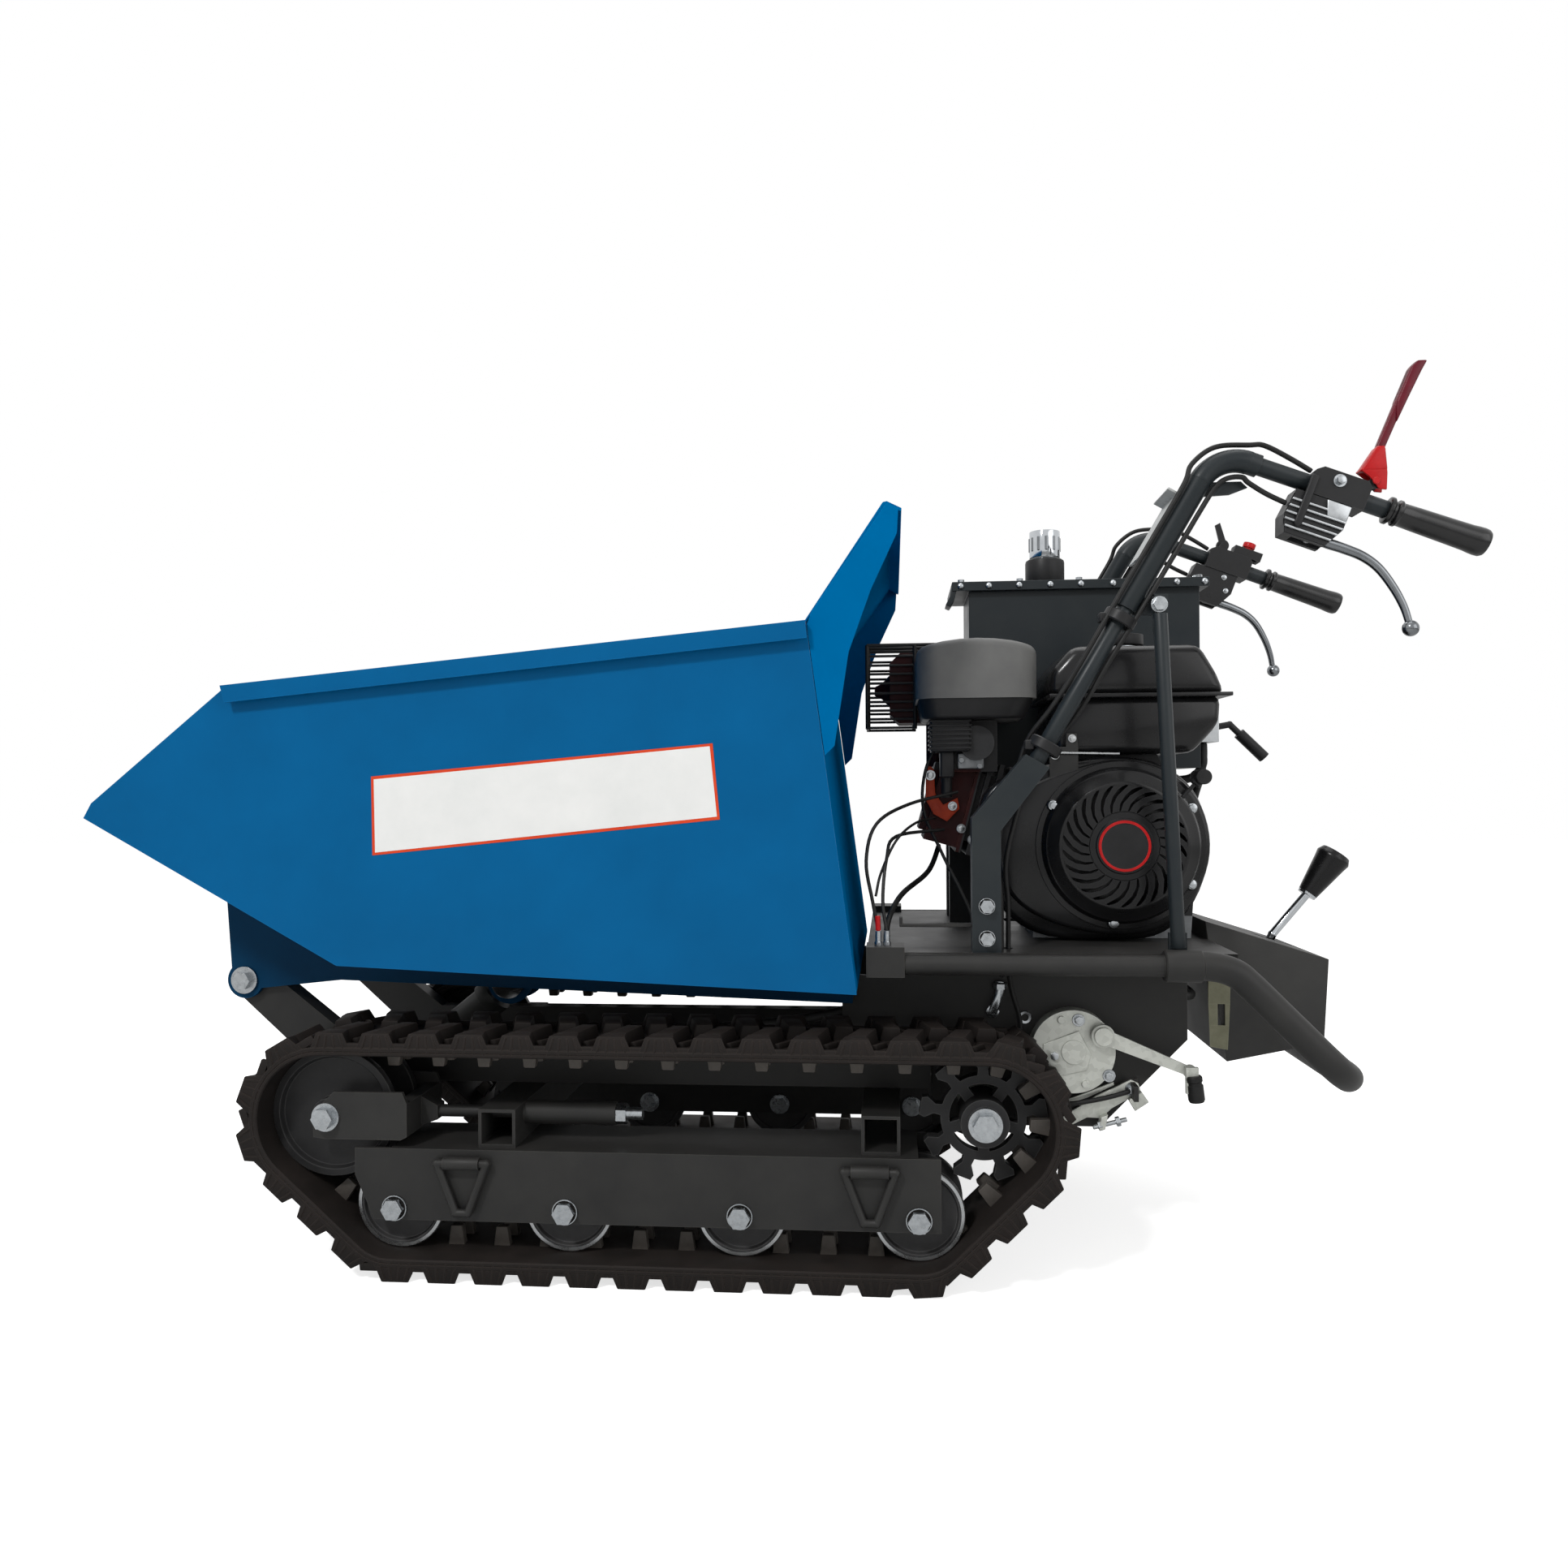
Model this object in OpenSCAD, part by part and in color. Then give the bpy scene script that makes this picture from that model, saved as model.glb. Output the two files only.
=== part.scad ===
// Tracked power carrier: walk-behind mini dumper with a hydraulic tipping skip.
// Front is -X, the operator walks behind at +X, +Z is up, sizes in mm.

/* [Tracks] */
// Width of one rubber track
track_w = 160; // [150:2:190]
// Distance between the centre lines of the tracks
track_gauge = 530; // [520:2:560]
// Thickness of the rubber belt without its lugs
belt_t = 11; // [8:0.5:14]
// Height of the outer lugs
lug_h = 18; // [12:1:24]
// Nominal length of one track link
link_pitch = 60; // [56:1:64]
// Height of the inner guide horns
horn_h = 24; // [16:1:26]
// Width of one row of guide horns
horn_w = 12; // [8:1:14]
// Teeth on a drive sprocket
sprocket_teeth = 9; // [8:1:10]
// Thickness of the sprocket star
star_t = 18; // [12:1:20]
// Drive axle position along the machine
sprocket_x = 266; // [255:1:280]
// Height of the drive axles and idler axles
axle_z = 200; // [192:1:212]
// Idler axle position along the machine
idler_x = -566; // [-580:1:-555]
// Radius of the idler where the belt runs
idler_r = 82; // [74:1:88]
// Radius of a road roller where the belt runs
roller_r = 58; // [50:1:62]
// First road roller position along the machine
roller_x = -476; // [-486:1:-466]
// Distance between road rollers
roller_step = 220; // [210:1:224]
// Radius of a road roller axle
roller_axle_r = 8; // [6:0.5:11]

/* [Track frames] */
// Thickness of the beam webs and top
beam_t = 5; // [3:0.5:8]
// Height of the beam webs
beam_h = 90; // [80:1:100]
// Height of the beam top above the ground
beam_top = 162; // [155:1:166]
// Thickness of the idler fork plates
fork_t = 6; // [4:0.5:9]
// Radius of the tensioning rod
tension_r = 8; // [6:0.5:10]
// Wire radius of the tie-down rings
ring_r = 5; // [3.5:0.5:6.5]

/* [Chassis] */
// Outside size of the square cross tubes
tube_a = 48; // [40:1:54]
// Wall of the square cross tubes
tube_wall = 4; // [3:0.5:6]
// Front cross tube position
tube1_x = -347; // [-352:1:-336]
// Rear cross tube position
tube2_x = 138; // [128:1:146]
// Distance of the chassis rails from the middle
rail_y = 155; // [150:1:158]
// Width of a chassis rail
rail_w = 30; // [24:1:34]
// Height of a chassis rail
rail_h = 48; // [40:1:56]
// Engine deck top height
deck_z = 405; // [400:1:415]
// Deck plate thickness
deck_t = 6; // [4:0.5:10]
// Half width of the deck
deck_y = 262; // [255:1:270]
// Radius of the side guard rail
guard_r = 13.5; // [11:0.5:16]
// Radius of the rear bumper tube
bumper_r = 18; // [15:0.5:20]

/* [Skip] */
// Tipping pivot position along the machine
pivot_x = -754; // [-764:1:-744]
// Tipping pivot height
pivot_z = 350; // [345:1:356]
// Radius of the tipping pivot bolts
pivot_r = 12; // [9:0.5:14]
// Outside width across the skip side panels
skip_w = 646; // [620:2:660]
// Side panel thickness
panel_t = 3; // [2:0.5:5]
// Floor thickness
floor_t = 4; // [3:0.5:6]
// Floor length from the nose bend to the rear wall
floor_len = 663; // [650:1:666]
// Slope of the floor down to the rear
floor_tilt = 2.7; // [2:0.1:3.2]
// Length of the sloping nose
nose_len = 370; // [350:1:380]
// Slope of the nose
nose_tilt = 29.1; // [26:0.1:32]
// Length of the rear wall
rear_len = 463; // [440:1:480]
// Forward lean of the rear wall
rear_lean = 7.4; // [5:0.1:9]
// Length of the side rims
rim_len = 752; // [720:1:770]
// Slope of the side rims
rim_tilt = 5.3; // [4:0.1:6]
// Outward reach of the folded rim
rim_out = 14; // [8:1:18]
// Length of the leaning spill guard
guard_len = 174; // [150:1:190]
// Backward lean of the spill guard
guard_lean = 34.5; // [28:0.5:38]
// Size of the square lip tube
lip_a = 20; // [14:1:26]

/* [Tipping gear] */
// Cylinder base shaft position along the machine
ram_x = -655; // [-660:1:-648]
// Cylinder base shaft height
ram_z = 140; // [136:1:150]
// Rod pin position along the machine
ram_pin_x = -420; // [-428:1:-412]
// Rod pin height
ram_pin_z = 328; // [322:1:332]
// Cylinder barrel radius
ram_r = 24; // [20:1:28]
// Cylinder rod radius
ram_rod_r = 13; // [10:0.5:15]
// Rod pin radius
ram_pin_r = 9; // [7:0.5:10]

/* [Engine] */
// Crankshaft position along the machine
crank_x = 458; // [450:1:466]
// Crankshaft height above the deck
crank_h = 131; // [126:1:138]
// Crankshaft radius
crank_r = 14; // [11:0.5:16]
// Fan shroud radius
shroud_r = 122; // [116:1:124]
// Recoil cover radius
recoil_r = 104; // [98:1:110]
// Lean of the cylinder above the level
cyl_lean = 15; // [10:1:20]
// Fuel tank height
fuel_h = 147; // [130:1:160]
// Air filter height
air_h = 112; // [100:1:120]

/* [Drive] */
// Radius of the engine pulley
pulley1_r = 45; // [38:1:50]
// Radius of the gearbox pulley
pulley2_r = 75; // [66:1:80]
// Gearbox input shaft position along the machine
input_x = 420; // [414:1:428]
// Gearbox input shaft height
input_z = 285; // [280:1:292]
// Width of the drive belt
vbelt_w = 17; // [13:1:20]
// Thickness of the drive belt
vbelt_t = 10; // [8:0.5:12]
// Drive axle radius
axle_r = 15; // [12:0.5:17]
// Brake cover radius
drum_r = 55; // [48:1:58]

/* [Hydraulics] */
// Oil tank length
oil_len = 348; // [330:2:360]
// Oil tank width
oil_w = 135; // [120:1:140]
// Oil tank height
oil_h = 275; // [255:1:285]
// Breather cap radius
breather_r = 24; // [18:1:27]

/* [Handlebars] */
// Half distance between the handlebars
bar_y = 246; // [242:1:248]
// Radius of the handle tube
bar_r = 11; // [9:0.5:12]
// Radius of the thick lower tube
bar_low_r = 14; // [13:0.5:15]
// Slope of the lower handlebar
bar_slope = 59.7; // [58:0.1:61]
// Slope of the hand grips
grip_slope = 21; // [18:0.5:24]
// Radius of the hand grips at the outer end
grip_r = 17.5; // [15:0.5:20]
// Length of the hand grips
grip_len = 128; // [115:1:132]
// Length of the red clutch lever
clutch_len = 147; // [140:1:165]

/* [Fits] */
// Radial gap of pins and shafts that turn
run_gap = 0.1; // [0.02:0.01:0.1]
// Gap of pieces that pass each other
free_gap = 0.5; // [0.4:0.1:0.8]

/* [Hidden] */
$fn = 48;
track_y = track_gauge / 2;
out_y = track_y + track_w / 2;
belt_z = lug_h + belt_t;
roller_z = belt_z + roller_r;
spr_r = sprocket_teeth * link_pitch / (2 * PI) - belt_t / 2;
loop_c = [
    [sprocket_x, axle_z, spr_r],
    [idler_x, axle_z, idler_r],
    [roller_x, roller_z, roller_r],
    [roller_x + 3 * roller_step, roller_z, roller_r]
];
horn_in = star_t / 2 + 3;
horn_out = horn_in + horn_w;
rim_in = horn_out + 3;
rim_end = rim_in + 12;
web_in = rim_end + 16;
web_out = web_in + beam_t;
beam_x0 = roller_x - 52;
beam_x1 = roller_x + 3 * roller_step + 27;
beam_z0 = beam_top - beam_h;
tube_top = beam_top + tube_a;
rail_top = tube_top + rail_h;
rod_z = tube_top - tension_r - tube_wall - 3;
fork_z0 = beam_top + 10;
fork_z1 = axle_z + 32;
yoke_x = idler_x + idler_r + 6;
sleeve_r = tension_r + 7;
sleeve_x0 = tube1_x + tube_a / 2;
sleeve_x1 = sleeve_x0 + 120;
ring_y = track_y + web_out + 8;
ring_z = beam_top - 15;
ring_x = [roller_x + 90, roller_x + 2.73 * roller_step];
arm_y0 = rail_y - rail_w / 2;
arm_y1 = rail_y + rail_w / 2;
ear_y0 = arm_y1 + 2;
ear_t = 8;
plate_y = 147;
plate_t = 6;
wall_y = plate_y + plate_t;
deck_x0 = 121;
deck_x1 = 582;
rail_tube_y = deck_y + guard_r + free_gap;
rail_tube_z = deck_z - guard_r + 0.5;
// Skip corners in the side view
skip_f = [pivot_x + 201.5, pivot_z + 42];
skip_r = skip_f + floor_len * [cos(floor_tilt), -sin(floor_tilt)];
nose_u = [-cos(nose_tilt), sin(nose_tilt)];
nose_n = [sin(nose_tilt), cos(nose_tilt)];
skip_n = skip_f + nose_len * nose_u;
skip_t = skip_r + rear_len * [-sin(rear_lean), cos(rear_lean)];
skip_e = skip_t - rim_len * [cos(rim_tilt), sin(rim_tilt)];
lip_tip = skip_n + lip_a * nose_u;
guard_u = [sin(guard_lean), cos(guard_lean)];
guard_n = [cos(guard_lean), -sin(guard_lean)];
skip_g = skip_t + guard_len * guard_u;
floor_n = [sin(floor_tilt), cos(floor_tilt)];
half_in = skip_w / 2 - panel_t;
sub_h = 44;
function floor_under(x) = skip_f[1] - (x - skip_f[0]) * tan(floor_tilt);
// Tipping cylinder line
ram_a = [ram_x, ram_z];
ram_b = [ram_pin_x, ram_pin_z];
ram_len = norm(ram_b - ram_a);
ram_ang = atan2(ram_b[1] - ram_a[1], ram_b[0] - ram_a[0]);
ram_window = ram_pin_r + 12.5;
// Engine places
crank_z = deck_z + crank_h;
case_y0 = -105;
case_y1 = 75;
shroud_y0 = -158;
recoil_y0 = -192;
fuel_z0 = crank_z + shroud_r + 0.4;
air_z0 = crank_z + 172;
air_x0 = crank_x - 266;
fuel_x0 = crank_x - 88;
belt_y0 = 112;
belt_y1 = belt_y0 + 30;
belt_mid = (belt_y0 + belt_y1) / 2;
belt_c = [[crank_x, crank_z, pulley1_r], [input_x, input_z, pulley2_r]];
idle_r = 22;
strand_x = input_x + pulley2_r + (crank_x + pulley1_r - input_x - pulley2_r) * 0.32;
idle_c = [strand_x + vbelt_t + idle_r + 12, input_z + 80];
idle_p = [idle_c[0] - 8, idle_c[1] - 72];
drum_c = [input_x - 29, input_z - 21];
arm_c = drum_c + [37, 23];
arm_e = arm_c + [111, -45];
oil_x0 = crank_x - 183;
oil_y0 = 80;
oil_z1 = crank_z + 381;
oil_z0 = oil_z1 - oil_h;
lid_t = 14;
breath_x = oil_x0 + 125;
breath_y = oil_y0 + 70;
// Handlebar line
leg_x = 273;
leg_a = 36;
leg_t = 32;
knee_z = deck_z + 162;
bar_s = [leg_x + 65, knee_z + 80];
bar_u = [cos(bar_slope), sin(bar_slope)];
bar_m = bar_s + 222 * bar_u;
bar_k = bar_s + 448 * bar_u;
bend_r = 50;
bend_l = bend_r * tan((bar_slope + grip_slope) / 2);
bar_b0 = bar_k - bend_l * bar_u;
grip_u = [cos(grip_slope), -sin(grip_slope)];
bar_b1 = bar_k + bend_l * grip_u;
bend_c = bar_b0 + bend_r * [sin(bar_slope), -cos(bar_slope)];
grip_1 = bar_b1 + 303.5 * grip_u;
grip_0 = grip_1 - grip_len * grip_u;
grip_n = [sin(grip_slope), cos(grip_slope)];
clutch_p = bar_b1 + 150 * grip_u + 27 * grip_n;
steer_p = bar_b1 + 100 * grip_u - 58 * grip_n;
stay_top = bar_m + [39, 3];
stay_x1 = 509;
// Console corners in the side view
cons = [
    [deck_x1 - 3.5, deck_z + 25],
    [deck_x1 + 159, deck_z - 26],
    [deck_x1 + 152, deck_z - 139],
    [deck_x1 + 24, deck_z - 166]
];
cons_y = 115;
shift_p = [deck_x1 + 90, deck_z - 70];

// Small helpers
module box(x0, x1, y0, y1, z0, z1) {
    translate([x0, y0, z0]) cube([x1 - x0, y1 - y0, z1 - z0]);
}
module slab(pts, y0, y1) {
    translate([0, y1, 0]) rotate([90, 0, 0]) linear_extrude(y1 - y0) polygon(pts);
}
module shape_y(y0, y1) {
    translate([0, y1, 0]) rotate([90, 0, 0]) linear_extrude(y1 - y0) children();
}
module bar_along_y(c, r, y0, y1) {
    translate([c[0], y1, c[1]]) rotate([90, 0, 0]) cylinder(r = r, h = y1 - y0);
}
module turn_y(c, y, prof) {
    translate([c[0], y, c[1]]) rotate([-90, 0, 0]) rotate_extrude() polygon(prof);
}
module rod(p, q, r) {
    d = q - p;
    l = norm(d);
    translate(p) rotate([0, acos(d[2] / l), atan2(d[1], d[0])]) cylinder(r = r, h = l);
}
module pipe(pts, r) {
    for (i = [0 : len(pts) - 2]) rod(pts[i], pts[i + 1], r);
    for (i = [1 : len(pts) - 2]) translate(pts[i]) sphere(r = r + 0.4);
}
module on_side(s) {
    if (s < 0) children();
    else mirror([0, 1, 0]) children();
}
module both() {
    children();
    mirror([0, 1, 0]) children();
}
function at(p, y) = [p[0], y, p[1]];
function lay(pts, y) = [for (p = pts) at(p, y)];

// Closed loops round a list of circles
function tang(c, i) = let (
    n = len(c),
    a = c[(i + n) % n],
    b = c[(i + 1) % n],
    d = [b[0] - a[0], b[1] - a[1]]
) atan2(d[1], d[0]) - acos((a[2] - b[2]) / norm(d));
function wrap360(a) = a - 360 * floor(a / 360);
function sweep_ang(c, i) = wrap360(tang(c, i) - tang(c, i - 1));
function run_len(c, i) = let (
    n = len(c),
    a = c[i],
    b = c[(i + 1) % n],
    d = norm([b[0] - a[0], b[1] - a[1]])
) sqrt(d * d - (a[2] - b[2]) * (a[2] - b[2]));
function seg_list(c, dn) = [
    for (i = [0 : len(c) - 1])
        each [(c[i][2] + dn) * sweep_ang(c, i) * PI / 180, run_len(c, i)]
];
function total(v, k = 0) = k == len(v) ? 0 : v[k] + total(v, k + 1);
function seg_at(v, s, k = 0) = (k == len(v) - 1 || s <= v[k]) ? [k, s] : seg_at(v, s - v[k], k + 1);
function on_loop(c, v, dn, s0, d) = let (
    l = total(v),
    s = s0 - l * floor(s0 / l),
    q = seg_at(v, s),
    i = floor(q[0] / 2),
    k = c[i],
    arc = q[0] % 2 == 0,
    a = arc ? tang(c, i - 1) + q[1] / (k[2] + dn) * 180 / PI : tang(c, i),
    u = arc ? 0 : q[1]
) [k[0] + (k[2] + d) * cos(a) - u * sin(a), k[1] + (k[2] + d) * sin(a) + u * cos(a)];
function in_arc(v, s0) = let (l = total(v)) seg_at(v, s0 - l * floor(s0 / l))[0] % 2 == 0;

// Swept round cables through hand-chosen points
function mix(a, b, c, d, t) = 0.5 * (2 * b + (c - a) * t + (2 * a - 5 * b + 4 * c - d) * t * t
    + (3 * b - a - 3 * c + d) * t * t * t);
function smooth(p, k) = concat([
    for (i = [0 : len(p) - 2], j = [0 : k - 1])
        mix(p[max(i - 1, 0)], p[i], p[i + 1], p[min(i + 2, len(p) - 1)], j / k)
], [p[len(p) - 1]]);
function unit(v) = v / norm(v);
module cable(pts, r, ref, k = 4, n = 8) {
    p = smooth(pts, k);
    m = len(p);
    ring = [
        for (i = [0 : m - 1])
            let (
                t = unit(p[min(i + 1, m - 1)] - p[max(i - 1, 0)]),
                a = unit(cross(t, ref)),
                b = cross(t, a)
            )
            for (j = [0 : n - 1]) p[i] + r * (cos(360 * j / n) * a + sin(360 * j / n) * b)
    ];
    caps = [[for (j = [0 : n - 1]) n - 1 - j], [for (j = [0 : n - 1]) (m - 1) * n + j]];
    sides = [
        for (i = [0 : m - 2], j = [0 : n - 1])
            each [
                [i * n + j, i * n + (j + 1) % n, (i + 1) * n + (j + 1) % n],
                [i * n + j, (i + 1) * n + (j + 1) % n, (i + 1) * n + j]
            ]
    ];
    polyhedron(ring, [for (f = concat(caps, sides)) [for (q = [len(f) - 1 : -1 : 0]) f[q]]]);
}

// Rubber tracks
track_v = seg_list(loop_c, belt_t / 2);
track_len = total(track_v);
links = round(track_len / link_pitch);
step = track_len / links;
lug_b = 34;
lug_top = 24;
horn_b = 22;
horn_top = 15;
horn_root = belt_t * 0.3;
function tp(s, d) = on_loop(loop_c, track_v, belt_t / 2, s, d);
tread_out = [
    for (i = [0 : links - 1])
        let (s = i * step)
        each concat(
            [
                tp(s - lug_b / 2, belt_t),
                tp(s - lug_top / 2, belt_t + lug_h),
                tp(s + lug_top / 2, belt_t + lug_h),
                tp(s + lug_b / 2, belt_t)
            ],
            in_arc(track_v, s + step / 2) ? [tp(s + step / 2, belt_t)] : []
        )
];
tread_in = [
    for (j = [0 : links * 6 - 1])
        let (s = j * step / 6)
        if (in_arc(track_v, s) || in_arc(track_v, s - step / 6) || in_arc(track_v, s + step / 6)) tp(s, 0)
];
horn_ring = [
    for (i = [0 : links - 1])
        let (s = i * step)
        each concat(
            [
                tp(s - horn_b / 2, horn_root),
                tp(s - horn_top / 2, -horn_h),
                tp(s + horn_top / 2, -horn_h),
                tp(s + horn_b / 2, horn_root)
            ],
            in_arc(track_v, s + step / 2) ? [tp(s + step / 2, horn_root)] : []
        )
];
horn_back = [
    for (j = [0 : links * 6 - 1])
        let (s = j * step / 6)
        if (in_arc(track_v, s) || in_arc(track_v, s - step / 6) || in_arc(track_v, s + step / 6)) tp(s,
            belt_t * 0.7)
];
// Each loop lies in four runs, a slit apart over the end rollers
run_slit = 0.3;
run_x0 = roller_x;
run_x1 = roller_x + 3 * roller_step;
module track_run(x0, x1, z0, z1) {
    intersection() {
        union() {
            shape_y(-out_y, -out_y + track_w) difference() {
                polygon(tread_out);
                polygon(tread_in);
            }
            for (q = [-horn_out, horn_in])
                shape_y(-track_y + q, -track_y + q + horn_w) difference() {
                    polygon(horn_back);
                    polygon(horn_ring);
                }
        }
        box(x0, x1, -out_y - 1, -out_y + track_w + 1, z0, z1);
    }
}
module one_track(s) {
    color("#2a2523") on_side(s) {
        track_run(idler_x - 3 * idler_r, run_x0 - run_slit / 2, -10, 3 * axle_z);
        track_run(run_x0 + run_slit / 2, run_x1 - run_slit / 2, -10, axle_z);
        track_run(run_x0 + run_slit / 2, run_x1 - run_slit / 2, axle_z, 3 * axle_z);
        track_run(run_x1 + run_slit / 2, sprocket_x + 3 * idler_r, -10, 3 * axle_z);
    }
}
module left_track() { one_track(-1); }
module right_track() { one_track(1); }

// Wheels inside the tracks
module one_roller(s, k) {
    b = roller_axle_r + run_gap;
    r = roller_r - free_gap;
    h = roller_r - horn_h - 5;
    w = web_in - free_gap;
    color("#3a3a3a") on_side(s) turn_y([roller_x + (k - 1) * roller_step, roller_z], -track_y, [
        [b, -w], [b + 10, -w], [b + 10, -rim_end + 5], [r - 10, -rim_end + 5], [r - 8, -rim_end],
            [r, -rim_end],
        [r, -rim_in], [h, -rim_in], [h, rim_in], [r, rim_in],
        [r, rim_end], [r - 8, rim_end], [r - 10, rim_end - 5], [b + 10, rim_end - 5], [b + 10, w], [b, w]
    ]);
}
module left_roller_1() { one_roller(-1, 1); }
module left_roller_2() { one_roller(-1, 2); }
module left_roller_3() { one_roller(-1, 3); }
module left_roller_4() { one_roller(-1, 4); }
module right_roller_1() { one_roller(1, 1); }
module right_roller_2() { one_roller(1, 2); }
module right_roller_3() { one_roller(1, 3); }
module right_roller_4() { one_roller(1, 4); }

module one_idler(s) {
    b = roller_axle_r + 2 + run_gap;
    r = idler_r - free_gap;
    h = idler_r - horn_h - 6;
    w = web_out - fork_t - free_gap;
    color("#3a3a3a") on_side(s) turn_y([idler_x, axle_z], -track_y, [
        [b, -w], [b + 12, -w], [b + 12, -rim_end + 7], [r - 12, -rim_end + 7], [r - 9, -rim_end],
            [r, -rim_end],
        [r, -rim_in], [h, -rim_in], [h, rim_in], [r, rim_in],
        [r, rim_end], [r - 9, rim_end], [r - 12, rim_end - 7], [b + 12, rim_end - 7], [b + 12, w], [b, w]
    ]);
}
module left_idler() { one_idler(-1); }
module right_idler() { one_idler(1); }

module one_fork(s) {
    x1 = yoke_x + 18;
    end = [[idler_x - 17, axle_z - 26], [idler_x - 17, axle_z + 6], [idler_x + 10, fork_z1],
        [x1 - 6, fork_z1],
        [x1, fork_z1 - 14], [x1, fork_z0 + 4], [x1 - 8, fork_z0], [idler_x - 2, fork_z0]];
    color("#2f2f2f") on_side(s) {
        for (q = [-web_out, web_out - fork_t])
            difference() {
                slab(end, -track_y + q, -track_y + q + fork_t);
                bar_along_y([idler_x, axle_z], roller_axle_r + 2 + run_gap, -track_y + q - 1,
                    -track_y + q + fork_t + 1);
            }
        box(yoke_x, x1, -track_y - web_out + fork_t, -track_y + web_out - fork_t, fork_z0 + 4,
            fork_z1 - 14);
        slab([[x1, fork_z0 + 6], [x1 + 22, rod_z - 9], [x1 + 22, rod_z + 9], [x1, fork_z1 - 16]],
            -track_y - 12, -track_y + 12);
        rod([x1 + 20, -track_y, rod_z], [sleeve_x1 + 34, -track_y, rod_z], tension_r);
        translate([sleeve_x1 + free_gap, -track_y, rod_z]) rotate([0, 90, 0])
            cylinder(r = tension_r + 6, h = 13, $fn = 6);
        bar_along_y([idler_x, axle_z], roller_axle_r + 2, -track_y - web_out - 3, -track_y + web_out + 3);
        bar_along_y([idler_x, axle_z], roller_axle_r + 10, -track_y - web_out - 3, -track_y - web_out);
        translate([idler_x, -track_y - web_out - 3, axle_z]) rotate([90, 0, 0])
            cylinder(r = roller_axle_r + 6, h = 11, $fn = 6);
        translate([idler_x, -track_y + web_out + 12, axle_z]) rotate([90, 0, 0])
            cylinder(r = roller_axle_r + 6, h = 12, $fn = 6);
    }
}
module left_fork() { one_fork(-1); }
module right_fork() { one_fork(1); }

module one_sprocket(s) {
    ring_o = spr_r - horn_h - 3;
    ring_i = ring_o - 11;
    tip = spr_r - 1;
    hub = 30;
    color("#3d3d3d") on_side(s) {
        shape_y(-track_y - star_t / 2, -track_y + star_t / 2) {
            difference() {
                translate([sprocket_x, axle_z]) circle(r = ring_o);
                translate([sprocket_x, axle_z]) circle(r = ring_i);
            }
            for (i = [0 : sprocket_teeth - 1])
                translate([sprocket_x, axle_z]) rotate(i * 360 / sprocket_teeth + 90)
                    polygon([[ring_i + 4, -8], [ring_o + 8, -6], [tip - 7, -13], [tip, -11],
                        [tip, 11], [tip - 7, 13], [ring_o + 8, 6], [ring_i + 4, 8]]);
            for (i = [0 : 4])
                translate([sprocket_x, axle_z]) rotate(i * 72 + 54) translate([hub - 8, -7])
                    square([ring_i - hub + 12, 14]);
        }
        bar_along_y([sprocket_x, axle_z], hub, -track_y - 38, -track_y + 34);
        bar_along_y([sprocket_x, axle_z], axle_r + 6, -track_y - 46, -track_y - 38);
        translate([sprocket_x, -track_y - 46, axle_z]) rotate([90, 0, 0]) cylinder(r = axle_r + 1,
            h = 10, $fn = 6);
        bar_along_y([sprocket_x, axle_z], axle_r, -track_y + 30, -62);
    }
}
module left_sprocket() { one_sprocket(-1); }
module right_sprocket() { one_sprocket(1); }

module track_frames() {
    web = [[beam_x0, beam_top], [beam_x0, beam_z0 + 56], [beam_x0 + 25, beam_z0], [beam_x1, beam_z0],
        [beam_x1, beam_top]];
    color("#2b2b2b") both() {
        difference() {
            union() {
                slab(web, -track_y - web_out, -track_y - web_in);
                slab(web, -track_y + web_in, -track_y + web_out);
                box(idler_x + idler_r + 2, sprocket_x - spr_r - 2, -track_y - web_out, -track_y + web_out,
                    beam_top - beam_t, beam_top);
            }
            for (k = [0 : 3])
                bar_along_y([roller_x + k * roller_step, roller_z], roller_axle_r + run_gap,
                    -track_y - web_out - 1, -track_y + web_out + 1);
        }
        for (x = ring_x)
            difference() {
                union() {
                    rod([x - 23, -ring_y, ring_z], [x + 23, -ring_y, ring_z], ring_r + 3);
                    box(x - 22, x + 22, -ring_y, -track_y - web_out, ring_z - 4, ring_z + 4);
                }
                rod([x - 25, -ring_y, ring_z], [x + 25, -ring_y, ring_z], ring_r + run_gap);
            }
    }
}

module one_side_rings(s) {
    color("#2b2b2b") on_side(s)
        for (x = ring_x) {
            tip = ring_z - 62;
            pipe([[x + 31, -ring_y, ring_z], [x - 32, -ring_y, ring_z], [x - 8, -ring_y, tip],
                [x + 8, -ring_y, tip],
                [x + 32, -ring_y, ring_z]], ring_r);
            translate([x + 32, -ring_y, ring_z]) sphere(r = ring_r + 0.4);
        }
}
module left_tie_rings() { one_side_rings(-1); }
module right_tie_rings() { one_side_rings(1); }

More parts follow.
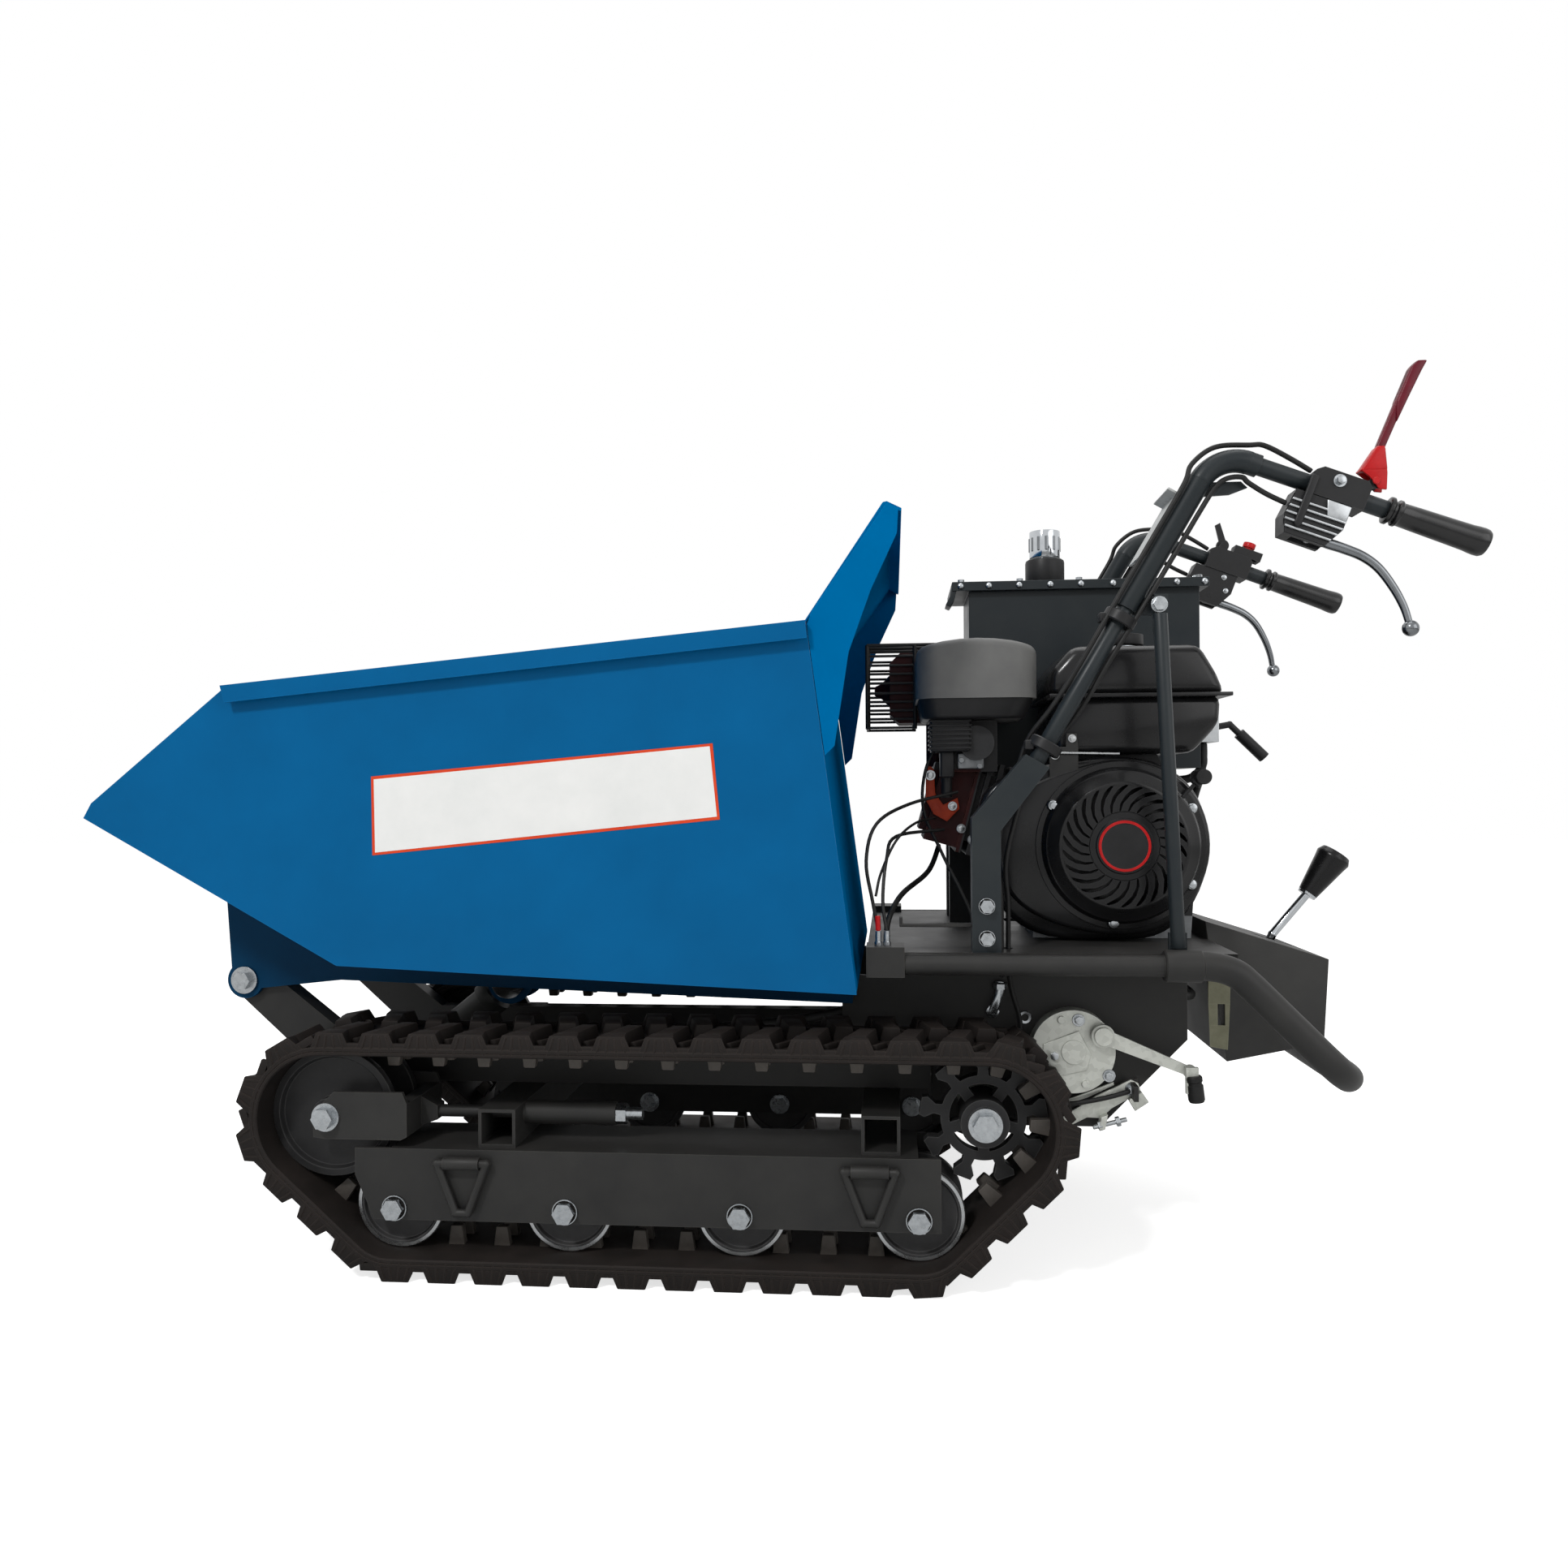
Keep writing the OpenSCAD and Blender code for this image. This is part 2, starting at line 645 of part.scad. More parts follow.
// Chassis weldment
module chassis_frame() {
    piv = [pivot_x, pivot_z];
    arm = [[ram_x - 19, ram_z - 20], [ram_x + 17, ram_z - 20], [ram_x + 63, tube_top],
        [ram_x + 63, rail_top],
        piv + [21, 18], piv + [-19, -17], [ram_x - 19, rail_top - 14]];
    side = [[deck_x0 - 36, rail_top], [205, rail_top], [205, axle_z - 42], [430, axle_z - 42],
        [545, deck_z - 129],
        [545, deck_z - deck_t], [deck_x0, deck_z - deck_t], [deck_x0, floor_under(deck_x0 - 8) - 2],
        [deck_x0 - 36, floor_under(deck_x0 - 36) - free_gap - 0.4]];
    color("#2b2b2b") difference() {
        union() {
            both() {
                box(ram_x + 55, 204, -arm_y1, -arm_y0, tube_top, rail_top);
                shape_y(-arm_y1, -arm_y0) {
                    polygon(arm);
                    translate(piv) circle(r = pivot_r + 14);
                }
                slab(side, -wall_y, -plate_y);
                rod([sleeve_x0 - 1, -track_y, rod_z], [sleeve_x1, -track_y, rod_z], sleeve_r);
                box(deck_x0, deck_x0 + 48, -deck_y - 28, -deck_y + 22, deck_z - 28, deck_z + 10);
                slab([[drum_c[0] - 17, drum_c[1] - 96], [drum_c[0] - 10, drum_c[1] - 70],
                    [drum_c[0] + 87, drum_c[1] - 39], [drum_c[0] + 88, drum_c[1] - 58]], -wall_y - 7,
                        -wall_y + 2);
                box(drum_c[0] + 76, drum_c[0] + 82, -wall_y - 40, -wall_y - 6, drum_c[1] - 62,
                    drum_c[1] - 42);
            }
            for (x = [tube1_x, tube2_x])
                difference() {
                    box(x - tube_a / 2, x + tube_a / 2, -track_y - web_out + 12, track_y + web_out - 12,
                        beam_top, tube_top);
                    box(x - tube_a / 2 + tube_wall, x + tube_a / 2 - tube_wall, -out_y, out_y,
                        beam_top + tube_wall, tube_top - tube_wall);
                }
            bar_along_y(ram_a, 14, -arm_y0 - 4, arm_y0 + 4);
            box(deck_x0, deck_x1, -deck_y, deck_y, deck_z - deck_t, deck_z);
            box(539, 545, -plate_y - 1, belt_y0 - 6, deck_z - 60, deck_z - deck_t);
            for (y = [oil_y0 + 5, oil_y0 + oil_w - 35])
                box(oil_x0 - 32, oil_x0 + 8, y, y + 30, deck_z - 1, oil_z0);
            box(deck_x1 - 30, deck_x1 - 2, oil_y0 + oil_w - 35, oil_y0 + oil_w - 5, deck_z - 1, oil_z0);
        }
        both() {
            bar_along_y([pivot_x, pivot_z], pivot_r + run_gap, -arm_y1 - 1, -arm_y0 + 1);
            bar_along_y([sprocket_x, axle_z], axle_r + 13, -wall_y - 1, -plate_y + 1);
            rod([tube1_x - tube_a, -track_y, rod_z], [sleeve_x1 + 5, -track_y, rod_z], tension_r + run_gap);
            rod([leg_x + 27, -deck_y + 47, deck_z - 20], [leg_x + 27, -deck_y + 47, deck_z + 20], 10);
            rod([487, -rail_tube_y, rail_tube_z], [deck_x1 + 1, -rail_tube_y, rail_tube_z], bumper_r
                + 2 + free_gap);
        }
        box(input_x - pulley2_r - 16, idle_c[0] + idle_r + 10, belt_y0 - 8, belt_y1 + 4, deck_z - 20,
            deck_z + 5);
    }
}

module guard_rail() {
    y = rail_tube_y;
    z = rail_tube_z;
    half = [[506, -y, z], [560, -y, z - 3], [590, -y, z - 22], [680, -y, z - 112], [704, -y + 12, z - 132],
        [722, -y + 42, z - 144], [730, -y + 90, z - 148]];
    full = concat(half, [for (i = [len(half) - 1 : -1 : 0]) [half[i][0], -half[i][1], half[i][2]]]);
    color("#2b2b2b") {
        pipe(full, bumper_r);
        both() {
            rod([deck_x0 + 48, -y, z], [507, -y, z], guard_r);
            rod([488, -y, z], [534, -y, z], bumper_r + 2);
        }
    }
}

// Skip
module skip_sides() {
    side = [skip_f, skip_r, skip_t, skip_e, lip_tip + 22 * nose_n, lip_tip, skip_n];
    rim_n = [-sin(rim_tilt), cos(rim_tilt)];
    rim = [skip_e, skip_t, skip_t - 22 * rim_n, skip_e - 22 * rim_n + [4, 0]];
    y = skip_w / 2;
    color("#00588c") both() {
        slab(side, -y, -y + panel_t);
        difference() {
            slab(rim, -y - rim_out, -y);
            slab([rim[0] + [-9, -3], rim[1] + [9, -3], rim[2] + [9, -9], rim[3] + [-9, -9]],
                -y - rim_out + 3, -y);
        }
    }
}

module skip_floor() {
    t = floor_t;
    sheet = [skip_n, skip_f, skip_r, skip_r + t * floor_n, skip_f + t * (floor_n + nose_n) / 2,
        skip_n + t * nose_n];
    nose_at = skip_f + 0.72 * nose_len * nose_u;
    color("#005488") {
        slab(sheet, -half_in, half_in);
        slab([skip_n - 2 * nose_u, lip_tip, lip_tip + 22 * nose_n, skip_n - 2 * nose_u + 22 * nose_n],
            -half_in, half_in);
        both() difference() {
            shape_y(-ear_y0 - ear_t, -ear_y0) {
                polygon([[pivot_x - 18, pivot_z - 12], nose_at + nose_n, skip_f + [0, 1],
                    skip_r - [6, -1.2],
                    skip_r - [10, sub_h - 8], [pivot_x + 140, floor_under(pivot_x + 140) - sub_h],
                    [pivot_x + 18, pivot_z - 12]]);
                translate([pivot_x, pivot_z]) circle(r = pivot_r + 14);
            }
            bar_along_y([pivot_x, pivot_z], pivot_r + run_gap, -ear_y0 - ear_t - 1, -ear_y0 + 1);
        }
        both() difference() {
            shape_y(-34, -26) {
                polygon([ram_b + [-34, 0], ram_b + [34, 0], [ram_pin_x + 60, floor_under(ram_pin_x
                    + 60) + 1],
                    [ram_pin_x - 60, floor_under(ram_pin_x - 60) + 1]]);
                translate(ram_b) circle(r = ram_window + 13);
            }
            bar_along_y(ram_b, ram_window, -35, -25);
        }
        for (x = [skip_f[0] + 40, skip_f[0] + 380])
            slab([[x, floor_under(x) - 26], [x + 40, floor_under(x + 40) - 26],
                [x + 40, floor_under(x + 40) + 0.5], [x, floor_under(x) + 0.5]], -ear_y0, -36);
        for (x = [skip_f[0] + 40, skip_f[0] + 380])
            slab([[x, floor_under(x) - 26], [x + 40, floor_under(x + 40) - 26],
                [x + 40, floor_under(x + 40) + 0.5], [x, floor_under(x) + 0.5]], 36, ear_y0);
    }
}

module skip_back() {
    in = [-cos(rear_lean), -sin(rear_lean)] * panel_t;
    base = skip_r + floor_t * floor_n;
    fold = skip_g + [20, -7];
    wall = [base, skip_t, skip_g + 4 * guard_n, fold - [1, 3], fold + [0, 1], skip_g + [2, 3],
        skip_g + [-3, 2], skip_t + in, base + panel_t * [-cos(floor_tilt), sin(floor_tilt)]];
    gusset = [skip_t + [1.2, -4], skip_t + 15 * guard_u - guard_n, skip_g + guard_n, skip_g + [4.8, -0.8],
        fold - [4, 0], fold + [-6, -30], fold + [-38, -98], fold + [-66, -175], fold + [-84, -290],
        skip_r + 0.64 * (skip_t - skip_r) + [1, 0]];
    color("#005a90") {
        slab(wall, -half_in, half_in);
        both() slab(gusset, -skip_w / 2, -half_in + 1);
    }
}

// Tipping cylinder
module ram_barrel() {
    color("#26282a") translate([ram_x, 0, ram_z]) rotate([0, -ram_ang, 0]) difference() {
        union() {
            translate([0, 20, 0]) rotate([90, 0, 0]) cylinder(r = 28, h = 40);
            rotate([0, 90, 0]) cylinder(r = ram_r, h = ram_len - 42);
            translate([ram_len - 60, 0, 0]) rotate([0, 90, 0]) cylinder(r = ram_r + 4, h = 20);
        }
        translate([0, 50, 0]) rotate([90, 0, 0]) cylinder(r = 14 + run_gap, h = 100);
        translate([34, 0, 0]) rotate([0, 90, 0]) cylinder(r = ram_rod_r + run_gap, h = ram_len);
    }
}
module ram_rod() {
    color("#c9ccd0") translate([ram_x, 0, ram_z]) rotate([0, -ram_ang, 0]) {
        translate([40, 0, 0]) rotate([0, 90, 0]) cylinder(r = ram_rod_r, h = ram_len - 50);
        translate([ram_len, 16, 0]) rotate([90, 0, 0]) cylinder(r = 20, h = 32);
        translate([ram_len, 44, 0]) rotate([90, 0, 0]) cylinder(r = ram_pin_r, h = 88);
        for (y = [-44, 38]) translate([ram_len, y + 6, 0]) rotate([90, 0, 0]) cylinder(r = ram_window
            + 4, h = 6);
    }
}

// Gearbox, belt drive and brakes
module gearbox_casing() {
    body = [[sprocket_x - 40, axle_z - 30], [sprocket_x + 20, axle_z - 38], [input_x + 60, axle_z + 4],
        [input_x + 78, input_z + 10], [input_x + 40, input_z + 72], [input_x - 60, input_z + 72],
        [sprocket_x - 10, axle_z + 60], [sprocket_x - 40, axle_z + 30]];
    color("#3b3c3c") difference() {
        union() {
            slab(body, -120, 100);
            bar_along_y([sprocket_x, axle_z], axle_r + 12, -track_y + 34 + free_gap,
                track_y - 34 - free_gap);
            bar_along_y([input_x, input_z], 34, 99, 108);
            for (x = [input_x - 44, input_x + 24])
                box(x, x + 20, -plate_y + 0.2, -110, input_z + 46, input_z + 62);
            for (z = [input_z - 1, input_z - 107])
                box(input_x - 124, input_x - 104, 90, plate_y - 0.2, z, z + 16);
        }
        bar_along_y([sprocket_x, axle_z], axle_r + run_gap, -track_y, -55);
        bar_along_y([sprocket_x, axle_z], axle_r + run_gap, 55, track_y);
        bar_along_y([input_x, input_z], 12 + run_gap, 50, 110);
    }
    color("#8c8f88") both() {
        bar_along_y(drum_c, drum_r, -wall_y - 28, -wall_y);
        bar_along_y(drum_c, 16, -wall_y - 33, -wall_y - 28);
        bar_along_y(arm_c, 8, -wall_y - 45, -wall_y - 27);
        bar_along_y(arm_c, 12, -wall_y - 45, -wall_y - 40.5);
        for (a = [20, 110, 200, 290])
            bar_along_y(drum_c + 45 * [cos(a), sin(a)], 5, -wall_y - 32, -wall_y - 27);
    }
}
module one_brake_arm(s) {
    d = unit(arm_e - arm_c);
    n = [-d[1], d[0]];
    color("#8c8f88") on_side(s) {
        difference() {
            shape_y(-wall_y - 40, -wall_y - 34) {
                polygon([arm_c + 10 * n, arm_e + 6 * n, arm_e - 6 * n, arm_c - 10 * n]);
                translate(arm_c) circle(r = 15);
                translate(arm_e) circle(r = 9);
            }
            bar_along_y(arm_c, 8 + run_gap, -wall_y - 41, -wall_y - 33);
        }
        bar_along_y(arm_e, 4, -wall_y - 50, -wall_y - 39);
        difference() {
            box(arm_e[0] - 8, arm_e[0] + 8, -wall_y - 50, -wall_y - 44, arm_e[1] - 26, arm_e[1] + 8);
            bar_along_y([arm_e[0], arm_e[1] - 18], 3, -wall_y - 52, -wall_y - 40);
        }
    }
}
module left_brake_arm() { one_brake_arm(-1); }
module right_brake_arm() { one_brake_arm(1); }

belt_v = seg_list(belt_c, vbelt_t / 2);
belt_len = total(belt_v);
function bp(s, d) = on_loop(belt_c, belt_v, vbelt_t / 2, s, d);
module drive_belt() {
    n = 72;
    color("#1c1c1c") shape_y(belt_mid - vbelt_w / 2, belt_mid + vbelt_w / 2) difference() {
        polygon([for (i = [0 : n - 1]) bp(i * belt_len / n, vbelt_t)]);
        polygon([for (i = [0 : n - 1]) bp(i * belt_len / n, 0)]);
    }
}
module sheave(c, r) {
    w = belt_y1 - belt_y0;
    g = vbelt_w / 2 + 0.4;
    turn_y(c, belt_mid, [[0, -w / 2], [r + vbelt_t + 2, -w / 2], [r + vbelt_t + 2, -g - 0.6], [r - 2, -g],
        [r - 2, g], [r + vbelt_t + 2, g + 0.6], [r + vbelt_t + 2, w / 2], [0, w / 2]]);
}
module crankshaft() {
    c = [crank_x, crank_z];
    color("#7d8083") {
        bar_along_y(c, crank_r, -148, belt_y1 + 6);
        turn_y(c, 0, [[crank_r - 1, -146], [30, -146], [88, -138], [96, -138], [96, -112],
            [crank_r - 1, -112]]);
        sheave(c, pulley1_r);
    }
}
module input_pulley() {
    c = [input_x, input_z];
    color("#7d8083") {
        sheave(c, pulley2_r);
        bar_along_y(c, 12, 56, belt_y0 + 1);
    }
}
module clutch_idler() {
    d = unit(idle_c - idle_p);
    n = [-d[1], d[0]];
    color("#55585a") {
        difference() {
            shape_y(belt_y1 - 4, belt_y1 + 3) {
                polygon([idle_p + 9 * n, idle_c + 9 * n, idle_c - 9 * n, idle_p - 9 * n]);
                translate(idle_p) circle(r = 15);
                translate(idle_c) circle(r = 12);
            }
            bar_along_y(idle_p, 8 + run_gap, belt_y1 - 6, belt_y1 + 6);
        }
        bar_along_y(idle_c, idle_r, belt_mid - 9, belt_mid + 9);
        bar_along_y(idle_c, 8, belt_mid, belt_y1);
    }
}
module belt_guard() {
    x0 = crank_x - 100;
    x1 = crank_x + 92;
    z1 = crank_z + 72;
    prof = [[x0, deck_z], [x1, deck_z], [x1, z1 - 40], [x1 - 40, z1], [x0 + 40, z1], [x0, z1 - 40]];
    hole = [[x0 + 3, deck_z - 1], [x1 - 3, deck_z - 1], [x1 - 3, z1 - 41], [x1 - 41, z1 - 3],
        [x0 + 41, z1 - 3],
        [x0 + 3, z1 - 41]];
    color("#2b2b2b") difference() {
        slab(prof, case_y1 + 12.5, belt_y1 + 16);
        slab(hole, case_y1 + 15.5, belt_y1 + 13);
        bar_along_y([crank_x, crank_z], crank_r + 6, case_y1, case_y1 + 20);
    }
}

// Engine
module engine_block() {
    c = [crank_x, crank_z];
    u = [-cos(cyl_lean), sin(cyl_lean)];
    color("#4a4b4a") difference() {
        union() {
            slab([[crank_x - 110, deck_z], [crank_x + 104, deck_z], [crank_x + 112, crank_z - 20],
                [crank_x + 86, crank_z + 80], [crank_x + 60, fuel_z0], [crank_x - 60, fuel_z0],
                [crank_x - 110, crank_z + 70]], case_y0 + free_gap, case_y1);
            bar_along_y(c, 62, case_y1 - 1, case_y1 + 12);
            translate([crank_x, 0, crank_z]) rotate([0, cyl_lean, 0]) {
                box(-200, -90, -62, 58, -50, 50);
                for (k = [0 : 6]) box(-204 + k * 15, -197 + k * 15, -78, 70, -68, 68);
                box(-252, -200, -70, 64, -62, 62);
                box(-262, -251, -52, 48, -50, 50);
            }
            box(air_x0 + 50, air_x0 + 110, -95, -30, crank_z + 100, air_z0);
            bar_along_y([air_x0 + 80, crank_z + 140], 24, -120, -90);
        }
        bar_along_y(c, crank_r + run_gap, case_y0 - 10, case_y1 + 20);
        rod([air_x0 + 30, 46, air_z0 - 62.2], [air_x0 + 30, 46, air_z0], 15.1);
    }
}
module fan_shroud() {
    c = [crank_x, crank_z];
    arm = [[crank_x - 60, crank_z + 30], [crank_x - 60, crank_z + 112], [crank_x - 92, crank_z + 114],
        [crank_x - 156, crank_z + 78], [crank_x - 156, crank_z + 6], [crank_x - 110, crank_z - 60]];
    color("#242526") difference() {
        shape_y(shroud_y0, case_y0) {
            translate(c) circle(r = shroud_r);
            polygon(arm);
            translate([crank_x - 100, deck_z + 1]) square([200, 60]);
        }
        bar_along_y(c, shroud_r - 16, shroud_y0 - 1, case_y0 - 4);
        bar_along_y(c, 60, case_y0 - 6, case_y0 + 1);
    }
}
module recoil_cover() {
    c = [crank_x, crank_z];
    color("#1d1e1f") difference() {
        turn_y(c, 0, [[0, recoil_y0], [34, recoil_y0], [36, recoil_y0 + 3], [78, recoil_y0 + 3],
            [recoil_r - 6, recoil_y0 + 16],
            [recoil_r, recoil_y0 + 24], [recoil_r, shroud_y0 - 4], [recoil_r + 8, shroud_y0 - 4],
            [recoil_r + 8, shroud_y0], [recoil_r - 4, shroud_y0], [recoil_r - 4, recoil_y0 + 26],
            [76, recoil_y0 + 7], [0, recoil_y0 + 7]]);
        for (a = [0 : 20 : 340])
            translate([crank_x, recoil_y0 + 10, crank_z]) rotate([0, a, 0]) box(42, 74, -12, 12, -3.5, 3.5);
        translate([crank_x + 76, recoil_y0 + 21, crank_z + 60]) rotate([0, 41, 0]) translate([0, 0, -20])
            cylinder(r = 2.5 + run_gap, h = 80);
    }
}
module starter_grip() {
    color("#161616") translate([crank_x + 76, recoil_y0 + 21, crank_z + 60]) rotate([0, -49, 0]) {
        rotate([0, 90, 0]) translate([0, 0, -110]) cylinder(r = 2.5, h = 152);
        translate([40, 0, 0]) rotate([90, 0, 0]) translate([0, 0, -19]) cylinder(r = 10, h = 38);
        rotate([0, 90, 0]) translate([0, 0, 27]) cylinder(r = 8, h = 10);
    }
}
module fuel_tank() {
    x = fuel_x0;
    z = fuel_z0;
    h = fuel_h;
    out = [[x + 4, z], [x + 188, z], [x + 220, z + 44], [x + 234, z + 80], [x + 192, z + h],
        [x + 40, z + h], [x, z + h - 30]];
    lip = [[x - 4, z + 77], [x + 238, z + 77], [x + 238, z + 84], [x - 4, z + 84]];
    cx = x + 110;
    color("#1a1b1c") difference() {
        union() {
            slab(out, -150, 60);
            slab(lip, -156, 66);
            translate([cx, -45, z + h - 1]) cylinder(r = 26, h = 10);
        }
        slab([[x + 9, z + 5], [x + 185, z + 5], [x + 214, z + 45], [x + 227, z + 80], [x + 188, z + h - 5],
            [x + 43, z + h - 5], [x + 5, z + h - 34]], -145, 55);
        translate([cx, -45, z + h - 8]) cylinder(r = 20, h = 30);
    }
}
module fuel_cap() {
    color("#161616") translate([fuel_x0 + 110, -45, fuel_z0 + fuel_h + 9]) {
        translate([0, 0, 0.3]) cylinder(r = 33, h = 15);
        translate([0, 0, -8]) cylinder(r = 19.5, h = 9);
    }
}
module air_filter() {
    x = air_x0;
    z = air_z0;
    color("#50504e") {
        slab([[x + 2, z], [x + 150, z], [x + 158, z + 24], [x, z + 24]], -150, 14);
        slab([[x - 2, z + 24], [x + 162, z + 24], [x + 162, z + air_h - 22], [x + 140, z + air_h], [x
            + 22, z + air_h],
            [x - 2, z + air_h - 22]], -154, 18);
    }
}
module muffler() {
    x = air_x0 - 40;
    z = air_z0;
    color("#5a2a22") {
        slab([[x, z + 18], [x + 14, z + 4], [x + 106, z + 4], [x + 116, z + 16], [x + 116, z + 96],
            [x + 102, z + 110],
            [x + 16, z + 110], [x, z + 94]], 24, 112);
        rod([x + 70, 46, z - 62], [x + 70, 46, z + 6], 15);
    }
}
module muffler_guard() {
    x = air_x0 - 74;
    z = air_z0;
    color("#2e2e2e") {
        for (y = [20, 42, 64, 86, 108]) {
            box(x - 2.5, x + 2.5, y - 2.5, y + 2.5, z - 6, z + 124.5);
            box(x - 2, x + 150, y - 2.5, y + 2.5, z + 119.5, z + 124.5);
        }
        for (q = [[0, -6], [0, 58], [74, 122], [150, 122]])
            box(x + q[0] - 3, x + q[0] + 3, 16, 112, z + q[1] - 3, z + q[1] + 3);
        for (y = [36, 92]) {
            box(x, x + 34, y - 3, y + 3, z + 54, z + 60);
            box(x + 71, x + 77, y - 3, y + 3, z + 110, z + 122);
        }
    }
}

// Hydraulics
module hydraulic_tank() {
    x1 = oil_x0 + oil_len;
    y1 = oil_y0 + oil_w;
    color("#232425") {
        difference() {
            box(oil_x0, x1, oil_y0, y1, oil_z0, oil_z1);
            box(oil_x0 + 4, x1 - 4, oil_y0 + 4, y1 - 4, oil_z0 + 4, oil_z1 + 1);
        }
        difference() {
            box(oil_x0 - 26, x1 + 12, oil_y0 - 12, y1 + 12, oil_z1, oil_z1 + lid_t);
            translate([breath_x, breath_y, oil_z1 - 1]) cylinder(r = 14, h = lid_t + 2);
        }
    }
    color("#c9ccd0") translate([breath_x, breath_y, oil_z1 + lid_t]) {
        cylinder(r = breather_r + 5, h = 10);
        cylinder(r = breather_r - 7, h = 52);
        translate([0, 0, 48]) cylinder(r = breather_r, h = 42);
    }
}
module pump_and_valve() {
    x1 = oil_x0 + oil_len;
    c = [crank_x, crank_z];
    color("#6a6d6e") {
        difference() {
            box(x1, x1 + 34, oil_y0 + 25, oil_y0 + 85, oil_z0 + 40, oil_z0 + 110);
            box(x1 + 14, x1 + 35, oil_y0 + 44, oil_y0 + 66, oil_z0 + 46, oil_z0 + 78);
        }
        bar_along_y([x1 + 24, oil_z0 + 62], 5, oil_y0 + 43, oil_y0 + 67);
        box(crank_x - 36, crank_x + 36, belt_y1 + 16, belt_y1 + 78, crank_z - 44, crank_z + 30);
        for (x = [crank_x - 20, crank_x + 20])
            translate([x, belt_y1 + 50, crank_z + 29]) cylinder(r = 11, h = 9);
    }
}
module valve_lever() {
    p = [oil_x0 + oil_len + 24, oil_y0 + 55, oil_z0 + 62];
    color("#222222") difference() {
        union() {
            translate([p[0], p[1] + 9, p[2]]) rotate([90, 0, 0]) cylinder(r = 10, h = 18);
            pipe([p + [7, 0, 1.2], p + [34, 0, 6], p + [60, 0, -20]], 5);
            rod(p + [48, 0, -8], p + [86, 0, -46], 9);
        }
        translate([p[0], p[1] + 20, p[2]]) rotate([90, 0, 0]) cylinder(r = 5 + run_gap, h = 40);
    }
}

// Console and gear lever
module console_box() {
    in = [cons[0] + [5, -5], cons[1] + [-4, -2], cons[2] + [-4, 4], cons[3] + [1, 6]];
    color("#2b2b2b") {
        difference() {
            slab(cons, -cons_y, cons_y);
            slab(in, -cons_y + 3, cons_y - 3);
            box(shift_p[0] + 2, shift_p[0] + 62, -13, 13, shift_p[1] + 30, shift_p[1] + 90);
        }
        bar_along_y(shift_p, 6, -cons_y + 2, cons_y - 2);
    }
}
module gear_lever() {
    a = at(shift_p, 0);
    b = a + [30, 0, 64];
    c = a + [80, 0, 124];
    d = c + [42, 0, 60];
    u = unit(d - c);
    color("#2a2a2a") difference() {
        union() {
            bar_along_y(shift_p, 14, -10, 10);
            rod(a, b, 6);
            rod(b, c, 6);
            translate(b) sphere(r = 6.4);
            translate(c) rotate([0, acos(u[2]), 0]) rotate_extrude()
                polygon([[0, -4], [13, -4], [15, 8], [22, 52], [24, 62], [20, 70], [0, 73]]);
        }
        bar_along_y(shift_p, 6 + run_gap, -12, 12);
    }
}

// Handlebars and controls
module handlebars() {
    y = -bar_y;
    lug = [stay_top + [-44, -10], stay_top + [8, -12], stay_top + [12, 8], stay_top + [-34, 12]];
    color("#2a2f30") {
        both() {
            rod(at(bar_s, y), at(bar_m, y), bar_r);
            rod(at(bar_m, y), at(bar_b0 + 4 * bar_u, y), bar_low_r);
            translate(at(bend_c, y)) rotate([90, 0, 0]) rotate(90 - grip_slope)
                rotate_extrude(angle = bar_slope + grip_slope) translate([bend_r, 0])
                    circle(r = bar_low_r + 0.4);
            rod(at(bar_b1 - 4 * grip_u, y), at(bar_b1 + 12 * grip_u, y), bar_low_r);
            rod(at(bar_b1 + 12 * grip_u, y), at(grip_1 - 6 * grip_u, y), bar_r);
            slab(lug, y - 3, y + 3);
            slab([bar_b0, bar_b0 + [52, 0], bar_b0 + [60, -8], bar_b0 + [38, -16], bar_b0 + [-6, -18]],
                y + 4, y + 9);
        }
    }
}
module handlebar_legs() {
    n = [-sin(bar_slope), cos(bar_slope)];
    x = leg_x;
    h = leg_a / 2;
    leg = [[x - h, deck_z], [x + h, deck_z], [x + h, knee_z - 8], bar_s - 17 * n, bar_s + 17 * n,
        [x - h, knee_z + 8]];
    color("#2d2d2d") both() {
        slab(leg, -bar_y - leg_t / 2, -bar_y + leg_t / 2);
        difference() {
            union() {
                rod([stay_x1, -bar_y - 16, deck_z + 8], [stay_top[0] + 0.6, -bar_y - 16,
                    stay_top[1] - 12], 9);
                box(stay_top[0] - 5.5, stay_top[0] + 11, -bar_y - 14, -bar_y - 3, stay_top[1] - 34,
                    stay_top[1] + 13);
                box(stay_x1 - 11, stay_x1 + 11, -bar_y - 14, -bar_y - 7.5, deck_z, deck_z + 26);
            }
            bar_along_y(stay_top, 4.1, -bar_y - 30, -bar_y);
        }
    }
}
module hand_grips() {
    color("#17181a") both() translate(at(grip_0, -bar_y)) rotate([0, 90 + grip_slope, 0]) difference() {
        rotate_extrude() polygon([[0, 0], [bar_r + 6, 0], [bar_r + 6, 5], [bar_r + 2.5, 8],
            [grip_r - 2, grip_len - 20],
            [grip_r, grip_len - 12], [grip_r, grip_len - 3], [grip_r - 4, grip_len], [0, grip_len]]);
        translate([0, 0, -1]) cylinder(r = bar_r + run_gap, h = grip_len - 4.5);
    }
}
stop_r = 7;
function along(a, b) = bar_b1 + a * grip_u + b * grip_n;
throttle_p = along(96, 31);
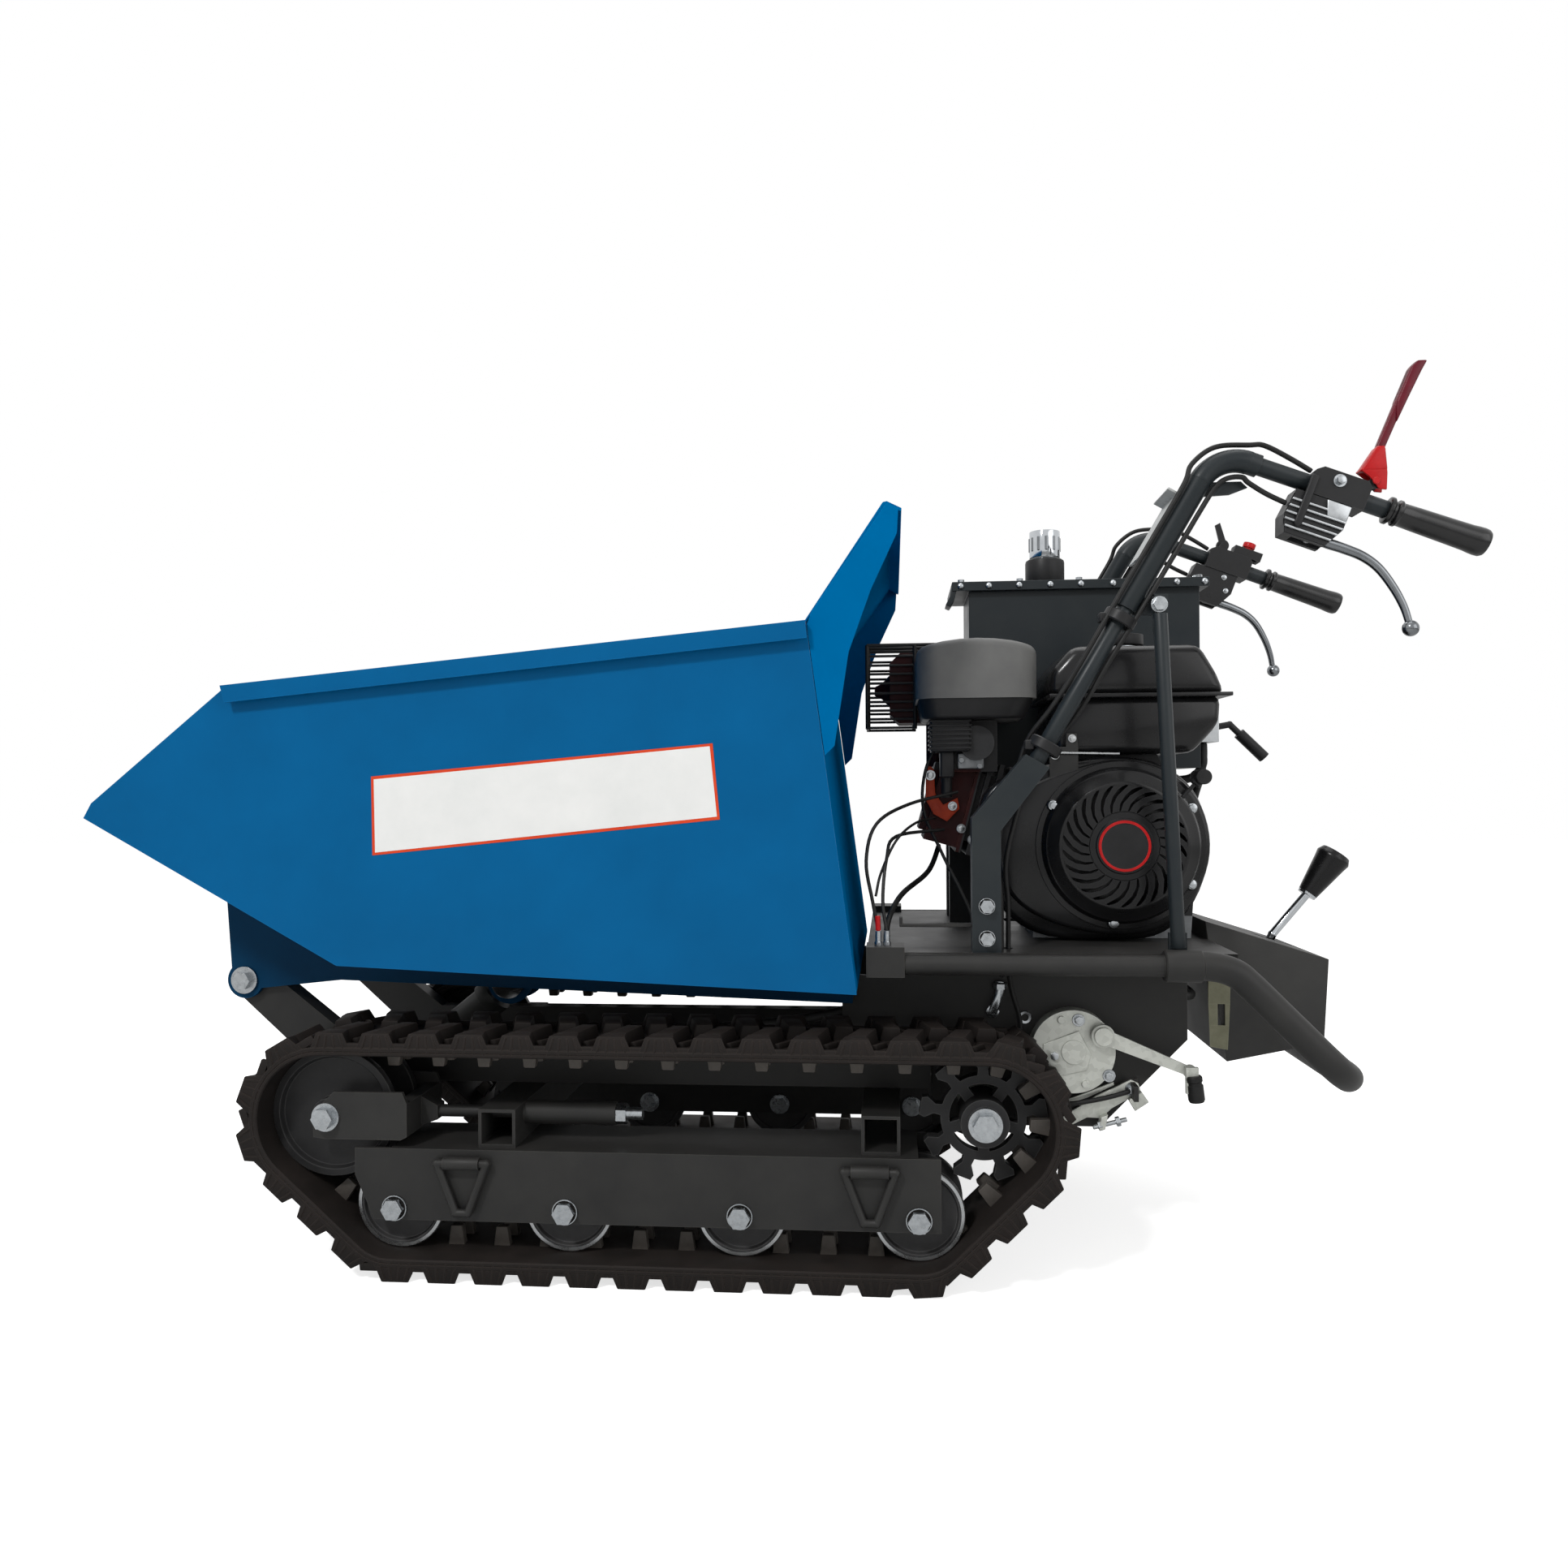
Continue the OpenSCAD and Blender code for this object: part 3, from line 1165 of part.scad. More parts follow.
module control_blocks() {
    color("#232425") both() difference() {
        union() {
            slab([along(76, 14), along(84, 20), along(140, 20), along(146, 14), along(146, -16),
                along(76, -16)],
                -bar_y - 19, -bar_y + 19);
            slab([along(84, 19), along(136, 19), along(150, 34), along(156, 30), along(156, 20),
                along(140, 14)],
                -bar_y - 5.8, -bar_y + 5.8);
        }
        rod(at(along(40, 0), -bar_y), at(along(200, 0), -bar_y), bar_r + run_gap);
        slab([along(137, 60), along(180, 60), along(180, 10), along(137, 10)], -bar_y - 3.3, -bar_y + 3.3);
        bar_along_y(clutch_p, 3 + run_gap, -bar_y - 7, -bar_y + 7);
    }
    color("#b9bbbd") both() difference() {
        slab([along(62, -16), along(132, -16), along(132, -46), along(118, -72), along(66, -72),
            along(58, -50)],
            -bar_y - 17, -bar_y + 17);
        slab([along(86, -17.5), along(140, -17.5), along(140, -90), along(78, -90), along(78, -60)],
            -bar_y - 9, -bar_y + 9);
        for (k = [0 : 4])
            slab([along(60 + 7 * k, -22), along(63 + 7 * k, -22), along(63 + 7 * k, -66), along(60
                + 7 * k, -66)],
                -bar_y - 18, -bar_y - 14);
    }
    color("#b9bbbd") both() bar_along_y(steer_p, 4, -bar_y - 17.5, -bar_y + 17.5);
    color("#232425") mirror([0, 1, 0]) {
        difference() {
            slab([along(112, 20), along(158, 20), along(158, 34), along(112, 34)], -bar_y - 13,
                -bar_y + 13);
            rod(at(along(135, 24), -bar_y), at(along(135, 40), -bar_y), stop_r + run_gap);
        }
        bar_along_y(throttle_p, 5, -bar_y - 6, -bar_y + 6);
        bar_along_y(throttle_p, 3, -bar_y - 11, -bar_y - 5);
        slab([along(88, 20), along(104, 20), along(101, 32), along(91, 32)], -bar_y - 6, -bar_y + 6);
    }
}
module clutch_lever() {
    p = clutch_p;
    q = [[0, -9], [9, -2], [12, 20], [18, 50], [34, 100], [54, clutch_len - 10], [57, clutch_len],
        [48, clutch_len + 2], [30, clutch_len - 44], [10, 60], [0, 22], [-7, 2], [-6, -7]];
    color("#b8141c") difference() {
        union() {
            slab([for (v = q) p + v], -bar_y - 3, -bar_y + 3);
            slab([for (v = [q[4], q[5], q[6], q[7], q[8]]) p + v], -bar_y - 10, -bar_y + 10);
        }
        bar_along_y(p, 3 + run_gap, -bar_y - 12, -bar_y + 12);
    }
}
module one_steer_lever(s) {
    p = at(steer_p, -bar_y);
    color("#c4c6c8") on_side(s) difference() {
        union() {
            bar_along_y(steer_p, 12, -bar_y - 8.5, -bar_y + 8.5);
            pipe([p, p + [32, 0, -14], p + [58, -6, -36], p + [80, -14, -70], p + [94, -22, -100]], 6);
            translate(p + [94, -22, -104]) sphere(r = 10);
        }
        bar_along_y(steer_p, 4 + run_gap, -bar_y - 20, -bar_y + 20);
    }
}
module left_steer_lever() { one_steer_lever(-1); }
module right_steer_lever() { one_steer_lever(1); }
module throttle_lever() {
    p = throttle_p;
    color("#1b1b1b") mirror([0, 1, 0]) difference() {
        union() {
            bar_along_y(p, 10, -bar_y - 13, -bar_y - 6.5);
            slab([p + [-5, 3], p + [-12, 34], p + [-4, 38], p + [6, 4]], -bar_y - 11, -bar_y - 7);
        }
        bar_along_y(p, 3 + run_gap, -bar_y - 11.5, -bar_y);
    }
}
module stop_button() {
    color("#d01818") mirror([0, 1, 0]) {
        rod(at(along(135, 28.3), -bar_y), at(along(135, 38.3), -bar_y), stop_r);
        rod(at(along(135, 38.3), -bar_y), at(along(135, 46.3), -bar_y), stop_r + 3);
    }
}
module cable_plate() {
    c = bar_s + 330 * bar_u;
    n = [-sin(bar_slope), cos(bar_slope)];
    o = (bar_low_r + 0.4) * n;
    color("#a9adb0") {
        slab([c + o - 40 * bar_u, c + o + 50 * bar_u, c + o + 50 * bar_u + 3 * n, c + o - 40 * bar_u
            + 3 * n],
            -bar_y - 6, -bar_y + 76);
        slab([c + o + 47 * bar_u, c + o + 50 * bar_u, c + o + 50 * bar_u + 16 * n, c + o + 47 * bar_u
            + 16 * n],
            -bar_y - 6, -bar_y + 76);
    }
}

// Cables and hoses
ln = [-sin(bar_slope), cos(bar_slope)];
function tube_at(a, o, y) = at(bar_s + a * bar_u + o * ln, -bar_y + y);
function bend_at(r, a, y) = at(bend_c + r * [cos(a), sin(a)], -bar_y + y);
hole_y = -deck_y + 47;
upper_cable = [
    at(along(75.2, 15.4), -bar_y), at(along(45, 22), -bar_y), at(along(10, 27), -bar_y),
    bend_at(72, 75, 0), bend_at(72, 110, -3), bend_at(71, 140, -8),
    tube_at(392, 16, -12), tube_at(330, 16, -12), tube_at(240, 16, -12), tube_at(150, 15, -8),
    tube_at(72, 17, 2), tube_at(22, 22, 16), tube_at(-25, 12, 22),
    [leg_x + 17, -bar_y + 23, knee_z - 20], [leg_x + 22, hole_y, deck_z + 70],
        [leg_x + 22, hole_y, deck_z + 15],
    [leg_x + 22, hole_y, deck_z - 14], [leg_x + 24, hole_y + 22, deck_z - 36],
        [leg_x + 26, -wall_y - 16, deck_z - 42],
    [leg_x + 26, -wall_y - 0.4, deck_z - 42]
];
lower_cable = [
    at(along(59, -34), -bar_y - 6), at(along(32, -31), -bar_y - 6), at(along(6, -25), -bar_y - 6),
    bend_at(29, 75, -6), bend_at(29, 110, -6), bend_at(30, 145, -7),
    tube_at(375, -18.5, -7), tube_at(300, -18, -8), tube_at(225, -17, -9), tube_at(160, -15.5, -5),
    tube_at(85, -16, 8), tube_at(20, -8, 22), tube_at(-20, -4, 22.5),
    [leg_x + 29, -bar_y + 24, knee_z - 40], [leg_x + 31, hole_y, deck_z + 60],
        [leg_x + 31, hole_y, deck_z + 15],
    [leg_x + 31, hole_y, deck_z - 14], [leg_x + 36, hole_y + 25, deck_z - 55], [drum_c[0] - 68,
        -wall_y - 15, drum_c[1] + 40],
    [drum_c[0] - 66, -wall_y - 15, drum_c[1] - 2], [drum_c[0] - 52, -wall_y - 15, drum_c[1] - 49],
    [drum_c[0] - 16, -wall_y - 17, drum_c[1] - 71], [drum_c[0] + 34, -wall_y - 21, drum_c[1] - 64],
    [drum_c[0] + 74.6, -wall_y - 23, drum_c[1] - 52]
];
wire_path = [
    [crank_x - 236, -40, crank_z - 5], [crank_x - 253, -88, crank_z - 40],
        [deck_x0 + 46, -168, deck_z + 66],
    [deck_x0 + 28, -deck_y + 32, deck_z + 38], [deck_x0 + 25, -deck_y + 9, deck_z + 12]
];
port_y = belt_y1 + 50;
port_z = crank_z + 38.3;
valve_x = oil_x0 + oil_len;
suction_hose = [
    [crank_x - 20, port_y, port_z + 0.8], [crank_x - 20, port_y, port_z + 18],
        [crank_x - 26, port_y - 12, oil_z0 - 22],
    [crank_x - 26, port_y - 12, oil_z0 - 0.9]
];
pressure_hose = [
    [crank_x + 20, port_y, port_z], [crank_x + 23, port_y, port_z + 26],
        [crank_x + 47, port_y - 10, oil_z0 - 21],
    [valve_x - 63, oil_y0 + 78, oil_z0 - 17], [valve_x - 6, oil_y0 + 60, oil_z0 - 17],
    [valve_x + 15, oil_y0 + 55, oil_z0 + 2], [valve_x + 17, oil_y0 + 55, oil_z0 + 22],
    [valve_x + 17, oil_y0 + 55, oil_z0 + 39.7]
];
ram_hose = [
    [valve_x + 22, oil_y0 + 75, oil_z0 + 39.4], [valve_x + 22, oil_y0 + 75, oil_z0 + 16],
    [valve_x + 20, oil_y0 + 86, oil_z0 - 14], [deck_x1 + 54, oil_y0 + 102, oil_z0 - 50],
    [deck_x1 + 28, 188, deck_z + 75], [deck_x1 + 17, 182, deck_z + 10], [deck_x1 + 5, 165, deck_z - 35],
    [deck_x1 - 14, 128, deck_z - 70], [deck_x1 - 16, 60, deck_z - 78], [deck_x1 - 16, -60, deck_z - 78],
    [deck_x1 - 26, -120, deck_z - 75], [deck_x1 - 52, -132, deck_z - 72], [deck_x1 - 80, -134, deck_z - 52],
    [deck_x1 - 120, -134, deck_z - 34], [300, -134, deck_z - 33], [165, -134, deck_z - 40],
        [70, -129, rail_top + 42],
    [tube1_x + 40, -arm_y0 + 14, rail_top + 4], [ram_x + 95, -arm_y0 + 16, rail_top - 18],
    [ram_x + 16, -arm_y0 + 18, ram_z + 52], [ram_x, -arm_y0 + 18, ram_z + 14.4]
];
module cables_and_hoses() {
    color("#161616") {
        both() {
            cable(upper_cable, 3.5, [0.55, 0.1, -0.83]);
            cable(lower_cable, 3.5, [0, 1, 0]);
        }
        cable(wire_path, 4, [1, 0, 0.1]);
        cable(suction_hose, 9, [1, 0, 0], 4, 10);
        cable(pressure_hose, 7, [0.1, 1, 0], 4, 10);
        cable(ram_hose, 7, [0.3, 0.1, 1.2], 4, 10);
    }
}

// Bolts, nuts, washers and pins
module bolt_y(c, y, r, h) {
    bar_along_y(c, r * 1.15, y - h * 0.25, y);
    translate([c[0], y - h * 0.25, c[1]]) rotate([90, 0, 0]) cylinder(r = r, h = h * 0.75, $fn = 6);
}
module fasteners() {
    w = web_out;
    color("#b5b8ba") both() {
        for (k = [0 : 3]) {
            c = [roller_x + k * roller_step, roller_z];
            bar_along_y(c, roller_axle_r, -track_y - w, -track_y + w);
            bolt_y(c, -track_y - w, 14, 12);
            mirror([0, 1, 0]) translate([0, 2 * track_y, 0]) bolt_y(c, -track_y - w, 14, 12);
        }
        bar_along_y([pivot_x, pivot_z], pivot_r, -ear_y0 - ear_t - free_gap, -arm_y0 - 6);
        bar_along_y([pivot_x, pivot_z], pivot_r + 7, -ear_y0 - ear_t - 4, -ear_y0 - ear_t - free_gap);
        translate([pivot_x, -ear_y0 - ear_t - 4, pivot_z]) rotate([90, 0, 0]) cylinder(r = pivot_r + 1,
            h = 9, $fn = 6);
        for (z = [deck_z + 18, deck_z + 59]) bolt_y([leg_x, z], -bar_y - leg_t / 2, 9, 10);
        bar_along_y(stay_top, 4, -bar_y - 22, -bar_y - 3);
        bolt_y(stay_top, -bar_y - 14, 9, 9);
    }
    color("#b5b8ba") {
        bar_along_y(clutch_p, 3, -bar_y - 5.8, -bar_y + 5.8);
        for (x = [0 : 4], y = [oil_y0 - 6, oil_y0 + oil_w + 6])
            translate([oil_x0 - 12 + x * (oil_len + 10) / 4, y, oil_z1 + lid_t]) cylinder(r = 5, h = 4,
                $fn = 6);
        bar_along_y(idle_p, 8, belt_y1 - 6, plate_y);
        bar_along_y(idle_p, 12, belt_y1 - 9, belt_y1 - 4.3);
    }
}

chassis_frame();
guard_rail();
track_frames();
left_track();
right_track();
gearbox_casing();
belt_guard();
drive_belt();
console_box();
engine_block();
fan_shroud();
recoil_cover();
fuel_tank();
air_filter();
muffler();
muffler_guard();
hydraulic_tank();
pump_and_valve();
handlebars();
handlebar_legs();
hand_grips();
control_blocks();
cable_plate();
cables_and_hoses();
fasteners();
skip_sides();
skip_floor();
skip_back();
ram_barrel();
ram_rod();
left_sprocket();
right_sprocket();
left_idler();
right_idler();
left_fork();
right_fork();
left_roller_1();
left_roller_2();
left_roller_3();
left_roller_4();
right_roller_1();
right_roller_2();
right_roller_3();
right_roller_4();
crankshaft();
input_pulley();
clutch_idler();
clutch_lever();
left_steer_lever();
right_steer_lever();
throttle_lever();
stop_button();
gear_lever();
valve_lever();
starter_grip();
fuel_cap();
left_tie_rings();
right_tie_rings();
left_brake_arm();
right_brake_arm();
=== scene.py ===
"""Look of a tracked power carrier: finishes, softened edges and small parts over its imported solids."""

import logging
import math
from dataclasses import dataclass, field
from enum import Enum
from typing import Any, Protocol, Sequence

import bmesh
import bpy
from mathutils import Matrix, Vector


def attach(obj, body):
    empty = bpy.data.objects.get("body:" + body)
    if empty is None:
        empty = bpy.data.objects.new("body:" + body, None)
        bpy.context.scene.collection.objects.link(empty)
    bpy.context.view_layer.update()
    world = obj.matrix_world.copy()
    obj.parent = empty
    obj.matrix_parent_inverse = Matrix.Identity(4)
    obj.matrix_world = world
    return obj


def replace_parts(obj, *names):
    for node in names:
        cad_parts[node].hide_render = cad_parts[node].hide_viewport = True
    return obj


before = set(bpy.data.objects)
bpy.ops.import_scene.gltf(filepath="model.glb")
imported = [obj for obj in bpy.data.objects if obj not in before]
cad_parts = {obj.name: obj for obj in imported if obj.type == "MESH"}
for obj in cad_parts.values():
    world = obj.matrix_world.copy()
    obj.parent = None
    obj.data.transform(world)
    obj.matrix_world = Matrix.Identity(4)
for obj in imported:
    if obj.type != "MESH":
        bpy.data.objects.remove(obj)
LOG = logging.getLogger("power_carrier")
MM = 0.001
MM_PER_METRE = 1000
# Half the spread of the handlebars, and the way their grips point
BAR_Y = 246.0
GRIP_U = (0.934, -0.358)
# Shares of a bolt head's size across its flats
WASHER_T = 0.16
WASHER_R = 0.84
HEAD_H = 0.55
HEAD_DOME = 0.09
# Directions in the shared frame
NEAR = (0, -1, 0)
FAR = (0, 1, 0)
UP = (0, 0, 1)
# A point or direction, a pair, and what is made of them
Point = tuple[float, float, float]
Flat = tuple[float, float]
Box = tuple[Point, Point]
Outline = tuple[Flat, ...]
Route = tuple[Point, ...]


def linear(colour: str) -> tuple[float, float, float, float]:
    """Turn an sRGB hex colour into linear light.

    Args:
        colour: Six hex digits after a hash sign.

    Returns:
        Red, green, blue and an alpha of one.
    """
    parts = [int(colour[i:i + 2], 16) / 255 for i in (1, 3, 5)]
    light = [c / 12.92 if c <= 0.04045 else ((c + 0.055) / 1.055) ** 2.4 for c in parts]
    return light[0], light[1], light[2], 1.0


def put(tree: bpy.types.NodeTree, kind: str, settings: dict[str, Any] | None = None,
        links: dict[Any, bpy.types.NodeSocket] | None = None) -> bpy.types.Node:
    """Add one node with its settings and links.

    Args:
        tree: Node tree that takes the node.
        kind: Class name of the node.
        settings: Values by property name, or by input name or number.
        links: Output sockets by the input name or number they feed.

    Returns:
        The new node.
    """
    node = tree.nodes.new(kind)
    for key, value in (settings or {}).items():
        if isinstance(key, str) and hasattr(node, key):
            setattr(node, key, value)
        else:
            node.inputs[key].default_value = value
    for key, source in (links or {}).items():
        tree.links.new(source, node.inputs[key])
    return node


def rounded(outline: Sequence[Flat], times: int = 2) -> list[Flat]:
    """Cut the corners of a closed outline until it runs smoothly.

    Args:
        outline: Corner pairs in order.
        times: How often the corners are cut.

    Returns:
        The smoother outline.
    """
    points = list(outline)
    for _ in range(times):
        cut: list[Flat] = []
        for (x0, z0), (x1, z1) in zip(points, points[1:] + points[:1]):
            cut.append((0.75 * x0 + 0.25 * x1, 0.75 * z0 + 0.25 * z1))
            cut.append((0.25 * x0 + 0.75 * x1, 0.25 * z0 + 0.75 * z1))
        points = cut
    return points


class Side(Enum):
    """The two sides of the machine, by the sign of Y."""

    LEFT = -1
    RIGHT = 1

    @property
    def word(self) -> str:
        """The side as it stands in the names of pieces."""
        return self.name.lower()


class Plane(Enum):
    """The plane of a flat outline: the two axes of its pairs, then the axis that it is extruded along."""

    XZ = (0, 2, 1)
    XY = (0, 1, 2)


@dataclass(frozen=True)
class Finish:
    """One surface finish and the grain, mottling and wear that belong to it."""

    name: str
    tone: str
    shade: str
    rough: Flat
    metallic: float = 0.0
    mottle_mm: float = 40.0
    grain_mm: float = 1.2
    grain_depth_mm: float = 0.02
    cells: bool = False
    coat: float = 0.0
    gloss: float = 0.25
    dust: str = ""
    dust_share: float = 0.0
    wear: str = ""
    wear_share: float = 0.0
    coat_rough: float = 0.12
    bump: float = 0.6

    def layers(self, tree: bpy.types.NodeTree) -> dict[str, bpy.types.NodeSocket]:
        """Draw the colour, roughness and grain of this finish on Object coordinates.

        Args:
            tree: Node tree of the material.

        Returns:
            Sockets named colour, rough and height.
        """
        place = put(tree, "ShaderNodeTexCoord").outputs["Object"]
        mottle = MM_PER_METRE / self.mottle_mm
        if self.cells:
            patch = put(tree, "ShaderNodeTexVoronoi", {"Scale": mottle}, {"Vector": place})
            split = put(tree, "ShaderNodeSeparateColor", links={"Color": patch.outputs["Color"]})
            spots = split.outputs["Red"]
        else:
            spots = put(tree, "ShaderNodeTexNoise", {"Scale": mottle, "Detail": 4.0, "Roughness": 0.6},
                        {"Vector": place}).outputs[0]
        spread = put(tree, "ShaderNodeMapRange", {"From Min": 0.3, "From Max": 0.7},
                     {"Value": spots}).outputs["Result"]
        colour = put(tree, "ShaderNodeMix",
                     {"data_type": "RGBA", 6: linear(self.tone), 7: linear(self.shade)},
                     {0: spread}).outputs[2]
        fine = put(tree, "ShaderNodeTexNoise", {"Scale": MM_PER_METRE / self.grain_mm, "Detail": 3.0},
                   {"Vector": place}).outputs[0]
        if self.dust:
            colour = self.settle(tree, colour, spots)
        if self.wear:
            colour = self.rub(tree, colour)
        low, high = self.rough
        rough = put(tree, "ShaderNodeMapRange",
                    {"From Min": 0.25, "From Max": 0.75, "To Min": low, "To Max": high},
                    {"Value": spots}).outputs["Result"]
        return {"colour": colour, "rough": rough, "height": fine}

    def settle(self, tree: bpy.types.NodeTree, colour: bpy.types.NodeSocket,
               spots: bpy.types.NodeSocket) -> bpy.types.NodeSocket:
        """Lay dust on faces that look upwards and in patches of the mottling.

        Args:
            tree: Node tree of the material.
            colour: Colour under the dust.
            spots: Mottling that breaks the dust up.

        Returns:
            The dusted colour.
        """
        facing = put(tree, "ShaderNodeTexCoord").outputs["Normal"]
        up = put(tree, "ShaderNodeSeparateXYZ", links={0: facing}).outputs["Z"]
        lying = put(tree, "ShaderNodeMapRange", {"From Min": -0.4, "From Max": 1.0, "To Min": 0.25},
                    {"Value": up}).outputs[0]
        share = put(tree, "ShaderNodeMath", {"operation": "MULTIPLY"}, {0: lying, 1: spots}).outputs[0]
        amount = put(tree, "ShaderNodeMath", {"operation": "MULTIPLY", 1: self.dust_share},
                     {0: share}).outputs[0]
        return put(tree, "ShaderNodeMix", {"data_type": "RGBA", 7: linear(self.dust)},
                   {0: amount, 6: colour}).outputs[2]

    def rub(self, tree: bpy.types.NodeTree, colour: bpy.types.NodeSocket) -> bpy.types.NodeSocket:
        """Lighten the edges, where paint thins and hands or stones rub.

        Args:
            tree: Node tree of the material.
            colour: Colour away from the edges.

        Returns:
            The rubbed colour.
        """
        soft = put(tree, "ShaderNodeBevel", {"samples": 4, "Radius": 2 * MM}).outputs[0]
        flat = put(tree, "ShaderNodeNewGeometry").outputs["Normal"]
        turn = put(tree, "ShaderNodeVectorMath", {"operation": "DOT_PRODUCT"}, {0: soft, 1: flat})
        edge = put(tree, "ShaderNodeMapRange",
                   {"From Min": 0.98, "From Max": 0.75, "To Max": self.wear_share},
                   {"Value": turn.outputs["Value"]}).outputs[0]
        return put(tree, "ShaderNodeMix", {"data_type": "RGBA", 7: linear(self.wear)},
                   {0: edge, 6: colour}).outputs[2]

    def material(self) -> bpy.types.Material:
        """Make or find the material of this finish alone."""
        return Coat(self.name, self).material()


@dataclass(frozen=True)
class Zone:
    """A second finish where a point lies beyond every one of some planes."""

    finish: Finish
    planes: tuple[tuple[Point, float], ...]

    @classmethod
    def beyond(cls, finish: Finish, normal: Point, offset_mm: float) -> "Zone":
        """Make a zone beyond a single plane."""
        return cls(finish, ((normal, offset_mm),))

    def inside(self, tree: bpy.types.NodeTree) -> bpy.types.NodeSocket:
        """Draw a mask that is one beyond all of the planes.

        Args:
            tree: Node tree of the material.

        Returns:
            The mask.
        """
        where = put(tree, "ShaderNodeTexCoord").outputs["Object"]
        masks = []
        for normal, offset_mm in self.planes:
            reach = put(tree, "ShaderNodeVectorMath", {"operation": "DOT_PRODUCT", 1: normal}, {0: where})
            past = put(tree, "ShaderNodeMath", {"operation": "GREATER_THAN", 1: offset_mm * MM},
                       {0: reach.outputs["Value"]})
            masks.append(past.outputs[0])
        share = masks[0]
        for mask in masks[1:]:
            share = put(tree, "ShaderNodeMath", {"operation": "MULTIPLY"}, {0: share, 1: mask}).outputs[0]
        return share


@dataclass(frozen=True)
class Coat:
    """A finish with any zones of other finishes over it, as one material."""

    name: str
    base: Finish
    zones: tuple[Zone, ...] = ()

    def material(self) -> bpy.types.Material:
        """Make the material, or find it when it was made before.

        Returns:
            The node material.
        """
        if self.name in bpy.data.materials:
            return bpy.data.materials[self.name]
        made = bpy.data.materials.new(self.name)
        made.use_nodes = True
        tree = made.node_tree
        tree.nodes.clear()
        parts = self.base.layers(tree)
        colour, rough, height = parts["colour"], parts["rough"], parts["height"]
        metal: bpy.types.NodeSocket | None = None
        settings: dict[str, Any] = {"Metallic": self.base.metallic, "Coat Weight": self.base.coat,
                                    "Coat Roughness": self.base.coat_rough,
                                    "Specular IOR Level": self.base.gloss}
        last = self.base.metallic
        for zone in self.zones:
            inside = zone.inside(tree)
            other = zone.finish.layers(tree)
            colour = put(tree, "ShaderNodeMix", {"data_type": "RGBA"},
                         {0: inside, 6: colour, 7: other["colour"]}).outputs[2]
            rough = put(tree, "ShaderNodeMix", {}, {0: inside, 2: rough, 3: other["rough"]}).outputs[0]
            share = put(tree, "ShaderNodeMix", {2: last, 3: zone.finish.metallic}, {0: inside})
            if metal is not None:
                tree.links.new(metal, share.inputs[2])
            metal = share.outputs[0]
        links = {"Base Color": colour, "Roughness": rough}
        if metal is not None:
            links["Metallic"] = metal
        depth = self.base.grain_depth_mm * MM
        bump = put(tree, "ShaderNodeBump", {"Strength": self.base.bump, "Distance": depth},
                   {"Height": height})
        links["Normal"] = bump.outputs["Normal"]
        shader = put(tree, "ShaderNodeBsdfPrincipled", settings, links)
        put(tree, "ShaderNodeOutputMaterial", links={"Surface": shader.outputs[0]})
        return made


# Stove enamel over pressed steel: even satin blue, slight orange peel, lighter where edges rub
SKIP_BLUE = Finish("stove_enamel_blue", "#005A8E", "#006198", (0.3, 0.42), 0.0, 160, 2.2, 0.03, gloss=0.09,
                   wear="#1E7FBC", wear_share=0.4)
# The same enamel under the skip, painted darker as painted shade, with road dust
UNDER_BLUE_PAINTED_SHADE = Finish("stove_enamel_blue_underside", "#00304F", "#013859", (0.4, 0.55), 0.0, 120, 2.2, 0.03,
                    gloss=0.07, wear="#1F6A98", wear_share=0.3, dust="#3C4A54", dust_share=0.1)
# The same enamel on the rear wall, painted lighter than the sides as painted light, and dulled by engine heat
# and dust so that it mirrors nothing
BACK_BLUE_PAINTED_LIGHT = Finish("stove_enamel_blue_dulled", "#0066A0", "#006CA8", (0.5, 0.62), 0.0, 160, 2.2, 0.03,
                   gloss=0.0, wear="#1E7FBC", wear_share=0.4)
# Powder coat on steel plate: even satin black with a fine pebble
FRAME_BLACK = Finish("powder_coat_black", "#242424", "#2C2C2B", (0.42, 0.56), 0.0, 70, 1.1, 0.035,
                     wear="#55534F", wear_share=0.45, dust="#4A4642", dust_share=0.22)
# Powder coat on the bent tubes, a little greener and glossier
BAR_BLACK = Finish("powder_coat_tube_black", "#20262A", "#272C2E", (0.32, 0.45), 0.0, 60, 1.3, 0.03,
                   wear="#4C5254", wear_share=0.3)
# Moulded rubber: brown black, dull, dusty on what looks up
TRACK_RUBBER = Finish("moulded_rubber_brown_black", "#141211", "#1B1716", (0.6, 0.78), 0.0, 35, 1.6, 0.06,
                      gloss=0.18, wear="#4A423D", wear_share=0.4, dust="#544A44", dust_share=0.22)
# The same rubber inside, polished grey where the wheels rub the horns
HORN_RUBBER = Finish("moulded_rubber_worn_grey", "#4A4642", "#57524D", (0.45, 0.6), 0.0, 20, 1.4, 0.04,
                     wear="#7D7771", wear_share=0.4)
# Painted cast iron: dark, slightly rough from the sand mould
WHEEL_IRON = Finish("painted_cast_iron", "#343435", "#3E3E3F", (0.4, 0.55), 0.1, 30, 2.0, 0.06,
                    wear="#8A8A88", wear_share=0.7, dust="#4C4844", dust_share=0.25)
# The same iron on the sprockets and idlers, painted darker as painted shade
SPROCKET_IRON_PAINTED_SHADE = Finish("painted_cast_iron_painted_shade", "#222223", "#2B2B2C", (0.38, 0.5), 0.1, 30, 2.0, 0.06,
                       wear="#6E6E6C", wear_share=0.6, dust="#3C3936", dust_share=0.18)
# Bare turned steel: bright, slightly clouded
BARE_STEEL = Finish("turned_steel", "#A7A9AA", "#BDBFC0", (0.22, 0.36), 1.0, 25, 0.6, 0.01)
# Zinc plated steel: bright and slightly blue, cloudy
ZINC = Finish("zinc_plated_steel", "#9DA1A4", "#B4B8BB", (0.22, 0.36), 1.0, 6, 0.7, 0.01)
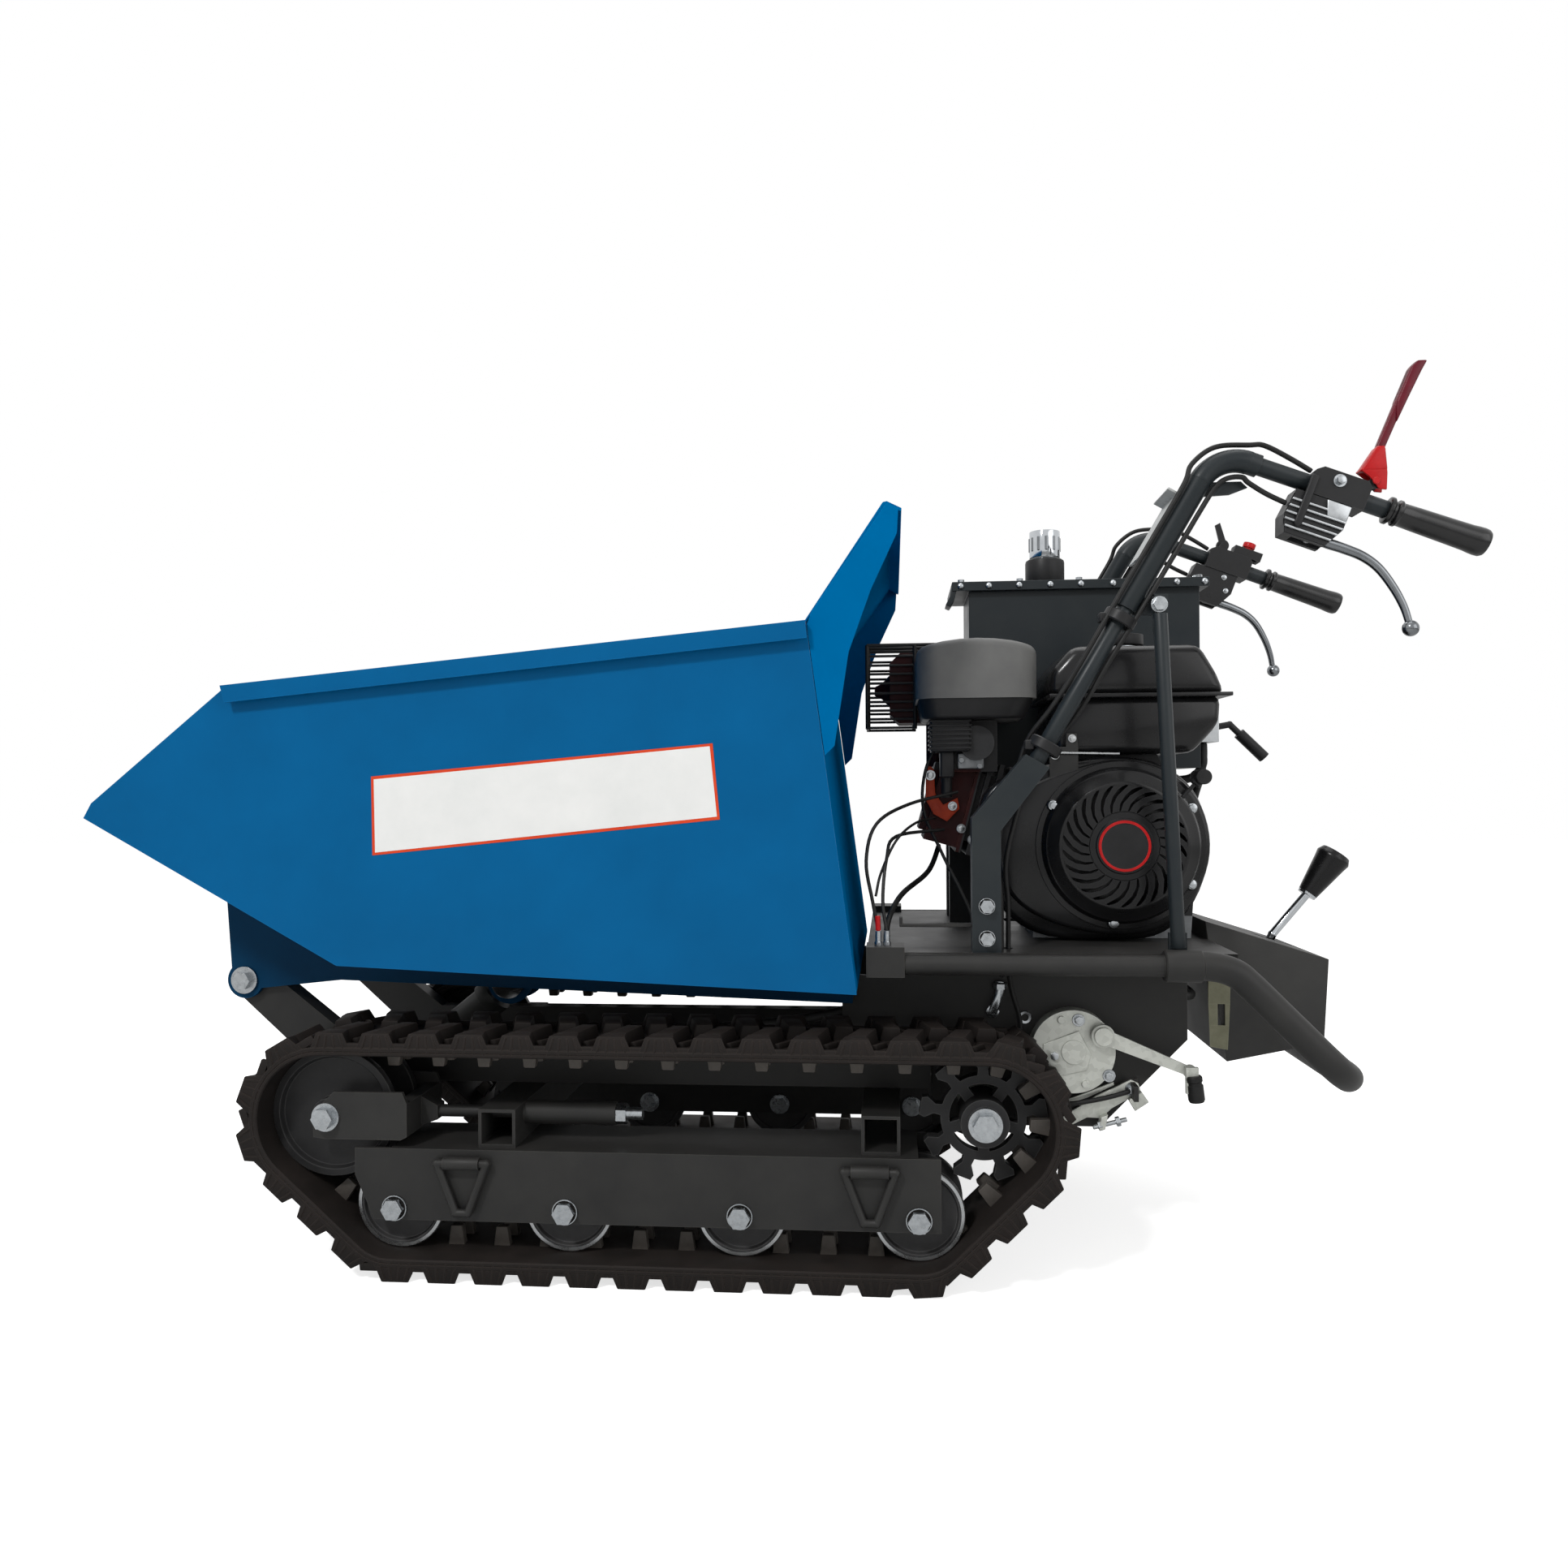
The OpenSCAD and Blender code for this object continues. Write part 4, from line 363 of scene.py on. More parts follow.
# Hot dip galvanised plate: grey spangle in cells
GALVANISED = Finish("galvanised_steel", "#BABCB5", "#C8CAC3", (0.36, 0.5), 0.55, 7, 1.0, 0.02, cells=True,
                    wear="#DEE0DC", wear_share=0.4)
# Galvanised sheet, thin and pale, dull on its flat side
PALE_SHEET = Finish("galvanised_sheet_pale", "#B4B6B5", "#C2C4C3", (0.5, 0.62), 0.1, 9, 1.0, 0.02, cells=True)
# Painted shade: a thin black ring in the corner between a bolt head and its washer, where shade falls
PAINTED_SHADE_BLACK = Finish("painted_shade_black", "#131211", "#1D1B19", (0.55, 0.7), 0.0, 8, 0.8, 0.03, gloss=0.1)
# Die cast aluminium: pale satin metal with shallow casting mottle
CAST_ALLOY = Finish("die_cast_aluminium", "#A3A6A8", "#BBBEC0", (0.26, 0.4), 0.95, 14, 0.9, 0.025,
                    wear="#E4E6E8", wear_share=0.4)
# Cast crankcase, greyer and duller from heat
ENGINE_ALLOY = Finish("cast_aluminium_crankcase", "#6E7072", "#85888A", (0.4, 0.55), 0.8, 18, 1.2, 0.05,
                      wear="#B9BBBD", wear_share=0.4)
# Heat proof paint on the crankcase and cylinder
ENGINE_DARK = Finish("heat_paint_black", "#262627", "#303031", (0.42, 0.56), 0.1, 22, 1.2, 0.05,
                     wear="#6A6A6B", wear_share=0.45)
# Gloss lacquered pressings on the engine
ENGINE_BLACK = Finish("gloss_lacquer_black", "#121213", "#19191A", (0.22, 0.34), 0.0, 60, 1.8, 0.02,
                      coat=0.12, wear="#3C3C3F", wear_share=0.3)
# Moulded polypropylene, grey, fine leather grain
FILTER_GREY = Finish("moulded_polypropylene_grey", "#666665", "#70706E", (0.42, 0.55), 0.0, 50, 1.4, 0.05,
                     wear="#8E8E8C", wear_share=0.3)
# Moulded polypropylene, black
PLASTIC_BLACK = Finish("moulded_polypropylene_black", "#1C1C1D", "#242425", (0.36, 0.5), 0.0, 30, 1.0, 0.04,
                       wear="#4E4E50", wear_share=0.3)
# Soft moulded grips: gloss black plastic
GRIP_RUBBER = Finish("soft_pvc_black", "#0F0F10", "#161617", (0.2, 0.3), 0.0, 20, 0.9, 0.02, gloss=0.45)
# Moulded nylon, red
PLASTIC_RED = Finish("moulded_nylon_red", "#C4161A", "#B01014", (0.3, 0.42), 0.0, 20, 1.0, 0.02,
                     wear="#E85A50", wear_share=0.35)
# The same nylon where the lever blade is darker
BLADE_RED = Finish("moulded_nylon_maroon", "#5A0D1C", "#691224", (0.3, 0.42), 0.0, 20, 1.0, 0.02)
# High temperature paint on the muffler, baked to a dark red brown
MUFFLER_BROWN = Finish("heat_paint_red_brown", "#2B0C0D", "#3B1212", (0.5, 0.65), 0.1, 24, 1.2, 0.06,
                       wear="#8A5A48", wear_share=0.4)
# Extruded rubber hose and cable sleeve
HOSE_RUBBER = Finish("extruded_rubber_black", "#191919", "#212121", (0.42, 0.55), 0.0, 25, 0.8, 0.03)
# Hard chrome: mirror bright, faintly clouded
CHROME = Finish("hard_chrome", "#B4B8BC", "#C4C7CA", (0.06, 0.14), 1.0, 18, 0.8, 0.004)
# Polished and lacquered aluminium hand levers: smooth, with a dark grey tone that is a painted reflection of
# dark surroundings
LEVER_ALLOY_PAINTED_REFLECTION = Finish("polished_aluminium", "#6F7275", "#808386", (0.14, 0.22), 1.0, 40, 0.8, 0.004)
# Painted steel console, charcoal
CONSOLE_GREY = Finish("powder_coat_charcoal", "#2F2F2F", "#383837", (0.45, 0.58), 0.0, 80, 1.1, 0.035,
                      wear="#5C5A57", wear_share=0.35, dust="#57534E", dust_share=0.18)
# Printed vinyl sheet, white
VINYL_WHITE = Finish("printed_vinyl_white", "#E9EAE8", "#F1F1EF", (0.3, 0.38), 0.0, 60, 3.0, 0.01)
# Printed vinyl sheet, orange red
VINYL_RED = Finish("printed_vinyl_orange_red", "#D8401E", "#E04A22", (0.3, 0.38), 0.0, 60, 3.0, 0.01)
# Enamelled head cover, orange red, heat faded
HEAD_RED = Finish("enamel_orange_red", "#B8381C", "#C94726", (0.35, 0.5), 0.0, 20, 1.2, 0.03,
                  wear="#D98A6A", wear_share=0.4)
# Olive passivated steel bracket
OLIVE_STEEL = Finish("olive_passivated_steel", "#6A6A58", "#7A7967", (0.36, 0.5), 0.6, 14, 0.9, 0.02,
                     wear="#A9A894", wear_share=0.4)


@dataclass
class Shape:
    """A mesh under construction, in millimetres of the shared frame."""

    bm: bmesh.types.BMesh = field(default_factory=bmesh.new)

    def turn_to(self, verts: Sequence[bmesh.types.BMVert], start: Point, axis: Point) -> None:
        """Move new vertices from the Z axis to a start point and an axis.

        Args:
            verts: Vertices built round the Z axis.
            start: Where their origin goes.
            axis: Where their Z axis points.
        """
        turn = Vector(UP).rotation_difference(Vector(axis)).to_matrix().to_4x4()
        bmesh.ops.transform(self.bm, matrix=Matrix.Translation(start) @ turn, verts=list(verts))

    def block(self, low: Point, high: Point, edge: float = 0.0, segments: int = 3) -> "Shape":
        """Add a box with rounded edges.

        Args:
            low: Lowest corner.
            high: Highest corner.
            edge: Radius of the edges.
            segments: Steps round an edge.

        Returns:
            This shape.
        """
        made = bmesh.ops.create_cube(self.bm, size=1.0)["verts"]
        low_v, high_v = Vector(low), Vector(high)
        bmesh.ops.scale(self.bm, vec=high_v - low_v, verts=made)
        bmesh.ops.translate(self.bm, vec=(low_v + high_v) / 2, verts=made)
        self.soften({e for v in made for e in v.link_edges}, edge, segments)
        return self

    def soften(self, edges: set[bmesh.types.BMEdge], radius: float, segments: int = 3) -> None:
        """Round a set of edges.

        Args:
            edges: Edges to round.
            radius: Radius in millimetres, or zero for none.
            segments: Steps round each edge.
        """
        if radius > 0:
            bmesh.ops.bevel(self.bm, geom=list(edges), offset=radius, segments=segments, profile=0.5,
                            affect="EDGES", material=-1)

    def turned(self, outline: Sequence[Flat], start: Point, axis: Point, steps: int = 48) -> "Shape":
        """Spin an outline of radius and height pairs about an axis.

        Args:
            outline: Radius and height pairs from one end to the other.
            start: Point of the axis where the height is zero.
            axis: Direction of the axis.
            steps: Steps round the turn.

        Returns:
            This shape.
        """
        dots = [self.bm.verts.new((max(r, 0.0), 0, h)) for r, h in outline]
        lines = [self.bm.edges.new(pair) for pair in zip(dots, dots[1:])]
        old = set(self.bm.verts) - set(dots)
        bmesh.ops.spin(self.bm, geom=[*dots, *lines], cent=(0, 0, 0), axis=UP, angle=math.tau,
                       steps=steps, use_merge=True)
        fresh = [v for v in self.bm.verts if v not in old]
        bmesh.ops.remove_doubles(self.bm, verts=fresh, dist=1e-4)
        fresh = [v for v in self.bm.verts if v not in old]
        bmesh.ops.recalc_face_normals(self.bm, faces=list({f for v in fresh for f in v.link_faces}))
        self.turn_to(fresh, start, axis)
        return self

    def bar(self, start: Point, end: Point, radius: float, edge: float = 0.6, steps: int = 32) -> "Shape":
        """Add a round bar with softened ends.

        Args:
            start: Centre of one end.
            end: Centre of the other end.
            radius: Radius of the bar.
            edge: Radius of the end edges.
            steps: Steps round the bar.

        Returns:
            This shape.
        """
        run = Vector(end) - Vector(start)
        outline = [(0, 0), (radius - edge, 0), (radius, edge), (radius, run.length - edge),
                   (radius - edge, run.length), (0, run.length)]
        return self.turned(outline, start, tuple(run.normalized()), steps)

    def plate(self, outline: Sequence[Flat], low: float, high: float, edge: float = 0.0,
              plane: Plane = Plane.XZ, rims_only: bool = False) -> "Shape":
        """Extrude a flat outline square to its plane.

        Args:
            outline: Corner pairs in the plane.
            low: Start of the extrusion.
            high: End of the extrusion.
            edge: Radius of the edges.
            plane: Plane that the pairs lie in.
            rims_only: Whether only the edges round the two flat faces are rounded.

        Returns:
            This shape.
        """
        axes = plane.value
        dots = []
        for pair in outline:
            spot = [0.0, 0.0, 0.0]
            spot[axes[0]], spot[axes[1]], spot[axes[2]] = pair[0], pair[1], low
            dots.append(self.bm.verts.new(spot))
        base = self.bm.faces.new(dots)
        grown = bmesh.ops.extrude_face_region(self.bm, geom=[base], use_keep_orig=True)["geom"]
        move = [0.0, 0.0, 0.0]
        move[axes[2]] = high - low
        lifted = [g for g in grown if isinstance(g, bmesh.types.BMVert)]
        bmesh.ops.translate(self.bm, vec=move, verts=lifted)
        faces = {f for v in [*dots, *lifted] for f in v.link_faces}
        bmesh.ops.recalc_face_normals(self.bm, faces=list(faces))
        edges = {e for f in faces for e in f.edges}
        if rims_only:
            edges = {e for e in edges if abs(e.verts[0].co[axes[2]] - e.verts[1].co[axes[2]]) < 1e-6}
        self.soften(edges, edge)
        return self

    def hexagon(self, start: Point, axis: Point, across: float, height: float, dome: float = 1.0) -> "Shape":
        """Add a hexagon head whose top corners are turned off.

        Args:
            start: Centre of its seat.
            axis: Way it points.
            across: Size across the flats.
            height: Height of the head.
            dome: Height that the turned corner takes.

        Returns:
            This shape.
        """
        radius = across / math.sqrt(3)
        old = set(self.bm.verts)
        bmesh.ops.create_cone(self.bm, cap_ends=True, segments=6, radius1=radius, radius2=radius,
                              depth=height)
        fresh = [v for v in self.bm.verts if v not in old]
        bmesh.ops.translate(self.bm, vec=(0, 0, height / 2), verts=fresh)
        top = {e for v in fresh for e in v.link_edges if all(w.co.z > height - 0.01 for w in e.verts)}
        self.soften(top, dome, 2)
        fresh = [v for v in self.bm.verts if v not in old]
        self.turn_to(fresh, start, axis)
        return self

    def bolt(self, seat: Point, axis: Point, across: float) -> "Shape":
        """Add a washer and a hexagon head on it.

        Args:
            seat: Centre of the washer's seat.
            axis: Way the head points.
            across: Size of the head across its flats.

        Returns:
            This shape.
        """
        thick = WASHER_T * across
        wide = WASHER_R * across
        washer = [(0, 0), (wide, 0), (wide, 0.7 * thick), (wide - 0.4, thick), (0, thick)]
        self.turned(washer, seat, axis, 32)
        foot = tuple(Vector(seat) + Vector(axis) * thick)
        return self.hexagon(foot, axis, across, HEAD_H * across, HEAD_DOME * across)

    def hose(self, route: Sequence[Point], radius: float, steps: int = 14, smooth: int = 6,
             taper: float = 1.0) -> "Shape":
        """Sweep a round section along a smooth route.

        Args:
            route: Points that the centre line passes.
            radius: Radius of the section.
            steps: Steps round the section.
            smooth: Steps between two points of the route.
            taper: Share of the radius that is left at the end of the route.

        Returns:
            This shape.
        """
        knots = [Vector(p) for p in route]
        knots = [knots[0] * 2 - knots[1], *knots, knots[-1] * 2 - knots[-2]]
        line: list[Vector] = []
        for a, b, c, d in zip(knots, knots[1:], knots[2:], knots[3:]):
            for k in range(smooth):
                t = k / smooth
                line.append(0.5 * (2 * b + (c - a) * t + (2 * a - 5 * b + 4 * c - d) * t * t
                                   + (3 * b - 3 * c + d - a) * t * t * t))
        line.append(knots[-2])
        aim = (line[1] - line[0]).normalized()
        frame_turn = Vector(UP).rotation_difference(aim)
        rings = []
        last = len(line) - 1
        old = set(self.bm.verts)
        for k, spot in enumerate(line):
            ahead = (line[min(k + 1, last)] - line[max(k - 1, 0)]).normalized()
            frame_turn = aim.rotation_difference(ahead) @ frame_turn
            aim = ahead
            size = radius * (1 + (taper - 1) * k / last)
            ring = bmesh.ops.create_circle(self.bm, cap_ends=k in (0, last), segments=steps,
                                           radius=size)["verts"]
            stand = Matrix.Translation(spot) @ frame_turn.to_matrix().to_4x4()
            bmesh.ops.transform(self.bm, matrix=stand, verts=ring)
            rings.append(ring)
        for low, high in zip(rings, rings[1:]):
            edges = [e for ring in (low, high) for e in {e for v in ring for e in v.link_edges}
                     if all(w in ring for w in e.verts)]
            bmesh.ops.bridge_loops(self.bm, edges=edges)
        fresh = [v for v in self.bm.verts if v not in old]
        bmesh.ops.recalc_face_normals(self.bm, faces=list({f for v in fresh for f in v.link_faces}))
        return self

    def mirrored(self) -> "Shape":
        """Add the mirror image across the middle plane of the machine.

        Returns:
            This shape.
        """
        copy = bmesh.ops.duplicate(self.bm, geom=[*self.bm.verts, *self.bm.edges, *self.bm.faces])["geom"]
        verts = [g for g in copy if isinstance(g, bmesh.types.BMVert)]
        bmesh.ops.scale(self.bm, vec=(1, -1, 1), verts=verts)
        bmesh.ops.reverse_faces(self.bm, faces=[g for g in copy if isinstance(g, bmesh.types.BMFace)])
        return self

    def piece(self, name: str, body: str, finish: Finish | Coat, slot: str = "",
              sharp: float = 35.0) -> bpy.types.Object:
        """Turn the shape into a finished piece that rides a body.

        Args:
            name: Name of the piece.
            body: Body that it moves with.
            finish: Finish of its surface.
            slot: Material slot of the record, if it takes one; not used.
            sharp: Angle in degrees from which an edge stays crisp.

        Returns:
            The new object.
        """
        bmesh.ops.scale(self.bm, vec=(MM, MM, MM), verts=self.bm.verts)
        mesh = bpy.data.meshes.new(name)
        self.bm.to_mesh(mesh)
        self.bm.free()
        mesh.shade_smooth()
        mesh.set_sharp_from_angle(angle=math.radians(sharp))
        mesh.materials.append(finish.material())
        made = bpy.data.objects.new(name, mesh)
        bpy.context.scene.collection.objects.link(made)
        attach(made, body)
        LOG.info("piece %s on %s, %d faces", name, body, len(mesh.polygons))
        return made


@dataclass
class Solids:
    """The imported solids: their finishes, softened edges, and where one solid changes its finish."""

    edge_mm: float = 0.8
    fine_mm: float = 0.25
    close_fits: tuple[str, ...] = ("stop_button",)
    weld_m: float = 1e-5
    flat_deg: float = 0.6
    bevel_deg: float = 40.0
    crisp_deg: float = 50.0
    hose_levels: int = 2
    rollers: int = 4
    fork_face: float = 325.2
    adjuster_x: float = -203.2
    hub_face: float = 303.2
    brake_face: float = 152.6
    crankcase_top: float = 436.0
    port_axis: Point = (-0.966, 0, 0.259)
    port_reach: float = -104.0
    port_top: float = 640.0
    cap_foot: float = 978.5
    shift_axis: Point = (0.573, 0, 0.819)
    knob_foot: float = 806.5

    def mixed_coats(self) -> dict[str, Finish | Coat]:
        """Choose the finishes of the solids that show more than one.

        Returns:
            Finishes by the name of the solid.
        """
        below = (0, 0, -1)
        casting = Zone.beyond(ENGINE_ALLOY, below, -self.crankcase_top)
        port = Zone(MUFFLER_BROWN, ((self.port_axis, self.port_reach), (below, -self.port_top)))
        covers = tuple(Zone.beyond(GALVANISED, out, self.brake_face) for out in (FAR, NEAR))
        made: dict[str, Finish | Coat] = {
            "gearbox_casing": Coat("gearbox_paint_and_galvanised", FRAME_BLACK, covers),
            "engine_block": Coat("engine_paint_and_castings", ENGINE_DARK, (casting, port)),
            "hydraulic_tank": Coat("tank_black_and_chrome_cap", BAR_BLACK,
                                   (Zone.beyond(CHROME, UP, self.cap_foot),)),
            "gear_lever": Coat("shift_chrome_and_black_knob", CHROME,
                               (Zone.beyond(GRIP_RUBBER, self.shift_axis, self.knob_foot),)),
        }
        for side in Side:
            out = (0, side.value, 0)
            plated = (Zone.beyond(ZINC, out, self.fork_face), Zone.beyond(ZINC, (1, 0, 0), self.adjuster_x))
            made[f"{side.word}_fork"] = Coat(f"{side.word}_fork_paint_and_zinc", FRAME_BLACK, plated)
            # The sprocket iron is painted darker as painted shade
            made[f"{side.word}_sprocket"] = Coat(f"{side.word}_sprocket_iron_and_zinc", SPROCKET_IRON_PAINTED_SHADE,
                                                 (Zone.beyond(ZINC, out, self.hub_face),))
        return made

    def coats(self) -> dict[str, Finish | Coat]:
        """Choose the finish of every solid.

        Returns:
            Finishes by the name of the solid.
        """
        made = self.mixed_coats()
        groups: dict[Finish, str] = {
            FRAME_BLACK: "chassis_frame guard_rail track_frames belt_guard muffler_guard ram_barrel",
            BAR_BLACK: "handlebars handlebar_legs",
            ENGINE_BLACK: "fan_shroud recoil_cover fuel_tank",
            PLASTIC_BLACK: "control_blocks throttle_lever valve_lever starter_grip fuel_cap",
            PLASTIC_RED: "clutch_lever stop_button",
            BARE_STEEL: "crankshaft input_pulley clutch_idler",
            HOSE_RUBBER: "drive_belt cables_and_hoses",
            # Underside enamel is painted darker as painted shade; rear wall enamel is painted lighter as
            # painted light
            SKIP_BLUE: "skip_sides", UNDER_BLUE_PAINTED_SHADE: "skip_floor", BACK_BLUE_PAINTED_LIGHT: "skip_back",
            FILTER_GREY: "air_filter", MUFFLER_BROWN: "muffler", CONSOLE_GREY: "console_box",
            GRIP_RUBBER: "hand_grips", PALE_SHEET: "cable_plate", CAST_ALLOY: "pump_and_valve",
            CHROME: "ram_rod", ZINC: "fasteners",
        }
        for finish, names in groups.items():
            made.update({name: finish for name in names.split()})
        # The idlers take the same iron, painted darker as painted shade
        paired = {"track": TRACK_RUBBER, "idler": SPROCKET_IRON_PAINTED_SHADE, "steer_lever": CAST_ALLOY,
                  "brake_arm": GALVANISED, "tie_rings": FRAME_BLACK}
        paired.update({f"roller_{k + 1}": WHEEL_IRON for k in range(self.rollers)})
        for side in Side:
            made.update({f"{side.word}_{name}": finish for name, finish in paired.items()})
        return made

    def dress(self) -> None:
        """Give every solid its finish and its softened edges."""
        coats = self.coats()
        for name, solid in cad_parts.items():
            solid.data.materials.clear()
            solid.data.materials.append(coats[name].material())
            weld = solid.modifiers.new("weld", "WELD")
            weld.merge_threshold = self.weld_m
            LOG.info("dressed %s", name)
            if name == "cables_and_hoses":
                swell = solid.modifiers.new("round", "SUBSURF")
                swell.levels = swell.render_levels = self.hose_levels
                continue
            join = solid.modifiers.new("planes", "DECIMATE")
            join.decimate_type = "DISSOLVE"
            join.angle_limit = math.radians(self.flat_deg)
            soft = solid.modifiers.new("edges", "BEVEL")
            soft.width = (self.fine_mm if name in self.close_fits else self.edge_mm) * MM
            soft.segments = 2
            soft.limit_method = "ANGLE"
            soft.angle_limit = math.radians(self.bevel_deg)
            soft.harden_normals = False
            split = solid.modifiers.new("crisp", "EDGE_SPLIT")
            split.split_angle = math.radians(self.crisp_deg)


@dataclass(frozen=True)
class Lamp:
    """One soft square lamp, placed in metres."""

    name: str
    spot: Point
    aim: Point
    size: float
    watts: float

    def hang(self) -> None:
        """Hang the lamp where it points at its aim."""
        data = bpy.data.lights.new(self.name, "AREA")
        data.shape = "SQUARE"
        data.size = self.size
        data.energy = self.watts
        made = bpy.data.objects.new(self.name, data)
        bpy.context.scene.collection.objects.link(made)
        made.location = self.spot
        made.rotation_mode = "QUATERNION"
        made.rotation_quaternion = (Vector(self.aim) - Vector(self.spot)).to_track_quat("-Z", "Y")


@dataclass
class Studio:
    """Camera, floor and soft light."""

    eye: Point = (154.6, -1798.6, 614.0)
    yaw: float = 5.13
    pitch: float = 0.23
    roll: float = -0.37
    focal_px: float = 1481.0
    frame_px: float = 1932.0
    sensor_mm: float = 36.0
    lamps: tuple[Lamp, ...] = (
        Lamp("key_lamp", (-1.6, -3.2, 3.4), (0, 0, 0.45), 0.5, 84),
        Lamp("fill_lamp", (2.8, -2.4, 1.8), (0, 0, 0.5), 2.4, 26),
        Lamp("top_lamp", (0.2, 0.6, 4.0), (0, 0, 0.4), 3.0, 50))
    ambient: float = 0.36
    floor_m: float = 12.0
    floor_tone: str = "#F4F4F3"
    floor_glow: float = 0.72

    def camera(self) -> None:
        """Place the camera where the photograph was taken from."""
        data = bpy.data.cameras.new("photo_camera")
        data.sensor_fit = "HORIZONTAL"
        data.sensor_width = self.sensor_mm
        data.lens = self.sensor_mm * self.focal_px / self.frame_px
        yaw, pitch, roll = (math.radians(a) for a in (self.yaw, self.pitch, self.roll))
        level = Vector((-math.sin(yaw), math.cos(yaw), 0))
        ahead = level * math.cos(pitch) + Vector(UP) * math.sin(pitch)
        right = Vector((math.cos(yaw), math.sin(yaw), 0))
        up = right.cross(ahead)
        across = right * math.cos(roll) + up * math.sin(roll)
        over = up * math.cos(roll) - right * math.sin(roll)
        turn = Matrix((across, over, -ahead)).transposed().to_4x4()
        view = bpy.data.objects.new("photo_camera", data)
        bpy.context.scene.collection.objects.link(view)
        view.matrix_world = Matrix.Translation(Vector(self.eye) * MM) @ turn
        bpy.context.scene.camera = view

    def light(self) -> None:
        """Hang the lamps and give the world an even pale tone."""
        for lamp in self.lamps:
            lamp.hang()
        world = bpy.data.worlds.new("pale_studio")
        bpy.context.scene.world = world
        world.use_nodes = True
        tree = world.node_tree
        tree.nodes.clear()
        path = put(tree, "ShaderNodeLightPath").outputs
        seen = put(tree, "ShaderNodeMath", {"operation": "MAXIMUM"},
                   {0: path["Is Camera Ray"], 1: path["Is Glossy Ray"]})
        shown = put(tree, "ShaderNodeMath", {"operation": "MAXIMUM"},
                    {0: seen.outputs[0], 1: path["Is Transmission Ray"]})
        power = put(tree, "ShaderNodeMapRange", {"To Min": self.ambient, "To Max": 1.0},
                    {"Value": shown.outputs[0]})
        pale = put(tree, "ShaderNodeBackground", {"Color": linear("#FFFFFF")},
                   {"Strength": power.outputs[0]})
        put(tree, "ShaderNodeOutputWorld", links={"Surface": pale.outputs[0]})

    def floor(self) -> None:
        """Lay a plain pale floor that the camera sees almost white."""
        bm = bmesh.new()
        bmesh.ops.create_grid(bm, x_segments=1, y_segments=1, size=self.floor_m)
        mesh = bpy.data.meshes.new("pale_floor")
        bm.to_mesh(mesh)
        bm.free()
        floor = bpy.data.objects.new("pale_floor", mesh)
        bpy.context.scene.collection.objects.link(floor)
        paint = bpy.data.materials.new("matt_white_floor")
        paint.use_nodes = True
        tree = paint.node_tree
        tree.nodes.clear()
        path = put(tree, "ShaderNodeLightPath").outputs
        plain = put(tree, "ShaderNodeBsdfDiffuse", {"Color": linear(self.floor_tone)}).outputs[0]
        glow = put(tree, "ShaderNodeEmission",
                   {"Color": linear("#FFFFFF"), "Strength": self.floor_glow}).outputs[0]
        both = put(tree, "ShaderNodeAddShader", links={0: plain, 1: glow}).outputs[0]
        pick = put(tree, "ShaderNodeMixShader", links={0: path["Is Camera Ray"], 1: plain, 2: both})
        put(tree, "ShaderNodeOutputMaterial", links={"Surface": pick.outputs[0]})
        mesh.materials.append(paint)

    def build(self) -> None:
        """Set the stage."""
        bpy.context.scene.view_settings.view_transform = "Standard"
        self.camera()
        self.light()
        self.floor()


class Assembly(Protocol):
    """A sub-assembly that builds its own pieces."""

    def build(self) -> None:
        """Build the pieces."""


